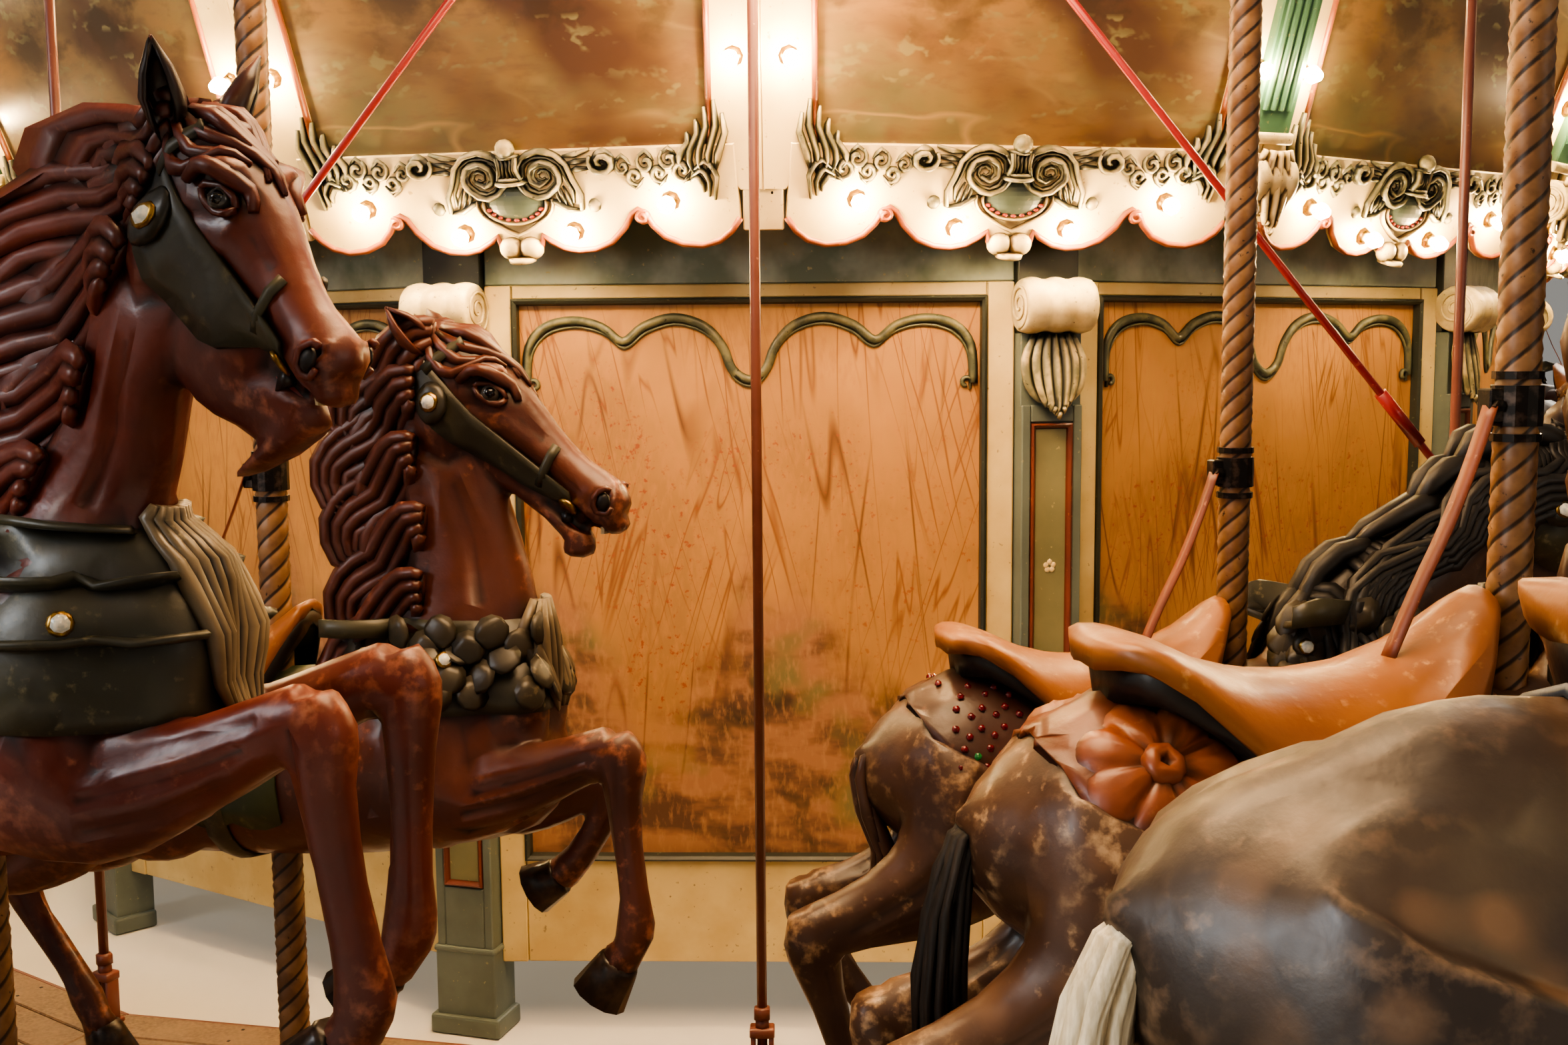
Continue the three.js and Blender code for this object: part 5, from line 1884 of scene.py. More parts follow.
def thinned(mesh, count):
    """The mesh with about count triangles, kept dense where it curves."""

    def build(obj):
        decimate = obj.modifiers.new("thin", "DECIMATE")
        faces = sum(len(p.vertices) - 2 for p in mesh.polygons)
        decimate.ratio = min(1.0, count / faces)

    return evaluated(mesh, build)


def distance_to_line(x, z, points):
    """Least distance from a point to a line through (x, z) points."""
    best = 1e9
    for (ax, az), (bx, bz) in zip(points, points[1:]):
        dx, dz = bx - ax, bz - az
        t = ((x - ax) * dx + (z - az) * dz) / (dx * dx + dz * dz)
        t = min(max(t, 0.0), 1.0)
        best = min(best, math.hypot(x - ax - t * dx, z - az - t * dz))
    return best


# A groove fades out at this many times its width.
GROOVE_REACH = 2.4


def cut_grooves(mesh):
    """Pushes the skin in along each groove, on both sides of the horse."""
    spans = []
    for points, width, _, _ in GROOVES:
        xs, zs = [p[0] for p in points], [p[1] for p in points]
        reach = GROOVE_REACH * width
        spans.append((min(xs) - reach, max(xs) + reach, min(zs) - reach, max(zs) + reach))
    normals = [v.normal.copy() for v in mesh.vertices]
    for v, normal in zip(mesh.vertices, normals):
        x, y, z = v.co
        push = 0.0
        for (points, width, depth, least), (x0, x1, z0, z1) in zip(GROOVES, spans):
            if x0 < x < x1 and z0 < z < z1 and abs(y) > least and abs(normal.y) > 0.25:
                near = distance_to_line(x, z, points) / width
                if near < GROOVE_REACH:
                    push += depth * math.exp(-near * near)
        if push > 0:
            v.co -= normal * push
    mesh.update()
    return mesh


def ear_mesh(material, side, laid_back):
    """A cupped ear that opens forwards and outwards."""
    bm = bmesh.new()
    base = Vector((0.258, side * 0.042, 1.552))
    rise = Vector((0.030 - 0.080 * laid_back, side * 0.054, 0.122 - 0.044 * laid_back))
    along = rise.normalized()
    out = Vector((0.70, side * 0.72, 0.0))
    out = (out - along * out.dot(along)).normalized()
    across = along.cross(out)
    loops = []
    for t, radius in ((0.0, 0.024), (0.2, 0.031), (0.42, 0.032), (0.66, 0.024), (0.86, 0.012), (1.0, 0.002)):
        ring = []
        for j in range(10):
            angle = math.radians(38 + 284 * j / 9)
            way = out * math.cos(angle) * 0.8 + across * math.sin(angle)
            ring.append(bm.verts.new(base + rise * t - out * 0.010 * t * t + way * radius))
        loops.append([bm.edges.new(pair) for pair in zip(ring, ring[1:])])
    bridged(bm, loops)
    bmesh.ops.recalc_face_normals(bm, faces=bm.faces[:])
    bmesh.ops.solidify(bm, geom=bm.faces[:], thickness=0.006)
    return mesh_of(bm, "ear", material)


def trunk_mesh():
    """Torso, neck and head, without the legs; the tack is laid on this."""
    bm = bmesh.new()
    for rows, sides in ((TORSO, 20), (NECK, 18), (HEAD, 16), (JAW, 12)):
        limb(bm, rows, sides)
    for x, y, z, a, b, c in MASSES:
        for side in (-1, 1) if y else (1,):
            ball(bm, (x, side * y, z), 1.0, 16, 12, (a, b, c))
    for v in bm.verts:
        if v.co.x < 0.2:
            v.co.y *= 1 - 0.34 * eased(0.79, 0.96, v.co.z)
    mesh = bpy.data.meshes.new("trunk")
    bmesh.ops.recalc_face_normals(bm, faces=bm.faces[:])
    bm.to_mesh(mesh)
    bm.free()
    return mesh


# Grain and smoothing of the skin that fuses a body, and its triangles after the cuts.
SKIN_VOXEL = 0.0075
SKIN_ROUNDS = 4
BODY_TRIANGLES = 12000


def body_mesh(trunk, forelegs):
    """The whole bare horse as one skin."""
    bm = bmesh.new()
    bm.from_mesh(trunk)
    for y, rows in forelegs + HINDLEGS:
        limb(bm, rows, 12, y)
    ball(bm, (-0.728, 0.0, 0.788), 1.0, 12, 8, (0.034, 0.024, 0.026))
    raw = bpy.data.meshes.new("raw_body")
    bmesh.ops.recalc_face_normals(bm, faces=bm.faces[:])
    bm.to_mesh(raw)
    bm.free()
    skin = cut_grooves(one_skin(raw, SKIN_VOXEL, SKIN_ROUNDS))
    skin = mark_cavities(thinned(skin, BODY_TRIANGLES))
    for polygon in skin.polygons:
        polygon.use_smooth = True
    return skin


# Rays that look for the skin start this far from the horse's middle.
BESIDE = 0.6


def surface_tree(mesh):
    """What rays are cast against, from a mesh."""
    bm = bmesh.new()
    bm.from_mesh(mesh)
    tree = BVHTree.FromBMesh(bm)
    bm.free()
    return tree


def flank(tree, x, z, side, fallback=0.05):
    """The point of the horse's side at (x, z), and the direction out of it."""
    hit, normal, _, _ = tree.ray_cast(Vector((x, side * BESIDE, z)), Vector((0, -side, 0)))
    if hit is None:
        return Vector((x, side * fallback, z)), Vector((0, side, 0))
    if normal.y * side < 0:
        normal = -normal
    return hit, normal


def ribbon(bm, rows):
    """A flat strap through rows of (point, direction out, half width, half thickness)."""
    frames = []
    for i, (point, out, wide, thick) in enumerate(rows):
        before, after = rows[max(i - 1, 0)][0], rows[min(i + 1, len(rows) - 1)][0]
        frames.append(ring_frame(point + out * thick * 0.6, after - before, out, wide, thick))
    return loft(bm, frames, 6)


def side_strap(bm, tree, points, wide, thick):
    """A strap laid on each flank along (x, z) points."""
    path = smooth_path(points, 3)
    for side in (-1, 1):
        ribbon(bm, [(*flank(tree, x, z, side), wide, thick) for x, z in path])


def hoop(tree, centre, u, v, start, end, count):
    """Points and outward directions where rays towards a centre meet the horse."""
    found = []
    centre, u, v = Vector(centre), Vector(u).normalized(), Vector(v).normalized()
    for i in range(count + 1):
        angle = math.radians(start + (end - start) * i / count)
        way = u * math.cos(angle) + v * math.sin(angle)
        hit, normal, _, _ = tree.ray_cast(centre + way * 0.7, -way)
        if hit is not None:
            if normal.dot(way) < 0:
                normal = -normal
            found.append((hit, (normal + way * 0.5).normalized()))
    return found


# How far the middle of a lock lies from the skin.
LOCK_LIFT = 0.012


def lock_of_hair(bm, tree, points, wide, chance, side, strands):
    """A carved lock: a bed with tapered strands on it, along one waving (x, z) path on the neck."""
    path = smooth_path(points, 2)
    count = len(path)
    last = 0.03
    middle = []
    for x, z in path:
        hit, _, _, _ = tree.ray_cast(Vector((x, side * BESIDE, z)), Vector((0, -side, 0)))
        last = abs(hit.y) if hit is not None else max(last - 0.006, 0.010)
        middle.append(Vector((x, side * (last + LOCK_LIFT), z)))
    ways = [(middle[min(i + 1, count - 1)] - middle[max(i - 1, 0)]).normalized() for i in range(count)]
    swells = [math.sin(math.pi * min(0.14 + 0.84 * i / (count - 1), 0.985)) ** 0.6 for i in range(count)]
    bed = []
    for point, swell in zip(middle, swells):
        half = wide * 0.56 * swell + 0.002
        bed.append((point.x, point.y - side * 0.008, point.z, half, 0.014 * swell + 0.002))
    tube(bm, bed, up=(0, side, 0.05), sides=6, steps=1)
    for s in range(strands):
        shift = (s - (strands - 1) / 2) / (strands - 1)
        wave = chance.uniform(-0.4, 0.4)
        rows = []
        for i, (point, way, swell) in enumerate(zip(middle, ways, swells)):
            across = Vector((-way.z, 0, way.x)).normalized()
            spread = (shift * swell + 0.09 * math.sin(5.0 * i / (count - 1) + wave)) * wide
            out = (0.42 - shift * shift) * wide * 0.22 * swell
            at = point + across * spread + Vector((0, side * out, 0))
            rows.append((*at, wide * 0.185 * swell + 0.0015, wide * 0.150 * swell + 0.0015))
        tube(bm, rows, up=(0, side, 0.05), sides=5, steps=1)


# Crest of the neck from the poll down to the withers.
CREST = mm((
    (190, 1560), (150, 1500), (142, 1420), (150, 1330), (160, 1230), (158, 1130), (140, 1040),
    (95, 975),
))
# How a lock leaves the crest: swept back in an S, or falling down the side of the neck.
SWEPT_LOCK = mm((
    (85, 30), (55, 28), (15, 0), (-20, -48), (-62, -70), (-98, -105), (-92, -150), (-58, -168),
))
FALLING_LOCK = mm((
    (0, 22), (45, 10), (62, -50), (40, -110), (48, -165), (80, -210), (74, -250), (50, -272),
))
# Locks of the forelock: (how far along the brow line, sideways) points, laid on the skin.
FORELOCK = mm((
    ((205, 0), (255, -22), (305, -30), (350, -12), (395, 8), (430, 4)),
    ((205, 14), (250, 28), (295, 50), (335, 46), (375, 26)),
    ((205, -14), (245, -40), (280, -60), (320, -64), (355, -46), (385, -24)),
    ((205, 4), (250, 8), (300, 20), (350, 18), (410, -10)),
))


def mane_mesh(tree, material, chance, falling):
    """The mane, in waving locks down the neck, and a forelock laid over the brow."""
    bm = bmesh.new()
    crest = smooth_path(CREST, 3)
    count = 8 if falling else 5
    shape = FALLING_LOCK if falling else SWEPT_LOCK
    for side in (-1, 1):
        for i in range(count):
            x, z = crest[int((i + 0.25) / count * (len(crest) - 1))]
            size = chance.uniform(0.92, 1.10)
            grow = size * (1.0 + 0.20 * math.sin(math.pi * i / count))
            points = [(x + 0.010 + dx * size, z + dz * grow) for dx, dz in shape]
            lock_of_hair(bm, tree, points, 0.066 if falling else 0.088, chance, side, 5 if falling else 4)
    for i in range(7):
        x, z = crest[int(i / 6 * 0.92 * (len(crest) - 1))]
        back = 0.0 if falling else 0.035
        for y in (-0.020, 0.020):
            rows = [(x + 0.050, y * 0.6, z + 0.018, 0.018, 0.014), (x + 0.006, y, z + 0.020, 0.024, 0.020),
                    (x - 0.016 - back * 0.6, y, z - 0.018, 0.024, 0.020),
                    (x - 0.012 - back, y, z - 0.070, 0.020, 0.017),
                    (x - back * 0.6, y * 0.5, z - 0.115, 0.006, 0.006)]
            tube(bm, rows, up=(0, 1, 0), sides=6, steps=2)
    down = Vector((-0.51, 0.0, -0.86))
    for line in FORELOCK:
        for shift in (-0.010, 0.0, 0.010):
            rows = []
            for i, (x, y) in enumerate(line):
                swell = math.sin(math.pi * (0.16 + 0.80 * i / (len(line) - 1)))
                start = Vector((x + 0.30, y + shift * swell, 1.58 - 0.50 * (x - 0.2) + 0.50))
                hit, _, _, far = tree.ray_cast(start, down, 0.74)
                if hit is not None and far > 0.3:
                    rows.append((*(hit - down * (0.005 - abs(shift) * 0.25)), 0.008 * swell + 0.002,
                                 0.010 * swell + 0.002))
            if len(rows) > 3:
                tube(bm, rows, up=(0, 0, 1), sides=5, steps=3)
    return mesh_of(bm, "mane", material)


def carved_tail_mesh(material, chance):
    """A slim carved tail that lies close behind the buttocks in waving strands."""
    bm = bmesh.new()
    for i in range(6):
        angle = 2 * math.pi * i / 6
        dx, dy = 0.010 * math.cos(angle), 0.017 * math.sin(angle)
        wave = chance.uniform(-0.006, 0.006)
        rows = [
            (-0.700 + dx * 0.4, dy * 0.4, 0.806, 0.010, 0.010), (-0.738 + dx, dy, 0.786, 0.012, 0.012),
            (-0.744 + dx, dy * 1.3 + wave, 0.730, 0.014, 0.014),
            (-0.728 + dx, dy * 1.6, 0.665, 0.015, 0.014),
            (-0.706 + dx, dy * 1.8 - wave, 0.610, 0.015, 0.014),
            (-0.706 + dx, dy * 1.5, 0.560, 0.012, 0.011),
            (-0.736 + dx, dy * 1.0 + wave, 0.505, 0.004, 0.004),
        ]
        tube(bm, rows, up=(0, 1, 0), sides=6, steps=2)
    return mesh_of(bm, "carved_tail", material)


def hair_tail_mesh(material, chance):
    """A tail of real hair: a thick hank of fine strands that hangs from the dock."""
    bm = bmesh.new()
    for _ in range(46):
        angle = chance.uniform(0, 2 * math.pi)
        radius = 0.020 * math.sqrt(chance.uniform(0.05, 1.0))
        dx, dy = radius * math.cos(angle), radius * math.sin(angle)
        low = chance.uniform(0.30, 0.44)
        rows = [
            (-0.715 + dx * 0.3, dy * 0.3, 0.790, 0.007, 0.007),
            (-0.745 + dx * 0.8, dy * 0.8, 0.770, 0.008, 0.008),
            (-0.768 + dx * 1.2, dy * 1.2, 0.690, 0.008, 0.008),
            (-0.780 + dx * 1.6, dy * 1.8, 0.560, 0.007, 0.007),
            (-0.778 + dx * 1.8, dy * 2.1 + chance.uniform(-0.01, 0.01), low, 0.002, 0.002),
        ]
        tube(bm, rows, up=(0, 1, 0), sides=4, steps=2)
    return mesh_of(bm, "hair_tail", material)


def hoof_mesh(material, forelegs):
    """Four hooves, each a flared cone with a hollow sole."""
    bm = bmesh.new()
    for y, top, sole, radius in HOOVES:
        if forelegs is LOW_FORELEGS and top[0] > 0:
            top, sole = ((0.672, 0.386), (0.622, 0.336)) if y < 0 else ((0.632, 0.400), (0.582, 0.350))
        along = Vector((sole[0] - top[0], 0, sole[1] - top[1]))
        frames = []
        for t, grow in ((-0.12, 0.78), (0.0, 0.86), (0.10, 0.84), (0.95, 1.10), (1.0, 1.12), (1.0, 0.84),
                        (0.86, 0.66)):
            at = Vector((top[0], y, top[1])) + along * t
            frames.append(side_frame(at.x, y, at.z, along, radius * grow * 0.90, radius * grow * 1.08))
        loft(bm, frames, 12)
    return mesh_of(bm, "hooves", material)


def jewel(bm_glass, bm_metal, point, out, radius):
    """A faceted glass jewel in a round setting."""
    lathe(bm_metal, ((0.0, -0.002), (radius * 1.25, -0.002), (radius * 1.28, 0.003), (radius * 1.05, 0.006),
                     (0.0, 0.004)),
          point, out, steps=10)
    lathe(bm_glass, ((radius * 1.0, 0.003), (radius * 0.92, 0.007), (radius * 0.55, 0.012), (0.0, 0.0135)),
          point, out, steps=8)


# The saddle from the cantle to the pommel: (x, height of its middle, half width, drop at its edge).
SADDLE_ROWS = mm((
    (-592, 1012, 40, 3), (-580, 1024, 84, 8), (-545, 1030, 116, 16), (-490, 1012, 138, 36),
    (-440, 988, 150, 66), (-370, 970, 164, 112), (-290, 966, 176, 180), (-210, 978, 176, 205),
    (-130, 1004, 152, 165), (-80, 1034, 115, 108), (-45, 1060, 78, 58), (-20, 1070, 46, 24),
))


def saddle_mesh(material, squeeze, sink, thick, grow):
    """One layer of the seat, from cantle to pommel and flap to flap, drawn through closed sections."""
    bm = bmesh.new()
    across = 10
    loops = []
    for x, z, half, drop in smooth_path(SADDLE_ROWS, 2):
        fat = thick * (1.0 + 0.5 * eased(-0.40, -0.56, x))
        deep = sink * (1.0 + 0.5 * eased(-0.40, -0.56, x))
        ring = []
        for inner in (0, 1):
            for j in range(across + 1):
                t = (2 * j / across - 1) * math.pi / 2 * (1 - 2 * inner)
                ring.append(bm.verts.new((
                    (x + 0.020) * squeeze * grow - 0.020, (half * grow - inner * fat * 0.5) * math.sin(t),
                    z - deep - drop * (1 - math.cos(t)) - inner * fat,
                )))
        loops.append([bm.edges.new((ring[k], ring[(k + 1) % len(ring)])) for k in range(len(ring))])
    bridged(bm, loops)
    for loop in (loops[0], loops[-1]):
        bmesh.ops.contextual_create(bm, geom=loop)
    mesh = mesh_of(bm, "saddle_layer", material)

    def build(obj):
        level = obj.modifiers.new("round", "SUBSURF")
        level.levels = 1
        level.render_levels = 1

    return evaluated(mesh, build)


def draped(tree, lines, material, name, thick, lift):
    """A sheet laid on the horse; each line is a row of (middle, way out), followed inwards to the skin."""
    bm = bmesh.new()
    loops, ways = [], {}
    for line in lines:
        verts = []
        for middle, way in line:
            hit, _, _, _ = tree.ray_cast(middle + way * BESIDE, -way)
            verts.append(bm.verts.new((hit or middle + way * 0.12) + way * lift))
            ways[verts[-1]] = way
        loops.append([bm.edges.new(pair) for pair in zip(verts, verts[1:])])
    bridged(bm, loops)
    bmesh.ops.recalc_face_normals(bm, faces=bm.faces[:])
    for f in bm.faces:
        if f.normal.dot(ways[f.verts[0]]) < 0:
            f.normal_flip()
    bmesh.ops.solidify(bm, geom=bm.faces[:], thickness=thick)
    return mesh_of(bm, name, material)


def over_back(rows):
    """Lines for a cloth over the back, from (x, how far round it reaches in degrees from the top)."""
    lines = []
    for x, reach in rows:
        turns = [math.radians(reach * j / 9) for j in range(-9, 10)]
        lines.append([(Vector((x, 0, 0.76)), Vector((0, math.sin(turn), math.cos(turn)))) for turn in turns])
    return lines


def down_side(rows, side):
    """Lines for a plate on one flank, from (x, top, bottom)."""
    way = Vector((0, side, 0))
    lines = []
    for x, top, low in rows:
        lines.append([(Vector((x, 0, top + (low - top) * j / 4)), way) for j in range(5)])
    return lines


def flower(bm, tree, x, z, side, radius, petals, grooves=4):
    """A carved rosette laid on the flank: broad petals with fine grooves that run out from a turned boss."""
    around_it = petals * grooves * 4
    centre, out = flank(tree, x, z, side)
    along = (Vector((1, 0, 0)) - out * out.x).normalized()
    rise = along.cross(out) if along.cross(out).z > 0 else out.cross(along)
    loops = []
    for i in range(8):
        t = 0.16 + 0.84 * i / 7
        ring = []
        for j in range(around_it):
            angle = 2 * math.pi * j / around_it
            petal = abs(math.cos(petals * angle / 2)) ** 0.5
            reach = radius * t * (0.80 + 0.20 * petal)
            spot = centre + along * reach * math.cos(angle) + rise * reach * math.sin(angle)
            hit, _, _, _ = tree.ray_cast(spot + out * 0.12, -out)
            cut = 0.0030 * math.cos(petals * grooves * angle) * t
            high = 0.012 + (0.009 * petal + cut) * math.sin(math.pi * (0.14 + 0.80 * t))
            ring.append(bm.verts.new((hit or spot) + out * (high if i < 7 else 0.004)))
        loops.append([bm.edges.new((ring[j], ring[(j + 1) % around_it])) for j in range(around_it)])
    bridged(bm, loops)
    button = ((0.27, 0.0), (0.27, 0.020), (0.20, 0.029), (0.10, 0.030), (0.07, 0.016), (0.0, 0.014))
    lathe(bm, [(radius * share, height) for share, height in button], centre, out, steps=14)


# The wide cheek piece of the bridle: (x, upper edge, lower edge).
CHEEK_PIECE = mm((
    (222, 1578, 1500), (240, 1556, 1462), (262, 1530, 1424), (290, 1503, 1396), (320, 1470, 1372),
    (350, 1436, 1352), (385, 1406, 1334), (430, 1368, 1306), (480, 1328, 1278), (530, 1288, 1252),
))
# Narrow straps over the brow and down to the bit: (x, z) points, half width, half thickness.
BRIDLE_STRAPS = (
    (mm(((262, 1512), (300, 1545), (330, 1566))), 0.012, 0.006),
    (mm(((470, 1300), (492, 1345), (506, 1372))), 0.010, 0.005),
)
# The round boss under the ear and the ring of the bit, as (x, z).
BOSS_PLACE = (0.280, 1.452)
BIT_PLACE = (0.526, 1.262)
# The collar goes round an upright line at this x, and its jewels sit at these steps of 42.
COLLAR_LINE = 0.10
COLLAR_JEWELS = (9, 15, 27, 33)


def tack_parts(tree, p):
    """Bridle, breast collar, girth, saddle cloth, saddle and jewels as meshes."""
    made = []
    straps, glass, metal, scales, shell, oval, red, green = (bmesh.new() for _ in range(8))
    for side in (-1, 1):
        made.append(draped(tree, down_side(smooth_path(CHEEK_PIECE, 2), side), p["strap"], "cheek_piece",
                           0.007, 0.006))
    for points, wide, thick in BRIDLE_STRAPS:
        side_strap(straps, tree, points, wide, thick)
    for side in (-1, 1):
        point, out = flank(tree, *BOSS_PLACE, side)
        verts = ball(oval, (0, 0, 0), 1.0, 14, 8, (0.032, 0.042, 0.012))
        bmesh.ops.transform(oval, matrix=facing(point + out * 0.006, out), verts=verts)
        jewel(glass, metal, point + out * 0.015, out, settings("horses").jewel_radius)
        point, out = flank(tree, *BIT_PLACE, side)
        lathe(metal, ((0.0, 0.0), (0.020, 0.0), (0.022, 0.006), (0.014, 0.009), (0.0, 0.009)), point, out,
              steps=10)
    tall = p["collar"]
    height = 1.050 - tall
    front = hoop(tree, (COLLAR_LINE, 0.0, height), (1, 0, 0.02), (0, 1, 0), -104, 104, 42)
    lines = []
    for step in range(11):
        z = height + tall * (1 - step / 5)
        turns = [math.radians(-108 + 6 * i) for i in range(37)]
        middle = Vector((COLLAR_LINE, 0, z))
        lines.append([(middle, Vector((math.cos(turn), math.sin(turn), 0))) for turn in turns])
    made.append(draped(tree, lines, p["strap"], "breast_collar", 0.010, 0.010))
    scale_rows = 0 if p["banded"] else 5
    for drop in (0.06, 0.66, 1.18) if p["banded"] else ():
        for start, end in ((-104, -10), (10, 104)):
            middle = (COLLAR_LINE, 0.0, height + tall * (1 - drop))
            line = hoop(tree, middle, (1, 0, 0.02), (0, 1, 0), start, end, 20)
            ribbon(straps, [(point, out, 0.007, 0.0215) for point, out in line])
    for i, (point, out) in enumerate(front):
        way = Vector((point.x - COLLAR_LINE, point.y, 0)).normalized()
        for row in range(scale_rows):
            if (i + row) % 2 == 0 and 0 < i < len(front) - 1:
                middle = Vector((COLLAR_LINE, 0, height + tall * 0.74 - 0.028 * row))
                hit, normal, _, _ = tree.ray_cast(middle + way * BESIDE, -way)
                if hit is None:
                    continue
                normal = normal if normal.dot(way) > 0 else -normal
                along = Vector((0, 0, 1)).cross(normal).normalized()
                up = normal.cross(along).normalized()
                spot = hit + normal * (0.024 - 0.0012 * row)
                verts = ball(scales, (0, 0, 0), 1.0, 10, 6, (0.033, 0.034, 0.0055))
                bmesh.ops.transform(scales, matrix=axes(along, up, normal - up * 0.14, spot), verts=verts)
        if i in COLLAR_JEWELS:
            jewel(glass, metal, point + out * 0.024, out, 0.0135)
    chest, out = front[len(front) // 2]
    for i in range(9):
        t = i / 4 - 1
        rows = []
        for s in range(6):
            z = chest.z + tall * (1.30 - 0.50 * s)
            y = t * 0.058 * math.sin(math.pi * min(0.12 + 0.16 * s, 0.97)) ** 0.7
            hit, normal, _, _ = tree.ray_cast(Vector((0.9, y, z)), Vector((-1, 0, 0)))
            if hit is not None:
                swell = math.sin(math.pi * min(0.20 + 0.15 * s, 0.96))
                rows.append((*(hit + Vector((0.022 - 0.006 * t * t, 0, 0))), 0.012 * swell + 0.002,
                             0.013 * swell + 0.002))
        tube(shell, rows, up=(1, 0, 0), sides=6, steps=2)
    girth = hoop(tree, (-0.16, 0.0, 0.72), (0, 0, 1), (0, 1, 0), 20, 340, 30)
    ribbon(straps, [(point, out, 0.026, 0.008) for point, out in girth])
    made.append(mesh_of(straps, "straps", p["strap"]))
    made.append(mesh_of(oval, "cheek_bosses", p["boss"]))
    made.append(mesh_of(scales, "collar_scales", p["scales"]))
    made.append(mesh_of(shell, "chest_shell", p["shell"]))
    rear = ((-0.662, 16), (-0.652, 42), (-0.636, 62), (-0.616, 78), (-0.590, 90), (-0.560, 100),
            (-0.520, 112), (-0.470, 120))
    cloth = [(x, reach) for x, reach in rear if p["squeeze"] == 1.0]
    cloth += [(-0.42 + 0.40 * i / 12, 124 + 5 * abs(math.sin(math.pi * i / 3))) for i in range(13)]
    made.append(draped(tree, over_back(cloth), p["cloth"], "saddle_cloth", 0.008, 0.009))
    if p["studs"]:
        for i in range(36):
            x = -0.600 + 0.115 * (i % 6) / 5 + 0.010 * (i // 6 % 2)
            z = 0.918 - 0.030 * (i // 6) - 0.012 * (i % 2)
            for side in (-1, 1):
                point, out = flank(tree, x, z, side)
                lathe(green if i == 19 else red, ((0.0075, 0.0), (0.0055, 0.005), (0.0, 0.007)),
                      point + out * 0.010, out)
    made.append(mesh_of(glass, "jewels", p["glass"]))
    made.append(mesh_of(red, "red_studs", p["ruby"]))
    made.append(mesh_of(green, "green_studs", p["emerald"]))
    made.append(mesh_of(metal, "settings", p["metal"]))
    made.append(saddle_mesh(p["saddle"], p["squeeze"], 0.0, 0.019, 1.0))
    # A black layer under the seat: painted shade for the dark under the cantle and along the flaps.
    made.append(saddle_mesh(p["under"], p["squeeze"], 0.020, 0.030, 0.955))
    return made


# The middle of an eye and of a nostril, as (x, z), and the line of a brow.
EYE = (0.388, 1.470)
NOSTRIL = (0.600, 1.272)
BROW = mm(((330, 1492), (355, 1512), (388, 1510), (420, 1484), (436, 1456)))
# How far a nostril lies from the middle where no ray meets the muzzle.
MUZZLE_HALF = 0.036


def face_parts(tree, p):
    """Eyes, lids, brows, flared nostrils, teeth and tongue."""
    made = []
    eyes, whites, lids, teeth, tongue, dark = (bmesh.new() for _ in range(6))
    for side in (-1, 1):
        point, out = flank(tree, *EYE, side)
        ball(whites, point - out * 0.005, 0.0190, 12, 10)
        ball(eyes, point + out * 0.0035, 1.0, 12, 10, (0.0125, 0.0125, 0.0125))
        for bow in (-1, 1):
            rows = []
            for i in range(7):
                angle = math.pi * i / 6
                x = EYE[0] + 0.027 * math.cos(angle)
                z = EYE[1] + bow * 0.017 * math.sin(angle) - 0.45 * 0.027 * math.cos(angle)
                spot, away = flank(tree, x, z, side)
                rows.append((*(spot + away * 0.004), 0.006, 0.006))
            tube(lids, rows, up=(0, side, 0), sides=6, steps=1)
        brow = []
        for i, (x, z) in enumerate(BROW):
            spot, away = flank(tree, x, z, side)
            thick = 0.006 + 0.007 * math.sin(math.pi * (i + 0.5) / 5)
            brow.append((*(spot + away * 0.002), thick, thick))
        tube(lids, brow, up=(0, side, 0), sides=7, steps=2)
        nostril = []
        for i in range(9):
            angle = math.radians(40 + 280 * i / 8)
            x = NOSTRIL[0] + 0.017 * math.cos(angle)
            z = NOSTRIL[1] + 0.022 * math.sin(angle) + 0.3 * 0.017 * math.cos(angle)
            spot, away = flank(tree, x, z, side, MUZZLE_HALF)
            nostril.append((*(spot + away * 0.004), 0.006, 0.006))
        tube(lids, nostril, up=(0, side, 0), sides=6, steps=1)
        spot, away = flank(tree, *NOSTRIL, side, MUZZLE_HALF)
        ball(dark, spot - away * 0.004, 1.0, 10, 8, (0.014, 0.008, 0.017))
    for i in range(6):
        angle = math.radians(-50 + 20 * i)
        for back, half, z in ((0.576, 0.024, 1.208), (0.530, 0.022, 1.192)):
            x, y = back + 0.018 * math.cos(angle), half * math.sin(angle)
            box(teeth, (x - 0.004, y - 0.0035, z), (x + 0.004, y + 0.0035, z + 0.014), 0.001)
    rows = [(0.440, 0.0, 1.290, 0.018, 0.008), (0.500, 0.0, 1.238, 0.018, 0.008),
            (0.540, 0.0, 1.208, 0.012, 0.005)]
    tube(tongue, rows, up=(0, 0, 1), sides=8, steps=2)
    made.append(mesh_of(eyes, "eyes", p["eye"]))
    made.append(mesh_of(whites, "eye_whites", p["white"]))
    made.append(mesh_of(lids, "brows_lids_nostrils", p["body"]))
    made.append(mesh_of(dark, "nostril_hollows", p["hollow"]))
    made.append(mesh_of(teeth, "teeth", p["teeth"], smooth=False))
    made.append(mesh_of(tongue, "tongue", p["tongue"]))
    return made


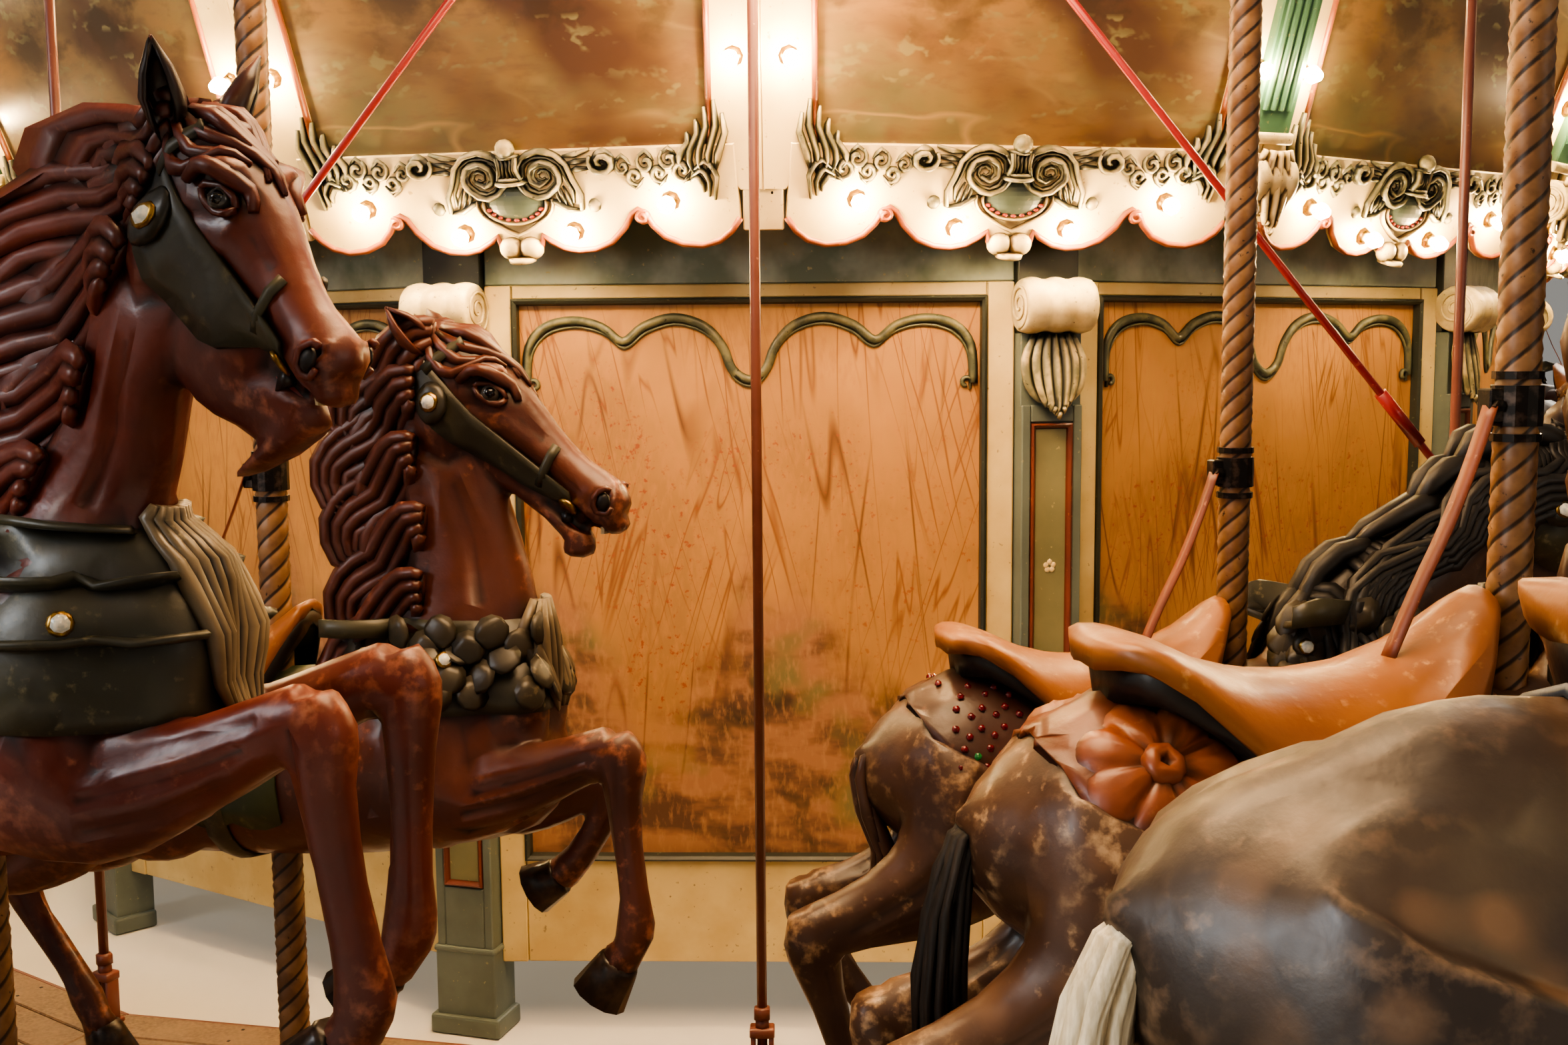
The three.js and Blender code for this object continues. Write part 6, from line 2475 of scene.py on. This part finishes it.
def horse_paint(name, body, light, dark, worn, gloss=0.36, dapple=None, wear=0.5):
    """Carved wood under old enamel: painted shade that darkens it in the cuts and where it is shut in, rubbed
    pale on the edges, uneven in its shine.
    """
    material, tree, shader = new_material(name)
    cavity = attribute(tree, "cavity")
    shut = attribute(tree, "shut")
    broad = noise_at(tree, 210, 4)
    speck = noise_at(tree, 22, 5)
    base = mixed(tree, grey_ramp(tree, broad, 0.40, 0.64), body, light)
    if dapple:
        spots = cells_at(tree, 60)
        spread = grey_ramp(tree, noise_at(tree, 420, 2), 0.35, 0.55)
        base = mixed(tree, times(tree, grey_ramp(tree, spots, 0.40, 0.20), spread), base, dapple)
    edge = grey_ramp(tree, cavity, 0.460, 0.39)
    base = mixed(tree, times(tree, edge, grey_ramp(tree, speck, 0.48, 0.70)), base, worn)
    flecks = times(tree, grey_ramp(tree, speck, 0.58, 0.70),
                   grey_ramp(tree, noise_at(tree, 130, 3), wear, wear + 0.12))
    base = mixed(tree, times(tree, flecks, grey_ramp(tree, noise_at(tree, 9, 2), 0.25, 0.75)), base, worn)
    # Painted shade: the enamel goes to the dark tone in grooves and where rays about a point are stopped.
    base = mixed(tree, grey_ramp(tree, cavity, 0.525, 0.62), base, dark)
    base = mixed(tree, grey_ramp(tree, shut, 0.22, 0.85), base, dark)
    tree.links.new(base, shader.inputs["Base Color"])
    span = {"From Min": 0.3, "From Max": 0.7, "To Min": gloss - 0.07, "To Max": gloss + 0.13}
    rough = add(tree, "ShaderNodeMapRange", None, span, {"Value": noise_at(tree, 48, 4)})
    tree.links.new(rough.outputs["Result"], shader.inputs["Roughness"])
    shader.inputs["Coat Weight"].default_value = 0.06
    shader.inputs["Coat Roughness"].default_value = 0.14
    bump(tree, shader, speck, 1.5, 0.55)
    return material


def plain_gloss(name, colour, rough, second=None, size=20):
    """A small glossy part in one tone with a faint second tone."""
    material, tree, shader = new_material(name)
    tone = mixed(tree, grey_ramp(tree, noise_at(tree, size, 3), 0.4, 0.65), colour, second or colour)
    surface(tree, shader, tone, rough)
    return material


def horse_hair(name, colour, second):
    """Horsehair: fine matt strands with lighter ones among them."""
    material, tree, shader = new_material(name)
    strands = noise_at(tree, 5, 3, stretch=(1, 1, 14))
    tone = mixed(tree, grey_ramp(tree, strands, 0.38, 0.66), colour, second)
    surface(tree, shader, tone, 0.62)
    bump(tree, shader, strands, 1.0, 0.5)
    return material


def horse_designs():
    """Five schemes of paint, tack and pose."""
    paints = settings("horses")
    shared = {
        "eye": plain_gloss("black_glass_eye", "#0a0809", 0.04),
        "white": plain_gloss("eye_grey_glass", "#3a3734", 0.12, "#4a4640"),
        "hollow": plain_gloss("nostril_black_paint", "#0c0706", 0.5),
        "teeth": plain_gloss("tooth_ivory_paint", "#cfc09a", 0.4, "#a8946a"),
        "tongue": plain_gloss("tongue_red_paint", "#8a3a34", 0.3, "#6d2a28"),
        "glass": plain_gloss("clear_cut_jewel", "#e8e4d6", 0.04, "#bfc8c4", 6),
        "ruby": plain_gloss("red_cut_jewel", "#6a0f12", 0.06, "#3c0508", 6),
        "emerald": plain_gloss("green_cut_jewel", "#1d7a3c", 0.06, "#0d4520", 6),
        "metal": bare_brass("jewel_setting_brass"),
    }
    # The third colour of each enamel is the dark tone of its painted shade.
    red = horse_paint("red_brown_horse_enamel", paints.red_brown, "#5e3124", "#160705", "#a0644a")
    mahogany = horse_paint("mahogany_horse_enamel", paints.mahogany, "#682d1f", "#130605", "#935a44")
    dark = horse_paint("dark_brown_horse_enamel", paints.dark_brown, "#4f382c", "#0d0806", "#94785a",
                       wear=0.46)
    cream = horse_paint("cream_brown_horse_enamel", paints.cream_brown, "#593e2d", "#120b07", "#b39470",
                        dapple="#6e4f35", wear=0.40)
    grey = horse_paint("dapple_grey_horse_enamel", paints.dapple_grey, "#382a20", "#120d09", "#6f5843",
                       dapple="#6b5039", gloss=0.42, wear=0.56)
    olive = horse_paint("olive_strap_enamel", paints.harness_paint, "#403e2c", "#0d0c09", "#857b58",
                        gloss=0.42)
    boss = horse_paint("dark_boss_enamel", "#1f1d16", "#302d22", "#0a0907", "#6f6648", gloss=0.36)
    scales = horse_paint("collar_scale_enamel", "#2b261b", "#3d3626", "#0c0a07", "#7e6e4c", gloss=0.42)
    shell = horse_paint("shell_cream_enamel", "#5f5340", "#7d6e54", "#1c1610", "#b4a47e", gloss=0.38)
    pale_mane = horse_paint("cream_mane_enamel", "#9a8c6c", "#b8aa86", "#2a241a", "#d6c79c", gloss=0.40)
    tan = horse_paint("tan_saddle_enamel", paints.saddle_paint, "#925a28", "#2a170b", "#c59460", gloss=0.36,
                      wear=0.46)
    # Black enamel for the layer under the seat, painted shade under the cantle and flaps.
    under = horse_paint("black_saddle_underside_painted_shade", "#120e0b", "#1e1814", "#050404", "#3a2e24", gloss=0.4)
    rust = horse_paint("rust_cloth_enamel", "#5a2a14", "#70361b", "#1a0b06", "#a8703f", gloss=0.34,
                       wear=0.46)
    orange = horse_paint("orange_flower_enamel", "#6a3016", "#8a4a24", "#1e0d07", "#c08a54", gloss=0.34)
    black = horse_paint("black_mane_enamel", "#0c0a08", "#16110d", "#040202", "#2e231b", gloss=0.56)
    cloth = horse_paint("dark_red_cloth_enamel", "#2c1611", "#3a1d16", "#0c0605", "#6d4434", gloss=0.38)
    green = horse_paint("green_cloth_enamel", "#27301f", "#37422c", "#0c0f0a", "#7c7a54", gloss=0.38)
    blue = horse_paint("slate_cloth_enamel", "#2c343c", "#3f4851", "#0d1013", "#858a90", gloss=0.38)
    hoof = plain_gloss("dark_hoof_enamel", "#1c1613", 0.3, "#3a2c24", 14)
    dark_hair = horse_hair("black_horsehair", "#0d0b0a", "#241c18")
    pale_hair = horse_hair("cream_horsehair", "#b9a888", "#e0d2b4")
    # Bends: degrees at the withers, middle, poll and to the right, size of the head, its reach and rise,
    # and how far the throat is drawn in.
    base = {
        "strap": olive, "boss": boss, "scales": scales, "shell": shell, "saddle": tan, "under": under,
        "hoof": hoof, "tail": None, "flower": None, "studs": False, "falling": False, "laid_back": 0.0,
        "forelegs": HIGH_FORELEGS, "bends": (0.0, 0.0, 0.0, 0.0, 1.0, 0.0, 0.0, 0.0), "squeeze": 1.0,
        "croup": 0.0, "collar": 0.084, "banded": False, **shared,
    }
    return (
        {**base, "name": "red_brown", "body": red, "mane": red, "cloth": green, "laid_back": 1.0},
        {**base, "name": "mahogany", "body": mahogany, "mane": mahogany, "cloth": blue,
         "forelegs": LOW_FORELEGS, "collar": 0.132, "banded": True,
         "bends": (26.0, 14.0, -34.0, 20.0, 0.86, 0.045, 0.045, 0.055)},
        {**base, "name": "dark_brown", "body": dark, "mane": black, "cloth": cloth, "studs": True,
         "falling": True, "bends": (50.0, 22.0, -48.0, 0.0, 1.0, 0.0, 0.0, 0.0)},
        {**base, "name": "cream_brown", "body": cream, "mane": dark, "tail": dark_hair, "cloth": rust,
         "flower": orange, "falling": True},
        {**base, "name": "dapple_grey", "body": grey, "mane": pale_mane, "tail": pale_hair, "cloth": blue,
         "squeeze": 0.68, "croup": 0.032},
    )


def eased(low, high, value):
    """Rises smoothly from 0 at low to 1 at high."""
    t = min(max((value - low) / (high - low), 0.0), 1.0)
    return t * t * (3 - 2 * t)


def swung(x, z, pivot, degrees):
    """A point turned forwards and down about a pivot in the plane of the side."""
    cosine, sine = math.cos(math.radians(degrees)), math.sin(math.radians(degrees))
    dx, dz = x - pivot[0], z - pivot[1]
    return pivot[0] + dx * cosine + dz * sine, pivot[1] - dx * sine + dz * cosine


# Where the neck turns in the plane of the side, as (x, z), and the upright line its head turns about.
WITHERS, MID_NECK, POLL = (0.27, 0.98), (0.24, 1.32), (0.24, 1.47)
NECK_LINE = 0.235


def bend_neck(mesh, bends):
    """Bends the neck at its three joints and to the right, sizes and moves the head, slims the throat."""
    low, high, nod, turn, size, reach, rise, slim = bends
    for v in mesh.vertices:
        x, y, z = v.co
        if z < 0.98 or x < 0.03:
            continue
        front = eased(-0.03, 0.05, (x - 0.2) * 0.86 + (z - 1.6) * 0.51)
        fall = eased(1.36, 1.22, z) * (1 - front) + eased(1.50, 1.16, z) * front
        x -= slim * eased(0.22, 0.42, x) * eased(1.0, 1.08, z) * fall
        ahead = (x - 0.2) * 0.86 + (z - 1.6) * 0.51
        grow = 1 + (size - 1) * max(eased(-0.03, 0.05, ahead) * eased(1.05, 1.12, z), eased(1.25, 1.42, z))
        x, y, z = 0.24 + (x - 0.24) * grow, y * grow, 1.42 + (z - 1.42) * grow
        head = eased(-0.03, 0.05, ahead) * eased(1.05, 1.12, z)
        mid = max(eased(1.18, 1.46, z + 0.2 * (x - 0.2)), head)
        root = max(eased(0.98, 1.22, z), head) * eased(0.03, 0.12, x)
        x1, z1 = swung(x, z, POLL, nod * head)
        x1, z1 = swung(x1, z1, MID_NECK, high * mid)
        x1, z1 = swung(x1, z1, WITHERS, low * root)
        x1, z1 = x1 + reach * mid, z1 + rise * mid
        angle = math.radians(turn * eased(1.05, 1.42, z + 0.55 * (x - 0.25)))
        dx = x1 - NECK_LINE
        cosine, sine = math.cos(angle), math.sin(angle)
        v.co = (NECK_LINE + dx * cosine + y * sine, y * cosine - dx * sine, z1)
    mesh.update()


def horse_mesh(skin, tree, p, seed):
    """One whole horse of a design, with its tack, as one mesh at the origin."""
    chance = random.Random(seed)
    at = Matrix.Identity(4)
    body = skin.copy()
    body.materials.clear()
    body.materials.append(p["body"])
    parts = [body, hoof_mesh(p["hoof"], p["forelegs"]), mane_mesh(tree, p["mane"], chance, p["falling"])]
    parts += [ear_mesh(p["body"], side, p["laid_back"]) for side in (-1, 1)]
    if p["tail"] is None:
        parts.append(carved_tail_mesh(p["body"], chance))
    else:
        parts.append(hair_tail_mesh(p["tail"], chance))
    parts += tack_parts(tree, p) + face_parts(tree, p)
    if p["flower"]:
        bm = bmesh.new()
        for side in (-1, 1):
            flower(bm, tree, -0.535, 0.872, side, 0.108, 7)
            flower(bm, tree, -0.545, 0.728, side, 0.072, 4, 2)
        parts.append(mesh_of(bm, "hip_flowers", p["flower"]))
    for mesh in parts:
        if "cavity" not in mesh.attributes:
            store(mesh, "cavity", [0.5] * len(mesh.vertices))
    whole = mark_shut(joined([(mesh, at) for mesh in parts], "horse_" + p["name"]), 0.035)
    bend_neck(whole, p["bends"])
    for v in whole.vertices:
        x, _, z = v.co
        v.co.z -= p["croup"] * eased(-0.74, -0.60, x) * eased(-0.16, -0.34, x) * eased(0.72, 0.88, z)
    return whole


ROW_NAMES = ("inner", "middle", "outer")
HORSE_SEED = 40
NEAR_HORSE_TRIANGLES, FAR_HORSE_TRIANGLES = 24000, 5500
# Designs by row for the two ranks beside the front, then a cycle for the rest.
FRONT_LEFT = (0, 1, 4)
FRONT_RIGHT = (2, 3, 4)


def build_horses():
    """Forty-eight horses, three to a rank, from five painted designs."""
    trunk = trunk_mesh()
    tree = surface_tree(trunk)
    skins = {forelegs: body_mesh(trunk, forelegs) for forelegs in (HIGH_FORELEGS, LOW_FORELEGS)}
    designs = enumerate(horse_designs())
    meshes = [horse_mesh(skins[p["forelegs"]], tree, p, HORSE_SEED + i) for i, p in designs]
    near = [thinned(mesh, NEAR_HORSE_TRIANGLES) for mesh in meshes]
    far = [thinned(mesh, FAR_HORSE_TRIANGLES) for mesh in meshes]
    for i in range(BAYS):
        for row, radius in enumerate(ROW_RADII):
            if i == BAYS - 1:
                design = FRONT_LEFT[row]
            elif i == 0:
                design = FRONT_RIGHT[row]
            else:
                design = (i * 2 + row * 3 + i // 5) % len(meshes)
            place = (
                Matrix.Rotation(FRONT + (i + 0.5) * BAY_ANGLE, 4, "Z")
                @ Matrix.Translation((radius, ROW_SHIFTS[row][i % 2], PLATFORM_TOP + ROW_LIFTS[row][i % 2]))
                @ Matrix.Rotation(math.pi / 2, 4, "Z")
                @ Matrix.Scale(ROW_SCALES[row], 4)
            )
            mesh = (near if i in NEAR_RANKS else far)[design].copy()
            mesh.transform(place)
            name = f"horse_{i + 1:02d}_{ROW_NAMES[row]}"
            mesh.name = name
            node = [f"horse_rank_{i + 1:02d}"] if row == 0 else []
            piece(mesh, name, TURNING, node)


# The stage.

# Width of the whole photograph in pixels.
PHOTO_WIDE = 2353
# Lamps: name, place, what they point at, size, power (below 10 a share of the key's), colour.
LAMPS = (
    ("key_from_camera_left", (-3.4, -8.2, 2.5), (0.3, -3.0, 1.4), 1.6, 1.0, "#f2efe8"),
    ("fill_from_camera_right", (4.2, -8.0, 2.4), (0.2, -3.4, 1.2), 2.0, 0.40, "#fff0dc"),
    ("overhead", (0.0, -4.9, 3.30), (0.0, -4.6, 0.4), 1.6, 1.5, "#ffd09a"),
    ("lamp_glow", (0.2, -3.80, 2.78), (0.2, -2.96, 1.25), 0.7, 0.35, "#ffc88c"),
    ("far_key", (9.0, 12.0, 12.0), (0, 0, 1.5), 9.0, 3200.0, "#fff4e4"),
    ("far_fill", (-16.0, -12.0, 11.0), (0, 0, 1.5), 9.0, 2400.0, "#eaf0f6"),
)


def build_stage(chosen):
    """Floor, soft lights, and the camera where the photograph was taken from."""
    scene = bpy.context.scene
    bm = bmesh.new()
    bmesh.ops.create_grid(bm, x_segments=1, y_segments=1, size=30.0,
                          matrix=Matrix.Translation((0, 0, -0.001)))
    material, tree, shader = new_material("pale_studio_floor")
    tone = mixed(tree, grey_ramp(tree, noise_at(tree, 900, 2), 0.3, 0.7), "#cfccc5", "#d6d3cc")
    surface(tree, shader, tone, 0.7)
    floor = bpy.data.objects.new("studio_floor", mesh_of(bm, "studio_floor", material))
    scene.collection.objects.link(floor)

    world = bpy.data.worlds.new("soft_studio")
    world.use_nodes = True
    world.node_tree.nodes["Background"].inputs["Color"].default_value = rgba("#f2eee6")
    world.node_tree.nodes["Background"].inputs["Strength"].default_value = chosen.sky
    scene.world = world
    scene.view_settings.view_transform = "AgX"
    scene.view_settings.look = "AgX - Medium High Contrast"

    for name, spot, target, size, power, colour in LAMPS:
        lamp = bpy.data.lights.new(name, "AREA")
        lamp.shape = "DISK"
        lamp.size = size
        lamp.energy = power if power > 10 else chosen.key * power
        lamp.color = linear(colour)
        obj = bpy.data.objects.new(name, lamp)
        obj.location = spot
        obj.rotation_euler = (Vector(target) - Vector(spot)).to_track_quat("-Z", "Y").to_euler()
        scene.collection.objects.link(obj)

    data = bpy.data.cameras.new("photo_camera")
    data.sensor_fit = "HORIZONTAL"
    data.sensor_width = 36.0
    data.lens = 36.0 * chosen.focal_pixels / PHOTO_WIDE
    data.clip_start = 0.05
    data.clip_end = 200.0
    data.dof.use_dof = False
    camera = bpy.data.objects.new("photo_camera", data)
    scene.collection.objects.link(camera)
    camera.location = chosen.place
    turn = Matrix.Rotation(math.radians(chosen.yaw), 3, "Z")
    tilt = Matrix.Rotation(math.radians(90 - chosen.pitch), 3, "X")
    camera.rotation_euler = (turn @ tilt @ Matrix.Rotation(math.radians(chosen.roll), 3, "Z")).to_euler()
    scene.camera = camera


# The add-on's settings, operators and panel.


class CarouselStageSettings(PropertyGroup):
    """Where the photograph was taken from, and how bright the studio is."""

    place: FloatVectorProperty(
        name="Camera place", description="Where the camera stands", subtype="TRANSLATION", unit="LENGTH",
        size=3, default=(0.095, -7.114, 1.882),
    )
    yaw: FloatProperty(name="Camera yaw", description="Degrees the camera is turned to its left",
                       default=0.75)
    pitch: FloatProperty(name="Camera pitch", description="Degrees the camera looks down", default=6.24)
    roll: FloatProperty(name="Camera roll", description="Degrees the camera leans", default=-0.45)
    focal_pixels: FloatProperty(name="Focal length", description="In pixels of the whole photograph",
                                default=2326.0)
    sky: FloatProperty(name="Sky strength", description="Brightness of the even light from all round",
                       default=0.30)
    key: FloatProperty(name="Key power", description="Watts of the large lamp beside the camera",
                       default=66.0)


class CAROUSEL_OT_housing(Operator):
    """Build the twelve-sided centre housing, its head ring and its mast"""

    bl_idname = "carousel.housing"
    bl_label = "Housing"

    def execute(self, context):
        build_housing(make_materials())
        return {"FINISHED"}


class CAROUSEL_OT_cornice(Operator):
    """Build the carved inner cornice with its lamps"""

    bl_idname = "carousel.cornice"
    bl_label = "Inner cornice"

    def execute(self, context):
        build_cornice(make_materials())
        return {"FINISHED"}


class CAROUSEL_OT_boards(Operator):
    """Build the rounding boards round the top"""

    bl_idname = "carousel.boards"
    bl_label = "Rounding boards"

    def execute(self, context):
        build_boards(make_materials())
        return {"FINISHED"}


class CAROUSEL_OT_frame(Operator):
    """Build the sweeps, ring beams, rods and hub"""

    bl_idname = "carousel.frame"
    bl_label = "Sweep frame"

    def execute(self, context):
        build_frame(make_materials())
        return {"FINISHED"}


class CAROUSEL_OT_platform(Operator):
    """Build the platform's planks, joists and skirting"""

    bl_idname = "carousel.platform"
    bl_label = "Platform"

    def execute(self, context):
        build_platform(make_materials())
        return {"FINISHED"}


class CAROUSEL_OT_poles(Operator):
    """Build the twisted poles and the beams that they hang from"""

    bl_idname = "carousel.poles"
    bl_label = "Poles"

    def execute(self, context):
        build_poles(make_materials())
        return {"FINISHED"}


class CAROUSEL_OT_horses(Operator):
    """Build the carved horses, three to a rank"""

    bl_idname = "carousel.horses"
    bl_label = "Horses"

    def execute(self, context):
        build_horses()
        return {"FINISHED"}


class CAROUSEL_OT_stage(Operator):
    """Set the floor, the lights and the camera"""

    bl_idname = "carousel.stage"
    bl_label = "Stage"

    def execute(self, context):
        build_stage(settings("stage"))
        return {"FINISHED"}


GROUPS = {
    "housing": CarouselHousingSettings,
    "cornice": CarouselCorniceSettings,
    "frame": CarouselFrameSettings,
    "platform": CarouselPlatformSettings,
    "poles": CarouselPoleSettings,
    "horses": CarouselHorseSettings,
    "stage": CarouselStageSettings,
}
# Each operator with the settings that it reads.
OPERATORS = (
    (CAROUSEL_OT_housing, "housing"),
    (CAROUSEL_OT_cornice, "cornice"),
    (CAROUSEL_OT_boards, None),
    (CAROUSEL_OT_frame, "frame"),
    (CAROUSEL_OT_platform, "platform"),
    (CAROUSEL_OT_poles, "poles"),
    (CAROUSEL_OT_horses, "horses"),
    (CAROUSEL_OT_stage, "stage"),
)


class CAROUSEL_PT_panel(Panel):
    """Lists the carousel's pieces and their settings in the sidebar"""

    bl_idname = "CAROUSEL_PT_panel"
    bl_label = "Carousel"
    bl_space_type = "VIEW_3D"
    bl_region_type = "UI"
    bl_category = "Carousel"

    def draw(self, context):
        for operator, group in OPERATORS:
            part = self.layout.box()
            part.operator(operator.bl_idname)
            if group:
                for key in GROUPS[group].__annotations__:
                    part.prop(settings(group), key)


CLASSES = (*GROUPS.values(), *(operator for operator, _ in OPERATORS), CAROUSEL_PT_panel)


def register():
    for item in CLASSES:
        bpy.utils.register_class(item)
    for name, group in GROUPS.items():
        setattr(bpy.types.Scene, "carousel_" + name, PointerProperty(type=group))


def unregister():
    for name in GROUPS:
        delattr(bpy.types.Scene, "carousel_" + name)
    for item in reversed(CLASSES):
        bpy.utils.unregister_class(item)


def main():
    register()
    bpy.ops.carousel.housing()
    bpy.ops.carousel.cornice()
    bpy.ops.carousel.boards()
    bpy.ops.carousel.frame()
    bpy.ops.carousel.platform()
    bpy.ops.carousel.poles()
    bpy.ops.carousel.horses()
    bpy.ops.carousel.stage()


if __name__ == "__main__":
    main()
